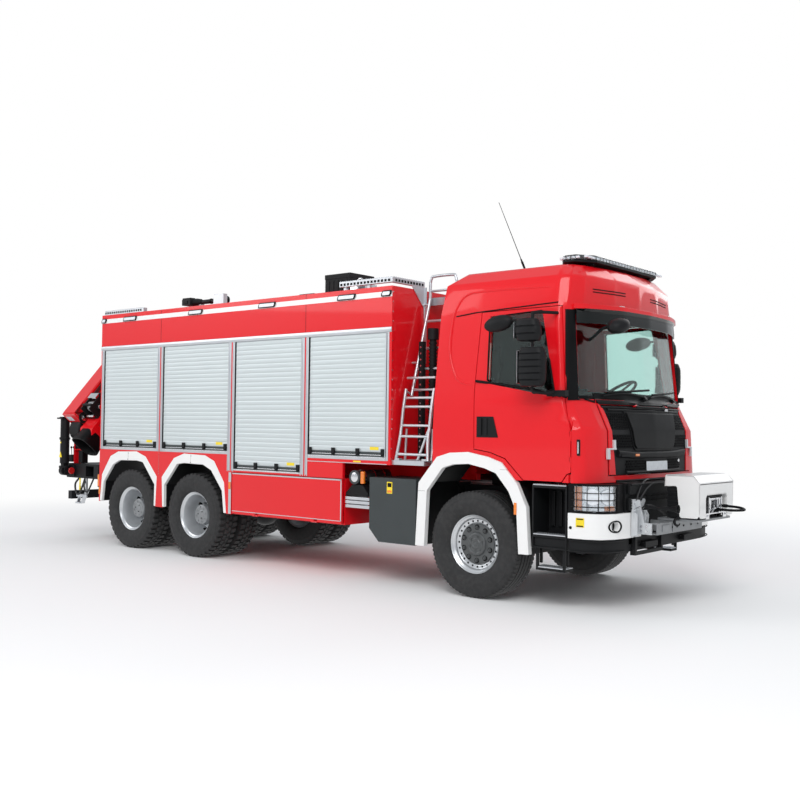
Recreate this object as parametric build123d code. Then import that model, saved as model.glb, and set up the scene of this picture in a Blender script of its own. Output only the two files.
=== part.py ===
from build123d import *
import math
import os

# Heavy rescue truck, three axles: day cab over the engine, an equipment body with four roller
# shutters a side, a front winch and a folded loader crane across the rear of the frame.
# Lengths are millimetres. X points forward, Y to the vehicle's left and Z up. Stations along X are
# measured from the front axle; the export moves every piece so the origin is under mid-length.

# Driving dimensions
wheelbase = 4380
bogie_spacing = 1350
tyre_radius = 535
body_half = 1275
body_length = 5380
body_top = 3210
body_gap = 1050
cab_half = 1250
cab_rear = -500
cab_front = 1370
cab_low = 1200
cab_roof_top = 3300
frame_top = 1080
crane_setback = 795

# Values that many pieces share
seat_gap = 0.3
shut_gap = 6
overrun = 20
wall = 40
axle_2 = -wheelbase
axle_3 = -(wheelbase + bogie_spacing)
body_front = -body_gap
body_rear = body_front - body_length
crane_x = body_rear - crane_setback

nodes = {}


# Helpers: blocks and prisms from plain coordinates, round bars between points, mirrored pairs
def block(x0, x1, y0, y1, z0, z1):
    size = Box(abs(x1 - x0), abs(y1 - y0), abs(z1 - z0))
    return Pos((x0 + x1) / 2, (y0 + y1) / 2, (z0 + z1) / 2) * size


def prism_y(points, y0, y1):
    outline = Polyline(*[(x, y0, z) for x, z in points], close=True)
    return extrude(make_face(outline), amount=y1 - y0, dir=(0, 1, 0))


def prism_x(points, x0, x1):
    outline = Polyline(*[(x0, y, z) for y, z in points], close=True)
    return extrude(make_face(outline), amount=x1 - x0, dir=(1, 0, 0))


def prism_z(points, z0, z1):
    outline = Polyline(*[(x, y, z0) for x, y in points], close=True)
    return extrude(make_face(outline), amount=z1 - z0, dir=(0, 0, 1))


def rod(start, end, radius):
    start, end = Vector(*start), Vector(*end)
    bar = Cylinder(radius, (end - start).length, align=(Align.CENTER, Align.CENTER, Align.MIN))
    return Plane(origin=start, z_dir=end - start) * bar


def turned(profile, x, y, z):
    """A profile of (radius, y) points turned about the Y axis and placed."""
    outline = Polyline(*[(r, w, 0) for r, w in profile], close=True)
    return Pos(x, y, z) * revolve(make_face(outline), axis=Axis.Y)


def mirrored(shape):
    return mirror(shape, about=Plane.XZ)


def both(shape):
    return [shape, mirrored(shape)]


def node(name, *shapes):
    solids = []
    for shape in shapes:
        for piece in shape if isinstance(shape, (list, tuple)) else [shape]:
            solids += piece.solids()
    nodes[name] = solids


def bent(points, radius, corner):
    """A round bar along a polyline whose corners are bent to one radius."""
    path = FilletPolyline(*points, radius=corner)
    section = Plane(origin=path @ 0, z_dir=path % 0) * Circle(radius)
    return sweep(section, path=path)


# Wheels: front singles, rear twins
front_tyre_width = 375
front_tyre_face = 1238
rear_tyre_width = 312
rear_tyre_face = 1248
twin_spacing = 345
bead_radius = 288
rim_flange_radius = 300
rim_flange_thick = 12
rim_barrel_inner = 270
rim_well_inner = 250
rim_well_outer = 268
nut_circle = 167
nut_radius = 17
nut_length = 34
front_hub_radius = 205
front_hub_nose = 118
front_disc_y = 70
disc_thick = 14
rear_hub_radius = 122
rear_hub_out = 195
bearing_bore = 45
spindle_gap = 0.05
vent_radius = 13
vent_circle = 226
vent_count = 10
nut_count = 10
# Shares of the tyre's width and of its height above the bead, bead first and crown last
tyre_width_shares = (0.36, 0.455, 0.495, 0.50, 0.47, 0.43, 0.37)
tyre_height_shares = (0.0, 0.14, 0.36, 0.56, 0.80, 0.93, 1.0)
groove_width_share = 0.035
groove_depth = 15
groove_place_shares = (-0.22, -0.075, 0.075, 0.22)

front_tyre_y = front_tyre_face - front_tyre_width / 2
rear_outer_y = rear_tyre_face - rear_tyre_width / 2
rear_inner_y = rear_outer_y - twin_spacing


def tyre_profile(width):
    height = tyre_radius - bead_radius
    side = [(bead_radius + height * h, width * w) for w, h in zip(tyre_width_shares, tyre_height_shares)]
    crown = []
    for place in groove_place_shares:
        low = width * (place - groove_width_share / 2)
        high = width * (place + groove_width_share / 2)
        floor = tyre_radius - groove_depth
        crown += [(tyre_radius, low), (floor, low), (floor, high), (tyre_radius, high)]
    left = [(r, -w) for r, w in side]
    return left + crown + side[::-1]


def rim_profile(width, disc_y, inner_radius):
    """Outer face towards -Y. The disc joins the barrel at disc_y and reaches in to inner_radius."""
    half = width * 0.40
    lip = rim_flange_thick
    well = half * 0.35
    return [
        (inner_radius, disc_y - disc_thick),
        (rim_well_inner, disc_y - disc_thick),
        (rim_well_inner, -well),
        (rim_barrel_inner, -half + lip),
        (rim_barrel_inner + lip, -half - lip),
        (rim_flange_radius, -half - lip),
        (rim_flange_radius, -half),
        (bead_radius - seat_gap, -half),
        (bead_radius - seat_gap, -half + lip * 2),
        (rim_well_outer, -well),
        (rim_well_outer, well),
        (bead_radius - seat_gap, half - lip * 2),
        (bead_radius - seat_gap, half),
        (rim_flange_radius, half),
        (rim_flange_radius, half + lip),
        (rim_barrel_inner + lip, half + lip),
        (rim_barrel_inner, half - lip),
        (rim_well_inner, disc_y),
        (inner_radius, disc_y),
    ]


def ring_of(count, circle, radius, y0, y1):
    made = []
    for i in range(count):
        a = math.tau * (i + 0.5) / count
        at = (circle * math.cos(a), circle * math.sin(a))
        made.append(rod((at[0], y0, at[1]), (at[0], y1, at[1]), radius))
    return made


def front_wheel():
    """The right front wheel about its own centre: tyre, then rim with hub and nuts."""
    tyre = turned(tyre_profile(front_tyre_width), 0, 0, 0)
    disc_y = -front_disc_y
    rim = turned(rim_profile(front_tyre_width, disc_y, bearing_bore + spindle_gap), 0, 0, 0)
    face = disc_y - disc_thick
    hub = turned(
        [
            (0, face - front_hub_nose),
            (front_hub_nose, face - front_hub_nose),
            (front_hub_radius * 0.66, face - front_hub_nose * 0.5),
            (front_hub_radius, face - front_hub_nose * 0.25),
            (front_hub_radius, face + disc_thick),
            (front_hub_radius * 0.66, front_hub_nose * 0.25),
            (bearing_bore + spindle_gap, front_hub_nose * 0.25),
            (bearing_bore + spindle_gap, face - disc_thick),
            (0, face - disc_thick),
        ],
        0, 0, 0,
    )
    rim = rim + hub
    for hole in ring_of(vent_count, vent_circle, vent_radius, face - overrun, disc_y + overrun):
        rim = rim - hole
    for nut in ring_of(nut_count, nut_circle, nut_radius, face - nut_length * 1.6, face):
        rim = rim + nut
    return tyre, rim


def rear_wheel():
    """A right twin wheel about the middle of the pair: two tyres, then both rims with the hub."""
    half = twin_spacing / 2
    tyres = [turned(tyre_profile(rear_tyre_width), 0, y, 0) for y in (-half, half)]
    bore = bearing_bore + spindle_gap
    outer = turned(rim_profile(rear_tyre_width, half - seat_gap, bore), 0, -half, 0)
    inner = turned([(r, -y) for r, y in rim_profile(rear_tyre_width, half - seat_gap, bore)][::-1], 0, half, 0)
    hub = turned(
        [
            (0, -rear_hub_out),
            (rear_hub_radius * 0.8, -rear_hub_out),
            (rear_hub_radius, -rear_hub_out * 0.85),
            (rear_hub_radius, disc_thick * 2),
            (bore, disc_thick * 2),
            (bore, -rear_hub_out * 0.5),
            (0, -rear_hub_out * 0.5),
        ],
        0, 0, 0,
    )
    rim = outer + inner + hub
    for nut in ring_of(nut_count, nut_circle, nut_radius, -nut_length - disc_thick, 0):
        rim = rim + nut
    return tyres, rim


def wheels():
    tyre, rim = front_wheel()
    place = Pos(0, -front_tyre_y, tyre_radius)
    node("front_tyre_right", place * tyre)
    node("front_rim_right", place * rim)
    node("front_tyre_left", mirrored(place * tyre))
    node("front_rim_left", mirrored(place * rim))
    tyres, rim = rear_wheel()
    for name, x in (("mid", axle_2), ("rear", axle_3)):
        place = Pos(x, -(rear_outer_y + rear_inner_y) / 2, tyre_radius)
        node(name + "_tyres_right", [place * t for t in tyres])
        node(name + "_rims_right", place * rim)
        node(name + "_tyres_left", [mirrored(place * t) for t in tyres])
        node(name + "_rims_left", mirrored(place * rim))


# Frame: two channel rails with cross tubes, carried on to the bumper by two plates and a bar
rail_half = 385
rail_height = 270
rail_flange = 90
rail_web = 12
rail_front = 1180
cross_radius = 55
cross_stations_shares = (0.2, -0.26, -0.5, -0.8, -1.155, -1.44)
front_bar_back = 1370
front_bar_deep = 60
front_bar_half = 1000
front_bar_low = 790
front_bar_tall = 90
housing_front_reach = 475
housing_rear_reach = 345
housing_front = crane_x + housing_front_reach
housing_rear = crane_x - housing_rear_reach


def chassis_frame():
    low = frame_top - rail_height
    rail_end = housing_front + seat_gap
    rail = block(rail_end, rail_front, rail_half - rail_flange, rail_half, low, frame_top)
    hollow = block(
        rail_end - overrun, rail_front + overrun, rail_half - rail_flange - overrun,
        rail_half - rail_web, low + rail_web, frame_top - rail_web,
    )
    rail = rail - hollow
    tongue = block(
        rail_front - rail_height, front_bar_back, rail_half - rail_web * 2, rail_half - rail_web,
        front_bar_low, front_bar_low + front_bar_tall * 2,
    )
    frame = rail + tongue + mirrored(rail) + mirrored(tongue)
    reach = rail_half - rail_web / 2
    mid = frame_top - rail_height / 2
    for share in cross_stations_shares:
        x = wheelbase * share
        frame = frame + rod((x, -reach, mid), (x, reach, mid), cross_radius)
    bar = block(
        front_bar_back, front_bar_back + front_bar_deep, -front_bar_half, front_bar_half,
        front_bar_low, front_bar_low + front_bar_tall,
    )
    node("chassis_frame", frame + bar)


# Engine and gearbox as plain blocks of their real size, on feet in the rails
engine_front = 780
engine_rear = -430
engine_half = 270
engine_low = 620
engine_top = 1420
gearbox_half = 190
gearbox_long = 640
foot_long = 120
foot_tall = 60


def engine():
    parts = block(engine_rear, engine_front, -engine_half, engine_half, engine_low, engine_top)
    parts = parts + block(
        engine_rear - gearbox_long, engine_rear, -gearbox_half, gearbox_half, engine_low, frame_top,
    )
    reach = rail_half - rail_web - seat_gap
    foot_low = frame_top - rail_height / 2
    for x in (engine_front - foot_long * 2, engine_rear + foot_long):
        parts = parts + block(x, x + foot_long, -reach, reach, foot_low, foot_low + foot_tall)
    node("engine", parts)


# Axles: a forged front beam and two hollow rear axles, all on leaf springs under the rails
beam_drop = 110
beam_half_wide = 55
beam_tall = 110
spring_wide = 80
spring_tall = 90
spring_y = 430
spring_half_long = 800
spring_pack_drop = 60
rear_spring_wide = 90
axle_tube_radius = 95
diff_radius = 210
kingpin_y = 860
kingpin_radius = 24
fork_thick = 28
knuckle_tall = 190
knuckle_deep = 110
stub_radius = bearing_bore


def leaf_pack(x, half_long, y, low, tall, drop, wide):
    """A leaf pack seen from the side: thick in the middle, rising to thin ends."""
    outline = [
        (x - half_long, low + drop),
        (x - half_long * 0.35, low),
        (x + half_long * 0.35, low),
        (x + half_long, low + drop),
        (x + half_long, low + drop + tall * 0.3),
        (x + half_long * 0.3, low + tall),
        (x - half_long * 0.3, low + tall),
        (x - half_long, low + drop + tall * 0.3),
    ]
    return prism_y(outline, y - wide / 2, y + wide / 2)


def front_axle():
    beam_top = tyre_radius - beam_drop + beam_tall
    end = kingpin_y - knuckle_deep / 2 - seat_gap
    beam = block(-beam_half_wide, beam_half_wide, -end, end, beam_top - beam_tall, beam_top)
    parts = [beam]
    pad_top = beam_top
    for side in (-1, 1):
        y = spring_y * side
        pack = leaf_pack(0, spring_half_long, y, pad_top, spring_tall, spring_pack_drop, spring_wide)
        parts.append(pack)
        hang_top = frame_top - rail_web
        inner = rail_half + seat_gap
        for x in (-spring_half_long, spring_half_long - spring_tall):
            low = pad_top + spring_pack_drop
            hanger = block(
                x, x + spring_tall, side * inner, side * (spring_y + spring_wide / 2), low, hang_top,
            )
            parts.append(hanger)
        eye = rod(
            (0, side * (end - knuckle_tall), beam_top),
            (0, side * (kingpin_y - knuckle_deep / 2 - seat_gap), beam_top),
            beam_half_wide,
        )
        parts.append(eye)
        y = side * kingpin_y
        low = tyre_radius - knuckle_tall / 2
        high = low + knuckle_tall
        fork_half = kingpin_radius * 1.5
        for z in (low - seat_gap - fork_thick, high + seat_gap):
            upright = (Align.CENTER, Align.CENTER, Align.MIN)
            parts.append(Pos(0, y, z) * Cylinder(kingpin_radius * 1.8, fork_thick, align=upright))
            parts.append(block(-fork_half, fork_half, side * (end - fork_thick), y, z, z + fork_thick))
        parts.append(block(
            -fork_half, fork_half, side * (end - fork_thick * 1.5), side * end, beam_top - fork_thick,
            high + seat_gap + fork_thick))
        parts.append(rod((0, y, low - fork_thick), (0, y, high + fork_thick), kingpin_radius))
    body = parts[0]
    for piece in parts[1:]:
        body = body + piece
    node("front_axle", body)


def knuckles():
    """Steering heads either side: a round head bored for the kingpin, with the wheel spindle."""
    low = tyre_radius - knuckle_tall / 2
    head = rod((0, kingpin_y, low), (0, kingpin_y, low + knuckle_tall), knuckle_deep / 2)
    spindle_end = front_tyre_y + front_disc_y + disc_thick - seat_gap
    spindle = rod((0, kingpin_y, tyre_radius), (0, spindle_end, tyre_radius), stub_radius)
    bore = rod(
        (0, kingpin_y, low - overrun), (0, kingpin_y, low + knuckle_tall + overrun), kingpin_radius + spindle_gap)
    left = head + spindle - bore
    node("knuckle_left", left)
    node("knuckle_right", mirrored(left))


def rear_axles():
    parts = []
    spindle_end = (rear_outer_y + rear_inner_y) / 2 + rear_hub_out * 0.5 - seat_gap
    tube_end = rear_inner_y - rear_tyre_width / 2 - seat_gap * 2
    tube_end = rear_inner_y - rear_tyre_width / 2 - disc_thick
    for x in (axle_2, axle_3):
        tube = rod((x, -tube_end, tyre_radius), (x, tube_end, tyre_radius), axle_tube_radius)
        axle = tube + Pos(x, 0, tyre_radius) * Sphere(diff_radius)
        axle = axle + rod((x, -spindle_end, tyre_radius), (x, spindle_end, tyre_radius), stub_radius)
        parts.append(axle)
    whole = parts[0] + parts[1]
    mid = (axle_2 + axle_3) / 2
    top = tyre_radius + axle_tube_radius
    hang = rail_half + seat_gap
    for side in (-1, 1):
        pack = leaf_pack(
            mid, bogie_spacing * 0.6, side * spring_y, top - spring_tall * 0.2, spring_tall * 1.4,
            0, rear_spring_wide,
        )
        saddle = block(
            mid - knuckle_tall, mid + knuckle_tall, side * hang,
            side * (spring_y + rear_spring_wide / 2), top, frame_top - rail_web,
        )
        whole = whole + pack + saddle
    node("rear_axles", whole)


# Wheel arches. Shares of reach along X and of rise above the axle, from the rear leg over to the front
front_arch_reach = 700
front_arch_rise = 923
rear_arch_reach = 690
rear_arch_rise = 783
flare_width = 120
flare_out = body_half
flare_in = 1215
liner_thick = 8
liner_inner_y = 560
liner_gap = 9
front_arch_shares = (
    (-1.0, -0.07), (-0.95, 0.64), (-0.79, 0.78), (-0.61, 0.935), (-0.38, 0.985), (-0.05, 1.0),
    (0.29, 0.955), (0.52, 0.90), (0.78, 0.69), (0.94, 0.45), (0.985, -0.04),
)
rear_arch_shares = (
    (-0.985, 0.09), (-0.915, 0.575), (-0.635, 0.90), (-0.375, 0.985),
    (0.24, 1.0), (0.54, 0.915), (0.90, 0.59), (0.87, 0.09),
)


rear_arch_inner_shares = (
    (-0.913, 0.09), (-0.857, 0.44), (-0.548, 0.751), (-0.316, 0.833),
    (0.246, 0.842), (0.446, 0.82), (0.826, 0.456), (0.82, 0.09),
)


def arch_points(x, shares, reach, rise, turn=1, grow=0, closed_low=None):
    points = [(x + turn * s * (reach + grow), tyre_radius + h * (rise + grow)) for s, h in shares]
    if closed_low is not None:
        points = [(points[0][0], closed_low)] + points + [(points[-1][0], closed_low)]
    return points


def front_flare():
    """The white lip: the arch outline less the same outline drawn in by the lip's width."""
    low = tyre_radius - front_arch_rise
    sizes = (front_arch_shares, front_arch_reach, front_arch_rise, 1)
    outer = prism_y(arch_points(0, *sizes), flare_in, flare_out)
    return outer - prism_y(arch_points(0, *sizes, -flare_width, low), flare_in - overrun, flare_out + overrun)


def rear_flare(x, turn):
    low = tyre_radius - front_arch_rise
    sizes = (rear_arch_reach, rear_arch_rise, turn)
    inside = body_half - wall + seat_gap
    outer = prism_y(arch_points(x, rear_arch_shares, *sizes), inside, body_half)
    inner = arch_points(x, rear_arch_inner_shares, *sizes, 0, low)
    return outer - prism_y(inner, inside - overrun, body_half + overrun)


def rear_liner(x, turn):
    """The dark mudguard behind a rear lip: a thin sheet just outside the lip's inner edge."""
    low = tyre_radius - front_arch_rise
    far = body_half - wall
    sizes = (rear_arch_reach, rear_arch_rise, turn)
    outer = prism_y(arch_points(x, rear_arch_inner_shares, *sizes, liner_thick * 2), liner_inner_y, far)
    inner = arch_points(x, rear_arch_inner_shares, *sizes, liner_thick, low)
    return outer - prism_y(inner, liner_inner_y - overrun, far + overrun)


def arches():
    node("front_flares", both(front_flare()))
    rears = []
    for x, turn in ((axle_2, -1), (axle_3, 1)):
        rears += both(rear_flare(x, turn))
    node("rear_flares", rears)


strap_tall = 40


def mudguards():
    """Front liners follow the lip's own line, so the steered tyres clear them; straps hold them."""
    far = flare_in - seat_gap
    low = tyre_radius - front_arch_rise
    edge = liner_gap / 9
    outer = prism_y(
        arch_points(0, front_arch_shares, front_arch_reach, front_arch_rise, 1, -edge),
        liner_inner_y, far,
    )
    inner = arch_points(0, front_arch_shares, front_arch_reach, front_arch_rise, 1, -liner_gap, low)
    front = outer - prism_y(inner, liner_inner_y - overrun, far + overrun)
    strap_low = tyre_radius + front_arch_rise * 0.62
    strap = block(
        -front_arch_reach * 0.955, -front_arch_reach * 0.91, rail_half + seat_gap, liner_inner_y + strap_tall,
        strap_low - strap_tall, strap_low,
    )
    pieces = both(front + strap)
    for x, turn in ((axle_2, -1), (axle_3, 1)):
        sheet_piece = rear_liner(x, turn)
        top = tyre_radius + (rear_arch_rise + liner_thick) * rear_arch_inner_shares[3][1]
        hold = block(
            x - strap_tall, x + strap_tall, rail_half + seat_gap, liner_inner_y + strap_tall,
            frame_top - strap_tall, top - liner_thick / 2,
        )
        pieces += both(sheet_piece + hold)
    node("mudguards", pieces)


# Cab: a ruled skin through level sections, hollow, with its doors and hatch cut from the same skin.
# Columns: height share, rear-wall share, then (length share, half-width share) from the side's front
# end round the corner to the nose
cab_skin = 60
cab_floor_low = 1465
cab_floor_top = 1505
cab_rows_shares = (
    (0.0, 0.0, ((0.883, 1.0), (0.931, 0.96), (0.973, 0.80), (0.995, 0.40), (1.0, 0.0))),
    (0.233, 0.0, ((0.872, 1.0), (0.917, 0.955), (0.963, 0.80), (0.984, 0.40), (0.989, 0.0))),
    (0.362, 0.005, ((0.812, 0.997), (0.846, 0.925), (0.888, 0.80), (0.947, 0.40), (0.966, 0.0))),
    (0.786, 0.02, ((0.768, 0.944), (0.805, 0.90), (0.840, 0.76), (0.888, 0.385), (0.904, 0.0))),
    (0.938, 0.03, ((0.75, 0.88), (0.80, 0.84), (0.84, 0.72), (0.883, 0.36), (0.902, 0.0))),
    (1.0, 0.12, ((0.712, 0.76), (0.765, 0.705), (0.792, 0.61), (0.824, 0.32), (0.835, 0.0))),
)
door_gap = 8
door_outline_shares = (
    (0.277, 0.135), (0.273, 0.433), (0.296, 0.792), (0.785, 0.797), (0.827, 0.362), (0.868, 0.233),
    (0.873, 0.043), (0.85, 0.035), (0.82, -0.001), (0.589, -0.001), (0.475, 0.095), (0.38, 0.122),
)
door_window_shares = ((0.357, 0.448), (0.355, 0.768), (0.675, 0.782), (0.775, 0.381))
screen_low_share = 0.374
screen_top_share = 0.774
screen_half_low = 1090
screen_half_top = 1035
glass_thick = 6
glass_deep = 22
hatch_half = 900
hatch_low = 1262
hatch_top = 1936
hatch_skin = 34
hinge_radius = 12
knuckle_long = 46
hinge_rise_shares = (0.07, 0.185)
jamb_room = 18.5
jamb_top_share = 0.32

cab_tall = cab_roof_top - cab_low
cab_long = cab_front - cab_rear


def cab_at(share_x, share_z):
    return (cab_rear + cab_long * share_x, cab_low + cab_tall * share_z)


def cab_row(height_share):
    """The section at any height share, by straight lines between the rows of the table."""
    rows = cab_rows_shares
    for low, high in zip(rows, rows[1:]):
        if height_share <= high[0]:
            break
    t = (height_share - low[0]) / (high[0] - low[0])
    mix = lambda a, b: a + (b - a) * t
    rear = mix(low[1], high[1])
    front = [(mix(a[0], b[0]), mix(a[1], b[1])) for a, b in zip(low[2], high[2])]
    return rear, front


def cab_volume(z_low, z_high, inset):
    """The cab's solid form drawn in by inset, between two heights."""
    middle = [cab_low + cab_tall * row[0] for row in cab_rows_shares]
    room = abs(inset) + seat_gap
    heights = [z_low] + [z for z in middle if z_low + room < z < z_high - room] + [z_high]
    sections = []
    for z in heights:
        at = z + inset if z == z_high and z_high > cab_low + cab_tall * 0.9 else z
        rear_share, front = cab_row(min(max((at - cab_low) / cab_tall, 0), 1))
        rear = cab_rear + cab_long * rear_share + inset
        right = []
        for share_x, share_y in front:
            x = cab_rear + cab_long * share_x - inset
            y = cab_half * share_y - inset if share_y else 0
            right.append((x, -y))
        side = -(cab_half * front[0][1] - inset)
        ring = [(rear, side)] + right + [(x, -y) for x, y in right[-2::-1]] + [(rear, -side)]
        sections.append(make_face(Polyline(*[(x, y, z) for x, y in ring], close=True)))
    return loft(sections, ruled=True)


def cab_side(shares, y0, y1, grow=0):
    points = [cab_at(*share) for share in shares]
    if grow:
        mid_x = sum(p[0] for p in points) / len(points)
        mid_z = sum(p[1] for p in points) / len(points)
        out = lambda value, mid: value + (grow if value > mid else -grow)
        points = [(out(x, mid_x), out(z, mid_z)) for x, z in points]
    return prism_y(points, y0, y1)


def screen_prism(grow=0):
    low = cab_low + cab_tall * screen_low_share - grow
    top = cab_low + cab_tall * screen_top_share + grow
    points = [
        (-screen_half_low - grow, low), (screen_half_low + grow, low),
        (screen_half_top + grow, top), (-screen_half_top - grow, top),
    ]
    return prism_x(points, cab_front * 0.66, cab_front + overrun)


def cab():
    outer = cab_volume(cab_low, cab_roof_top, 0)
    inner = cab_volume(cab_floor_top, cab_roof_top - cab_skin, cab_skin)
    below = cab_volume(cab_low - overrun, cab_floor_low, cab_skin)
    skin = outer - inner - below
    wide = cab_half + overrun
    arch = arch_points(0, front_arch_shares, front_arch_reach, front_arch_rise, 1, seat_gap, cab_low - overrun)
    skin = skin - prism_y(arch, -wide, -liner_inner_y) - prism_y(arch, liner_inner_y, wide)
    door_in = cab_half * 0.72
    under = cab_low - overrun
    ceiling = cab_roof_top - cab_skin
    layer = outer - cab_volume(under, ceiling, cab_skin - door_gap)
    full = outer - cab_volume(under, ceiling, cab_skin)
    doorway = full & cab_side(door_outline_shares, -wide, -door_in)
    door = layer & cab_side(door_outline_shares, -wide, -door_in, -door_gap)
    door = door - cab_side(door_window_shares, -wide, -door_in)
    pane_skin = cab_volume(cab_floor_top, ceiling, glass_deep)
    pane_skin = pane_skin - cab_volume(cab_floor_top, ceiling, glass_deep + glass_thick)
    pane = pane_skin & cab_side(door_window_shares, -wide, -door_in, -seat_gap)
    screen = pane_skin & screen_prism(-seat_gap)
    skin = skin - doorway - mirrored(doorway) - screen_prism()
    reach = (cab_long * 0.5, cab_front + overrun)
    hatch_blank = outer - cab_volume(under, ceiling, hatch_skin)
    hatch = hatch_blank & block(
        *reach, -hatch_half + door_gap, hatch_half - door_gap, hatch_low + door_gap, hatch_top - door_gap)
    skin = skin - block(*reach, -hatch_half, hatch_half, hatch_low, hatch_top)

    x, y = door_axis()
    room = hinge_radius + door_gap / 2
    jamb = rod((x, y, cab_low - overrun), (x, y, cab_low + cab_tall * jamb_top_share), jamb_room)
    skin = skin - jamb - mirrored(jamb)
    for share in hinge_rise_shares:
        z = cab_low + cab_tall * share
        split = z + knuckle_long
        top = split + seat_gap + knuckle_long
        door = door - rod((x, y, split - seat_gap), (x, y, top + seat_gap), room)
        skin = skin - rod((x, y, z - seat_gap), (x, y, split), room)
        door = door + rod((x, y, z), (x, y, split), hinge_radius)
        door = door + block(x - room - seat_gap, x, y, y + hinge_radius, z, split)
        lug = rod((x, y, split + seat_gap), (x, y, top), hinge_radius)
        lug = lug + block(x, x + room + seat_gap, y, y + hinge_radius, split + seat_gap, top)
        skin = skin - mirrored(rod((x, y, z - seat_gap), (x, y, split), room)) + lug + mirrored(lug)
    hx, hz = hatch_axis()
    for side in (-1, 1):
        near = side * hatch_half * 0.3
        split = near + side * knuckle_long
        last = split + side * (seat_gap + knuckle_long)
        hatch = hatch - rod((hx, split, hz), (hx, last + side * seat_gap, hz), room)
        skin = skin - rod((hx, near - side * seat_gap, hz), (hx, split, hz), room)
        hatch = hatch + rod((hx, near, hz), (hx, split, hz), hinge_radius)
        hatch = hatch + block(hx - hatch_skin, hx, near, split, hz - room - seat_gap, hz)
        skin = skin + rod((hx, split + side * seat_gap, hz), (hx, last, hz), hinge_radius)
        skin = skin + block(hx - hatch_skin, hx, split + side * seat_gap, last, hz, hz + room + seat_gap)
    node("cab_shell", skin)
    node("door_right", door)
    node("door_left", mirrored(door))
    node("door_glass_right", pane)
    node("door_glass_left", mirrored(pane))
    node("windscreen", screen)
    node("front_hatch", hatch)


def door_axis():
    x = cab_rear + cab_long * 0.865
    return x, -(cab_half - hinge_radius)


def hatch_axis():
    row = cab_row((hatch_top - cab_low) / cab_tall)
    return cab_rear + cab_long * row[1][-1][0], hatch_top


# Cab inside: dashboard, wheel on its column, two seats on their boxes
dash_low = 1880
dash_top = 2060
dash_deep = 330
dash_front_clear = 30
wheel_ring_radius = 225
wheel_ring_thick = 16
wheel_y = 620
column_radius = 30
seat_wide = 520
seat_base_tall = 330
cushion_tall = 150
cushion_long = 520
back_tall = 640
back_thick = 150
head_tall = 170
head_wide = 280
seat_rear_gap = 90


def interior():
    inner = cab_volume(cab_floor_top, cab_roof_top - cab_skin, cab_skin + dash_front_clear)
    front = cab_rear + cab_long * 0.83
    half = cab_half * 0.86
    dash = inner & block(front - dash_deep, cab_front, -half, half, dash_low, dash_top)
    stem_half = seat_wide / 2
    stem = inner & block(
        front - dash_deep * 0.6, front, -stem_half, stem_half, cab_floor_top + seat_gap, dash_low,
    )
    wx, wz = steering_axis()
    lean = steering_lean
    ahead = (wx + lean[0] * column_radius * -8, wheel_y, wz + lean[2] * column_radius * -8)
    near = (wx - lean[0] * column_radius * 1.2, wheel_y, wz - lean[2] * column_radius * 1.2)
    column = rod(ahead, near, column_radius)
    node("dashboard", dash + stem + column)
    ring = Torus(wheel_ring_radius, wheel_ring_thick)
    hub = Cylinder(column_radius * 1.6, column_radius)
    spokes = Box(wheel_ring_radius * 2, column_radius, wheel_ring_thick)
    spokes = spokes + Box(column_radius, wheel_ring_radius * 2, wheel_ring_thick)
    boss = Pos(0, 0, -column_radius * 0.5) * Cylinder(
        column_radius * 0.6, column_radius * 0.7 - seat_gap, align=(Align.CENTER, Align.CENTER, Align.MAX))
    at = Plane(origin=(wx, wheel_y, wz), z_dir=lean)
    node("steering_wheel", at * (ring + hub + spokes + boss))
    seats = []
    for y in (wheel_y, -wheel_y):
        rear = cab_rear + cab_skin + seat_rear_gap
        low = cab_floor_top + seat_gap
        base = block(
            rear, rear + cushion_long * 0.8, y - seat_wide * 0.4, y + seat_wide * 0.4, low, low + seat_base_tall,
        )
        cushion = block(
            rear, rear + cushion_long, y - seat_wide / 2, y + seat_wide / 2,
            low + seat_base_tall, low + seat_base_tall + cushion_tall,
        )
        back = block(
            rear - seat_rear_gap / 2, rear + back_thick, y - seat_wide / 2, y + seat_wide / 2,
            low + seat_base_tall, low + seat_base_tall + cushion_tall + back_tall,
        )
        head_low = low + seat_base_tall + cushion_tall + back_tall
        head = block(
            rear - seat_rear_gap / 2, rear + back_thick * 0.6, y - head_wide / 2, y + head_wide / 2,
            head_low, head_low + head_tall,
        )
        seats.append(base + cushion + back + head)
    node("seats", seats)


steering_lean = (-math.sin(math.radians(35)), 0, math.cos(math.radians(35)))


def steering_axis():
    x = cab_rear + cab_long * 0.83 - dash_deep - column_radius * 3.5
    return x, dash_top + column_radius


# Cab steps: a boxed stair with two treads and a hung stirrup below it
step_rear = 703
step_long = 380
step_inner_y = 940
step_low = 570
step_wall = 18
tread_thick = 28
tread_low_top = 700
stirrup_low = 360
stirrup_bar = 30


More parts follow.
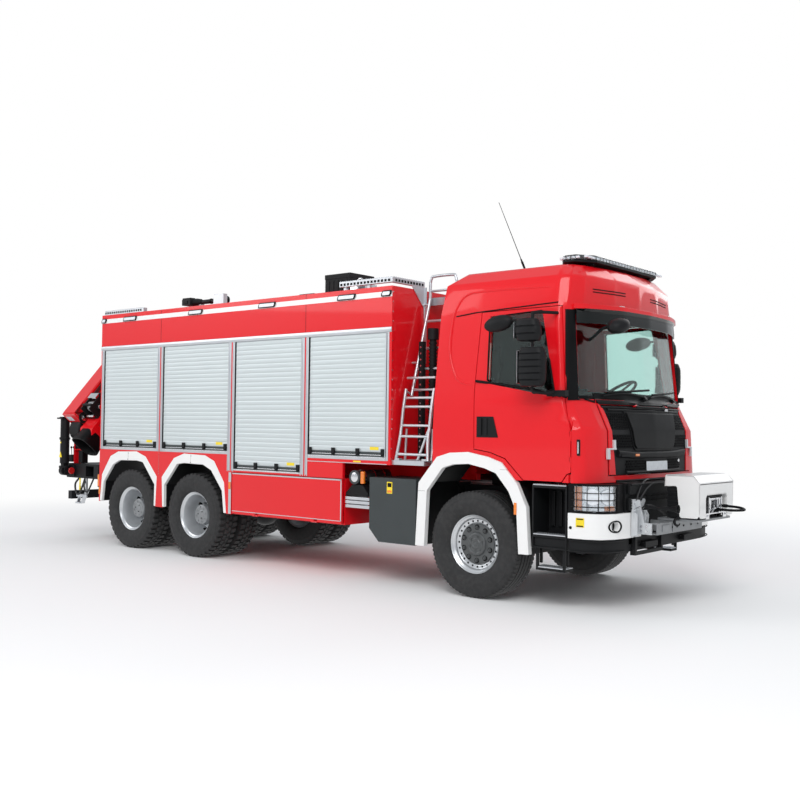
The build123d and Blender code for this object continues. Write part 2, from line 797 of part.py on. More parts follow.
def cab_steps():
    front = step_rear + step_long
    low = step_low
    top = cab_low - door_gap * 4
    box = block(step_rear, front, step_inner_y, cab_half - door_gap, low, top)
    space = block(
        step_rear + step_wall, front - step_wall, step_inner_y + step_wall, cab_half + overrun,
        low + step_wall, top + overrun,
    )
    stair = box - space
    for z in (top - tread_thick, tread_low_top - tread_thick):
        stair = stair + block(
            step_rear + step_wall / 2, front - step_wall / 2, step_inner_y + step_wall / 2,
            cab_half - door_gap, z, z + tread_thick,
        )
    edge = cab_half - door_gap - stirrup_bar
    for x in (step_rear + stirrup_bar, front - stirrup_bar * 2):
        stair = stair + block(x, x + stirrup_bar, edge - step_wall, edge, stirrup_low, low + step_wall)
    stair = stair + block(
        step_rear + stirrup_bar, front - stirrup_bar, edge - stirrup_bar * 5, edge, stirrup_low,
        stirrup_low + tread_thick,
    )
    arm = block(
        front - step_wall * 5, front - step_wall * 2, rail_half + seat_gap, step_inner_y + step_wall / 2,
        frame_top - rail_height + rail_web, frame_top - rail_height + rail_web + rail_flange,
    )
    node("cab_steps", both(stair + arm))


# Front: white bumper corners, headlamps above them, and the dark panel between. Shares of the
# bumper's nose along X and of half the cab's width, from the side round to the middle
bumper_nose = 1510
bumper_low = 690
bumper_top = 925
bumper_skin = 42
bumper_inner_y = 585
headlamp_inner_y = 860
valance_low = 560
nose_line_shares = ((0.728, 1.0), (0.85, 0.995), (0.935, 0.945), (0.98, 0.84), (0.996, 0.70), (1.0, 0.45), (1.0, 0.0))


def nose_band(y_end, thick, z0, z1, inset=0):
    """A band that follows the nose line from the side as far in as y_end."""
    outer = [(bumper_nose * s - inset, cab_half * w - inset) for s, w in nose_line_shares]
    inner = [(x - thick, y - thick) for x, y in outer]
    face = outer + inner[::-1]
    face[0] = (bumper_nose * nose_line_shares[0][0], face[0][1])
    face[-1] = (bumper_nose * nose_line_shares[0][0], face[-1][1])
    middle = len(outer)
    face[middle] = (outer[-1][0] - thick, 0)
    band = prism_z(face, z0, z1)
    keep = block(bumper_nose * 0.5, bumper_nose + overrun, y_end, cab_half + overrun, z0 - overrun, z1 + overrun)
    return band & keep


def front_end():
    bumper = nose_band(bumper_inner_y, bumper_skin, bumper_low, bumper_top)
    lamp_hole = rod(
        (bumper_nose * 0.8, cab_half * 0.83, (bumper_low + bumper_top) / 2),
        (bumper_nose + overrun, cab_half * 0.83, (bumper_low + bumper_top) / 2), hinge_radius * 4,
    )
    bar_face = front_bar_back + front_bar_deep + seat_gap
    foot = block(
        bar_face, bumper_nose - bumper_skin / 2, bumper_inner_y * 1.1, bumper_inner_y * 1.2, front_bar_low,
        front_bar_low + front_bar_tall,
    )
    node("bumper", both(bumper - lamp_hole + foot))
    lamp = nose_band(headlamp_inner_y, bumper_skin * 3, bumper_top + seat_gap, cab_low - seat_gap, seat_gap)
    node("headlamps", both(lamp))
    low_band = nose_band(0, bumper_skin, valance_low, bumper_low - seat_gap, bumper_skin / 2)
    dark = nose_band(0, bumper_skin, bumper_low - seat_gap, cab_low - seat_gap, bumper_skin / 2)
    gap_side = block(
        bumper_nose * 0.5, bumper_nose + overrun, bumper_inner_y - seat_gap, cab_half + overrun,
        bumper_low - overrun * 0, bumper_top + seat_gap * 2,
    )
    lamp_side = block(
        bumper_nose * 0.5, bumper_nose + overrun, headlamp_inner_y - seat_gap, cab_half + overrun,
        bumper_top - seat_gap, cab_low + overrun,
    )
    panel = low_band + (dark - gap_side - lamp_side)
    reach = front_bar_back + front_bar_deep + seat_gap
    stay = block(
        reach, bumper_nose - bumper_skin, bumper_inner_y * 0.7, bumper_inner_y * 0.8, front_bar_low,
        front_bar_low + front_bar_tall,
    )
    panel = panel + stay
    whole = panel + mirrored(panel)
    bar_half = bracket_y * 0.41
    bar_mid = -bracket_y * 0.61
    back = bumper_nose - bumper_skin
    ahead = bumper_nose - bumper_skin / 2 + hung_bar
    for y in (bar_mid - bar_half, bar_mid + bar_half - hung_bar):
        whole = whole + block(back, ahead, y, y + hung_bar, hung_frame_low, bumper_low - seat_gap)
    whole = whole + block(
        back + hung_bar, ahead, bar_mid - bar_half, bar_mid + bar_half, hung_frame_low, hung_frame_low + hung_bar)
    node("front_panel", whole)


# Front gear: bracket plates, channel bar, the winch in its white cover, and the air horn
cover_rear = 1652
cover_front = 2000
cover_half = 400
cover_shift = 22
cover_low = 870
cover_top = 1275
cover_skin = 14
mouth_half = 225
mouth_low = 915
mouth_top = 1075
channel_front = 1740
channel_tall = 110
channel_top = 835
bracket_y = 715
bracket_thick = 24
drum_radius = 85
fairlead_radius = 26
loop_reach = 230
loop_wire = 13
horn_length = 330
horn_mouth = 42
hung_frame_low = 520
hung_bar = 34


def front_gear():
    middle = (cover_rear + cover_front) / 2
    profile = [
        (cover_rear, cover_top * 0.918), (cover_rear, cover_top), (cover_front - cover_skin * 3, cover_top),
        (cover_front, cover_top - cover_skin * 3), (cover_front, cover_low + cover_skin * 4),
        (cover_front - cover_skin * 6, cover_low), (middle, cover_low), (middle - cover_skin * 3, cover_top * 0.918),
    ]
    y0 = cover_shift - cover_half
    y1 = cover_shift + cover_half
    cover = prism_y(profile, y0, y1)
    inside = [
        (cover_rear - overrun, cover_low - overrun), (cover_rear - overrun, cover_top - cover_skin),
        (cover_front - cover_skin * 3, cover_top - cover_skin), (cover_front - cover_skin, cover_top - cover_skin * 4),
        (cover_front - cover_skin, cover_low - overrun),
    ]
    cover = cover - prism_y(inside, y0 + cover_skin, y1 - cover_skin)
    mouth = block(
        cover_front - cover_skin * 8, cover_front + overrun, -mouth_half + cover_shift, mouth_half + cover_shift,
        mouth_low, mouth_top,
    )
    cover = cover - mouth
    node("winch_cover", cover)

    plate_low = channel_top - channel_tall
    ends = []
    for side in (-1, 1):
        arm_back = front_bar_back + front_bar_deep + seat_gap
        arm = block(
            bumper_nose - bumper_skin / 2 + seat_gap, channel_front, side * bracket_y * 0.5 - bracket_thick / 2,
            side * bracket_y * 0.5 + bracket_thick / 2, plate_low, channel_top,
        )
        ends.append(arm)
    bed = block(
        cover_rear - drum_radius, cover_front - cover_skin - seat_gap, y0 + cover_skin + seat_gap,
        y1 - cover_skin - seat_gap, channel_top, channel_top + bracket_thick,
    )
    channel = block(bumper_nose * 1.1, channel_front, -bracket_y, bracket_y * 0.4, plate_low, channel_top)
    channel = channel - block(
        bumper_nose * 1.1 - overrun, channel_front - bracket_thick, -bracket_y - overrun, bracket_y * 0.4 + overrun,
        plate_low + bracket_thick, channel_top - bracket_thick,
    )
    gear = channel + bed
    for arm in ends:
        gear = gear + arm
    axis_z = (mouth_low + mouth_top) / 2 + bracket_thick
    drum_x = middle + cover_skin
    for side in (-1, 1):
        cheek_y = cover_shift + side * mouth_half * 1.15
        gear = gear + block(
            drum_x - drum_radius * 1.3, drum_x + drum_radius * 1.1, cheek_y - bracket_thick / 2,
            cheek_y + bracket_thick / 2, channel_top, axis_z + drum_radius * 1.3,
        )
        gear = gear + rod(
            (cover_front - cover_skin * 4, side * mouth_half * 0.5 + cover_shift, channel_top),
            (cover_front - cover_skin * 4, side * mouth_half * 0.5 + cover_shift, mouth_top),
            fairlead_radius,
        )
    gear = gear + rod(
        (drum_x, cover_shift - mouth_half * 1.15, axis_z), (drum_x, cover_shift + mouth_half * 1.15, axis_z),
        drum_radius,
    )
    plate = prism_y(
        [
            (bumper_nose + seat_gap, plate_low), (bumper_nose * 1.1 + bracket_thick, plate_low),
            (bumper_nose * 1.1 + bracket_thick, channel_top),
            (bumper_nose + bracket_thick * 4, channel_top), (bumper_nose + bracket_thick * 2, channel_top + channel_tall * 2),
            (bumper_nose + seat_gap, channel_top + channel_tall * 2),
        ],
        -bracket_y - bracket_thick, -bracket_y,
    )
    horn = turned([(0, 0), (hinge_radius, 0), (hinge_radius * 1.4, horn_length * 0.7), (horn_mouth, horn_length), (0, horn_length)], 0, 0, 0)
    horn_at = Plane(
        origin=(bumper_nose + bracket_thick * 4, -bracket_y + hinge_radius, channel_top + channel_tall * 1.3),
        x_dir=(1, 0, 0), z_dir=(0, 0, 1),
    )
    horn = horn_at * Rot(0, 0, 0) * horn
    shelf = block(
        bumper_nose + bracket_thick, bumper_nose + bracket_thick * 4 + horn_mouth, -bracket_y, -bracket_y + bracket_thick * 2,
        channel_top + channel_tall * 1.3 - hinge_radius * 2, channel_top + channel_tall * 1.3 - hinge_radius * 0.5,
    )
    gear = gear + plate + shelf + horn
    loop_z = (mouth_low + mouth_top) / 2 - bracket_thick
    y_mid = cover_shift + mouth_half * 0.8
    loop = bent(
        [
            (cover_front - cover_skin * 2, y_mid - mouth_half * 0.3, loop_z),
            (cover_front + loop_reach, y_mid - mouth_half * 0.3, loop_z - loop_wire * 2),
            (cover_front + loop_reach, y_mid + mouth_half * 0.1, loop_z - loop_wire * 2),
            (cover_front - cover_skin * 2, y_mid + mouth_half * 0.1, loop_z),
        ],
        loop_wire, loop_wire * 2,
    )
    lead = block(
        cover_front - cover_skin * 3, cover_front - cover_skin - seat_gap, cover_shift - mouth_half * 1.2,
        cover_shift + mouth_half * 1.2, channel_top, mouth_low + bracket_thick,
    )
    node("front_gear", gear + lead + loop)


# Mirrors, each a bent arm on the door's front edge with two heads
mirror_out = 1455
mirror_thick = 70
mirror_main_shares = ((0.63, 0.79), (0.42, 0.605))
mirror_wide_shares = ((0.61, 0.76), (0.624, 0.73))
mirror_kerb_shares = ((0.42, 0.59), (0.68, 0.762))
mirror_arm_radius = 16


def mirrors():
    heads = []
    for (x0, x1), (z0, z1) in (mirror_main_shares, mirror_wide_shares):
        a = cab_at(x0, z0)
        b = cab_at(x1, z1)
        head = block(a[0], b[0], -mirror_out - mirror_thick, -mirror_out + mirror_thick, a[1], b[1])
        heads.append(fillet(head.edges().filter_by(Axis.Y), mirror_thick * 0.4))
    top = cab_at(0.768, 0.762)
    low = cab_at(0.795, 0.40)
    x_arm = heads[0].center().X
    top_out = -mirror_out
    skin_low = -cab_half * 0.955
    skin_top = -cab_half * 0.93
    arm = bent(
        [
            (low[0], skin_low - seat_gap, low[1]), (x_arm, top_out, low[1]),
            (x_arm, top_out, top[1]), (top[0], skin_top, top[1]),
        ],
        mirror_arm_radius, mirror_arm_radius * 3,
    )
    kerb_a = cab_at(mirror_kerb_shares[0][0], mirror_kerb_shares[1][0])
    kerb_b = cab_at(mirror_kerb_shares[0][1], mirror_kerb_shares[1][1])
    kerb = block(kerb_a[0], kerb_b[0], -mirror_out - mirror_thick, -mirror_out + mirror_thick, kerb_a[1], kerb_b[1])
    kerb = fillet(kerb.edges().filter_by(Axis.Y), mirror_thick * 0.5)
    bridge_z = kerb.center().Z
    bridge = rod((kerb.center().X, -mirror_out, bridge_z), (x_arm, -mirror_out, bridge_z), mirror_arm_radius * 0.8)
    whole = heads[0] + heads[1] + arm + kerb + bridge
    whole = whole - nodes_solid("door_right") - nodes_solid("door_glass_right")
    whole = max(whole.solids(), key=lambda s: s.volume)
    node("mirrors_right", whole)
    node("mirrors_left", mirrored(whole))


def nodes_solid(name):
    solids = nodes[name]
    whole = solids[0]
    for piece in solids[1:]:
        whole = whole + piece
    return whole


# Roof of the cab: light bar on feet, sun visor over the screen, antenna
bar_half_wide = 850
bar_rear_share = 0.685
bar_deep = 350
bar_tall = 78
bar_foot = 34
antenna_y = 600
antenna_top = 4100
antenna_radius = 9
antenna_base_share = 0.375
visor_thick = 14
visor_out = 75
visor_low_share = 0.731
visor_top_share = 0.805


def cab_roof():
    x0 = cab_rear + cab_long * bar_rear_share - bar_deep * 0.55
    x0 = cab_rear + cab_long * bar_rear_share
    rail_z = cab_roof_top + seat_gap
    x0 = x0 - bar_deep * 0.2
    bar = block(x0, x0 + bar_deep, -bar_half_wide, bar_half_wide, rail_z + bar_foot, rail_z + bar_foot + bar_tall)
    bar = fillet(bar.edges().filter_by(Axis.Z), bar_deep * 0.3)
    pieces = bar
    for side in (-1, 1):
        y = side * bar_half_wide * 0.6
        pieces = pieces + block(
            x0 + bar_deep * 0.2, x0 + bar_deep * 0.5, y - bar_foot, y + bar_foot, rail_z, rail_z + bar_foot,
        )
    base_x = cab_rear + cab_long * antenna_base_share
    base = rod((base_x, -antenna_y, rail_z), (base_x, -antenna_y, rail_z + bar_foot), bar_foot)
    whip_tip = (base_x - (antenna_top - cab_roof_top) * 0.44, -antenna_y, antenna_top)
    whip = rod((base_x, -antenna_y, rail_z + bar_foot * 0.5), whip_tip, antenna_radius)
    low = cab_low + cab_tall * visor_low_share
    top = cab_low + cab_tall * visor_top_share
    big = cab_volume(low, top, -visor_out)
    small = cab_volume(low - overrun, top + overrun, -visor_out + visor_thick)
    front = block(
        cab_long * 0.48, cab_front * 1.1, -cab_half * 0.93, cab_half * 0.93, low - overrun, top + overrun,
    )
    sheet_part = (big - small) & front
    stay = block(
        cab_long * 0.5, cab_front + visor_out, -antenna_radius, antenna_radius,
        top - visor_thick * 3, top - visor_thick,
    )
    stays = []
    skin = cab_volume(cab_low, cab_roof_top, -seat_gap)
    for share in (-0.5, 0.0, 0.5):
        stays.append((Pos(0, cab_half * share, 0) * stay & big) - skin)
    visor = sheet_part
    for piece in stays:
        visor = visor + piece
    node("cab_roof_gear", pieces, base + whip, max(visor.solids(), key=lambda s: s.volume))


# Under the body's front end: a closed locker on the right, the fuel tank on the left, an air tank
locker_front = -722
locker_long = 648
locker_low = 460
locker_top = 1150
locker_inner_y = 700
locker_cut = 138
tank_long = 880
air_tank_x = -1595
air_tank_radius = 78
air_tank_z = 1137
bearer_tall = 60


def side_boxes():
    rear = locker_front - locker_long
    y = -(cab_half - door_gap)
    locker = prism_y(
        [
            (rear, locker_low + locker_cut), (rear, locker_top), (locker_front, locker_top),
            (locker_front, locker_low), (rear + locker_cut, locker_low),
        ],
        y, -locker_inner_y,
    )
    inner = -(rail_half + seat_gap)
    low = frame_top - rail_height + rail_web
    hold = block(rear + bearer_tall, locker_front - bearer_tall * 4, -locker_inner_y, inner, low, low + bearer_tall)
    locker = locker + hold
    tank = block(locker_front - tank_long, locker_front, locker_inner_y, cab_half - door_gap, locker_low + locker_cut / 2, locker_top)
    tank = fillet(tank.edges().filter_by(Axis.X), locker_cut * 0.8)
    tank = tank + block(
        locker_front - tank_long * 0.8, locker_front - tank_long * 0.2, -inner, locker_inner_y + bearer_tall, low,
        low + bearer_tall,
    )
    air = rod((air_tank_x, y, air_tank_z), (air_tank_x, -locker_inner_y, air_tank_z), air_tank_radius)
    rest = air_tank_z - air_tank_radius
    arm = block(
        air_tank_x - bearer_tall / 2, air_tank_x + bearer_tall / 2, y + bearer_tall, inner, rest - bearer_tall * 2, rest + air_tank_radius * 0.1,
    )
    node("side_boxes", locker, tank, air + arm)


# Equipment body: hollow walls on two bearers, one large opening a side filled by a silver frame
# with four bays. Bay stations are shares of the body's length from its front, sills are heights
floor_low = 1290
floor_thick = 40
skirt_low = 600
skirt_front_share = 0.129
low_bay_rear_share = 0.476
low_floor = 1117
fascia_low = 2770
rail_band = 60
post_wide = 110
post_stations_shares = (0.0085, 0.2425, 0.4805, 0.747, 0.9945)
sill_tall = 40
low_sill_tall = 20
roof_thick = 60
partition = 36
skin_thick = 20
front_chamfer_y = 200


def body_x(share):
    return body_front - body_length * share


def body_side_outline():
    """The side wall's outline, from the rear low corner round; the arches are cut out later."""
    return [
        (body_rear, skirt_low), (body_rear, body_top), (body_front, body_top), (body_front, floor_low),
        (body_x(skirt_front_share), floor_low), (body_x(skirt_front_share), low_floor),
        (body_x(low_bay_rear_share), low_floor), (body_x(low_bay_rear_share), skirt_low),
    ]


def bay_opening():
    """The side opening's outline: down to the low floor for the third bay, above it elsewhere."""
    front = body_x(post_stations_shares[0])
    rear = body_x(post_stations_shares[4])
    a = body_x(post_stations_shares[1]) + post_wide / 2
    b = body_x(post_stations_shares[2]) - post_wide / 2
    sill = floor_low + floor_thick
    low = low_floor + skin_thick
    return [
        (rear, sill), (rear, fascia_low), (front, fascia_low), (front, sill), (a, sill), (a, low), (b, low), (b, sill),
    ]


def bays():
    """Each bay's window in the silver frame: rear, front, low and top."""
    made = []
    stations = [body_x(share) for share in post_stations_shares]
    for i in range(4):
        front = stations[i] - (post_wide / 2 if i else sill_tall / 2)
        rear = stations[i + 1] + (post_wide / 2 if i < 3 else sill_tall)
        low = floor_low + floor_thick + sill_tall
        if i == 1:
            low = low_floor + skin_thick + low_sill_tall
        made.append((rear, front, low, fascia_low - rail_band))
    return made


def arch_cutters(y0, y1, grow):
    low = skirt_low - overrun
    made = []
    for x, turn in ((axle_2, -1), (axle_3, 1)):
        points = arch_points(x, rear_arch_shares, rear_arch_reach, rear_arch_rise, turn, grow, low)
        made.append(prism_y(points, y0, y1))
    return made


def body_shell():
    side = prism_y(body_side_outline(), body_half - wall, body_half)
    for cutter in arch_cutters(body_half - wall - overrun, body_half + overrun, seat_gap):
        side = side - cutter
    side = side - prism_y(bay_opening(), body_half - wall - overrun, body_half + overrun)
    inner_half = body_half - wall - seat_gap
    ceiling = body_top - roof_thick - seat_gap
    a = body_x(post_stations_shares[1])
    b = body_x(post_stations_shares[2])
    half = partition / 2
    free = half + seat_gap
    rear_face = body_rear + wall + seat_gap
    front_face = body_front - wall - seat_gap
    plates = [
        block(body_rear, body_front, -inner_half, inner_half, body_top - roof_thick, body_top),
        block(body_front - wall, body_front, -inner_half, inner_half, floor_low, ceiling),
        block(body_rear, body_rear + wall, -inner_half, inner_half, floor_low, ceiling),
        block(a + free, front_face, -inner_half, inner_half, floor_low, floor_low + floor_thick),
        block(rear_face, b - free, -inner_half, inner_half, floor_low, floor_low + floor_thick),
        block(b + free, a - free, -inner_half, inner_half, low_floor, low_floor + skin_thick),
    ]
    for x, low in (
        (a, low_floor), (b, low_floor), (body_x(post_stations_shares[3]), floor_low + floor_thick + seat_gap),
    ):
        plates.append(block(x - half, x + half, -inner_half, inner_half, low, ceiling))
    for s in (-1, 1):
        y0 = s * (rail_half - rail_flange)
        y1 = s * rail_half
        plates.append(block(body_rear, body_front, y0, y1, frame_top + seat_gap, low_floor - seat_gap))
        plates.append(block(a + free, body_front, y0, y1, low_floor, floor_low - seat_gap))
        plates.append(block(body_rear, b - free, y0, y1, low_floor, floor_low - seat_gap))
    locker_rear = body_x(low_bay_rear_share) + skin_thick / 2
    locker_front_x = body_x(skirt_front_share)
    inner = liner_inner_y + skin_thick
    locker_top_z = low_floor - seat_gap
    box = block(locker_rear, locker_front_x, inner, body_half - wall - door_gap, skirt_low, locker_top_z)
    space = block(
        locker_rear + skin_thick, locker_front_x - skin_thick, inner + skin_thick, body_half + overrun,
        skirt_low + skin_thick, low_floor - skin_thick,
    )
    locker = box - space
    node("body_shell", side, mirrored(side), plates, locker, mirrored(locker))


def body_trim():
    frame = prism_y(bay_opening(), body_half - wall + seat_gap, body_half)
    grown = []
    for rear, front, low, top in bays():
        frame = frame - block(rear, front, body_half - wall - overrun, body_half + overrun, low, top)
    frame = frame - Pos(0, 0, 0) * prism_y(body_side_outline(), body_half + overrun, body_half + overrun * 2)
    node("body_trim", both(frame))


shutter_thick = 18
shutter_deep = 14


def shutters():
    made = []
    for rear, front, low, top in bays():
        plate = block(
            rear + seat_gap, front - seat_gap, body_half - shutter_deep - shutter_thick, body_half - shutter_deep,
            low + seat_gap, top - seat_gap,
        )
        made += both(plate)
    node("shutters", made)


flap_skin = 30
flap_hinge_x_shares = (0.2, 0.74)


def flap_axis():
    return body_half - hinge_radius, skirt_low + hinge_radius


def flaps():
    rear = body_x(low_bay_rear_share) + skin_thick / 2 + door_gap
    front = body_x(skirt_front_share) - door_gap
    y1 = body_half
    flap = block(rear, front, y1 - flap_skin, y1, skirt_low + hinge_radius, low_floor - door_gap)
    tray = block(
        rear + flap_skin, front - flap_skin, y1 - flap_skin - overrun, y1 - flap_skin / 3,
        skirt_low + flap_skin * 2, low_floor - door_gap - flap_skin,
    )
    flap = flap - tray
    hy, hz = flap_axis()
    for share in flap_hinge_x_shares:
        x = rear + (front - rear) * share
        flap = flap + rod((x, hy, hz), (x + knuckle_long, hy, hz), hinge_radius)
    node("flap_left", flap)
    node("flap_right", mirrored(flap))
    lugs = []
    for share in flap_hinge_x_shares:
        x = rear + (front - rear) * share + knuckle_long + seat_gap
        notch_y = body_half - wall - door_gap + seat_gap
        lug = rod((x, hy, hz), (x + knuckle_long, hy, hz), hinge_radius * 0.9)
        lug = lug + block(x, x + knuckle_long, notch_y, hy, skirt_low, skirt_low + hinge_radius)
        lugs.append((x, lug))
    return lugs


def fit_flap_lugs(lugs):
    """The lugs sit against the body's locker, and the flap gets a notch round each."""
    flap = nodes_solid("flap_left")
    for x, lug in lugs:
        nodes["body_shell"] += lug.solids() + mirrored(lug).solids()
        notch = block(
            x - seat_gap, x + knuckle_long + door_gap, body_half - wall - overrun, body_half + overrun,
            skirt_low, skirt_low + hinge_radius * 3,
        )
        flap = flap - notch
    node("flap_left", flap)
    node("flap_right", mirrored(flap))


# Roof of the body: edge treads on feet, a box, the light bar of the work lamps and the folded mast
roof_rail_tall = 55
roof_rail_wide = 60
roof_foot = 40
roof_rail_long = 780
roof_rail_turn_y = 720
roof_box_long = 390
roof_box_wide = 400
roof_box_tall = 225
roof_box_y = 900
rear_strip_long = 900
mast_x = -4240
mast_y = 900
mast_rise = 110
mast_radius = 30
mast_long = 560
mast_head_long = 170
mast_head_wide = 240
mast_head_tall = 80
mast_block = 130


def roof_gear():
    z = body_top + seat_gap
    edge = body_half - seat_gap
    rails = []
    for side in (-1, 1):
        strip = block(
            body_front - roof_rail_long, body_front, side * (edge - roof_rail_wide), side * edge,
            z + roof_foot, z + roof_foot + roof_rail_tall,
        )
        for x in (body_front - roof_rail_long * 0.95, body_front - roof_rail_long * 0.5):
            strip = strip + block(
                x, x + roof_foot, side * (edge - roof_rail_wide), side * (edge - roof_rail_wide / 2), z, z + roof_foot,
            )
        across = block(
            body_front - roof_rail_wide, body_front, side * roof_rail_turn_y, side * edge, z + roof_foot,
            z + roof_foot + roof_rail_tall,
        )
        foot = block(
            body_front - roof_rail_wide, body_front - roof_rail_wide / 2, side * roof_rail_turn_y,
            side * (roof_rail_turn_y + roof_foot), z, z + roof_foot,
        )
        rails.append(strip + across + foot)
    box_rear = body_front - roof_rail_long - roof_box_long
    box = block(
        box_rear, box_rear + roof_box_long - seat_gap, -roof_box_y - roof_box_wide / 2,
        -roof_box_y + roof_box_wide / 2, z, z + roof_box_tall,
    )
    box = fillet(box.edges().filter_by(Axis.X).group_by(Axis.Z)[-1], roof_foot)
    strip = block(
        body_rear + roof_rail_wide, body_rear + roof_rail_wide + rear_strip_long, -edge, -edge + roof_rail_wide,
        z, z + roof_rail_tall,
    )
    base = block(
        mast_x - mast_block / 2, mast_x + mast_block, -mast_y - mast_block, -mast_y - mast_block / 2, z,
        z + mast_rise + mast_radius * 2,
    )
    base = base + block(
        mast_x - mast_block / 2, mast_x + mast_block, -mast_y - mast_block, -mast_y + mast_block * 0.7, z, z + mast_radius)
    pin_z = body_top + mast_rise
    base = base + rod(
        (mast_x, -mast_y - mast_block, pin_z), (mast_x, -mast_y - mast_radius - seat_gap, pin_z), hinge_radius,
    )
    rest_x = mast_x - mast_long * 0.8
    rest = block(rest_x - roof_foot, rest_x, -mast_y - mast_radius, -mast_y + mast_radius, z, pin_z - mast_radius - seat_gap)
    node("roof_gear", rails, box, strip, base, rest)
    tube = rod((mast_x, -mast_y, pin_z), (mast_x - mast_long, -mast_y, pin_z), mast_radius)
    eye = rod((mast_x, -mast_y - mast_radius, pin_z), (mast_x, -mast_y + mast_radius, pin_z), mast_radius * 1.3)
    head = block(
        mast_x - mast_long - mast_head_long, mast_x - mast_long, -mast_y - mast_head_wide / 2,
        -mast_y + mast_head_wide / 2, pin_z - mast_head_tall / 2, pin_z + mast_head_tall / 2,
    )
    node("light_mast", tube + eye + head)


# Ladder between cab and body, leaning in towards the roof
ladder_near_gap = 80
ladder_wide = 360
stile_radius = 19
rung_radius = 14
rung_count = 6
ladder_foot_y = 1250
ladder_foot_z = 1345
ladder_head_y = 720
ladder_head_z = 3130
ladder_arch_z = 3360
platform_long = 440
platform_inner_y = 650
platform_thick = 50


def ladder():
    parts = []
    far = body_front + seat_gap
    near_x = body_front + ladder_near_gap
    stations = (near_x, near_x + ladder_wide)
    for x in stations:
        stile = bent(
            [
                (x, -ladder_foot_y + stile_radius, ladder_foot_z - platform_thick / 2),
                (x, -ladder_head_y, ladder_head_z), (x, -ladder_head_y, ladder_arch_z),
            ],
            stile_radius, stile_radius * 3,
        )
        parts.append(stile)
    run = ladder_foot_y - stile_radius - ladder_head_y
    rise = ladder_head_z - ladder_foot_z
    for i in range(rung_count):
        t = (i + 1) / (rung_count + 0.5)
        y = -ladder_foot_y + stile_radius + run * t
        z = ladder_foot_z + rise * t
        parts.append(rod((stations[0], y, z), (stations[1], y, z), rung_radius))
    top = rod(
        (stations[0], -ladder_head_y, ladder_arch_z - stile_radius),
        (stations[1], -ladder_head_y, ladder_arch_z - stile_radius), rung_radius,
    )
    parts.append(top)
    for t in (0.3, 0.97):
        y = -ladder_foot_y + stile_radius + run * t
        z = ladder_foot_z + rise * t
        parts.append(rod((far, y, z), (stations[0], y, z), rung_radius))
    platform = block(
        far, body_front + platform_long, -ladder_foot_y, -platform_inner_y,
        ladder_foot_z - platform_thick, ladder_foot_z,
    )
    whole = platform
    for piece in parts:
        whole = whole + piece
    node("ladder", whole)


# Crane across the frame's rear end: the outrigger housing, column, two boom members, extension
housing_low = 880
housing_top = 1090
housing_half = 1080
tunnel_wall = 30
beam_gap = 6
beam_wide = 190
beam_front_x_share = 0.27
beam_rear_x_share = 0.85
column_y = 100
mast_column_radius = 175
column_top = 2600
pivot_z = 3100
boom_slope = 49.3
boom_wide = 330
boom_deep = 310
ear_thick = 60
lug_wide = 150
outer_gap = 30
outer_wide = 300
inner_offset = 68
elbow_along = 1797
elbow_across = -134
tail_reach = 276
outer_reach = 2080
pin_radius = 38
extension_out = 190
extension_gap = 8
barrel_radius = 62
piston_radius = 26
cylinder_foot_y = -270
cylinder_foot_z = 1350
cylinder_eye_along = 560
cylinder_eye_across = -175
eye_wide = 56
eye_radius = 48
barrel_share = 0.80


def crane_spot(along, across=0):
    """A point of the booms' plane: along the slope down from the pivot, and across it, upward."""
    a = math.radians(boom_slope)
    y = column_y - along * math.cos(a) - across * math.sin(a)
    z = pivot_z - along * math.sin(a) + across * math.cos(a)
    return y, z


def boom_prism(points, x0, x1):
    return prism_x([crane_spot(*p) for p in points], x0, x1)


def clevis(y, z, outline, with_pin):
    """Two ears either side of a cylinder's eye, with the pin between them or with short stubs."""
    ears = []
    for side in (-1, 1):
        near = crane_x + side * (eye_wide / 2 + beam_gap)
        far = near + side * skin_thick
        ears.append(prism_x(outline, min(near, far), max(near, far)))
    reach = eye_wide / 2 + beam_gap - seat_gap
    if with_pin:
        ears.append(rod((crane_x - reach, y, z), (crane_x + reach, y, z), pin_radius * 0.6))
    return ears


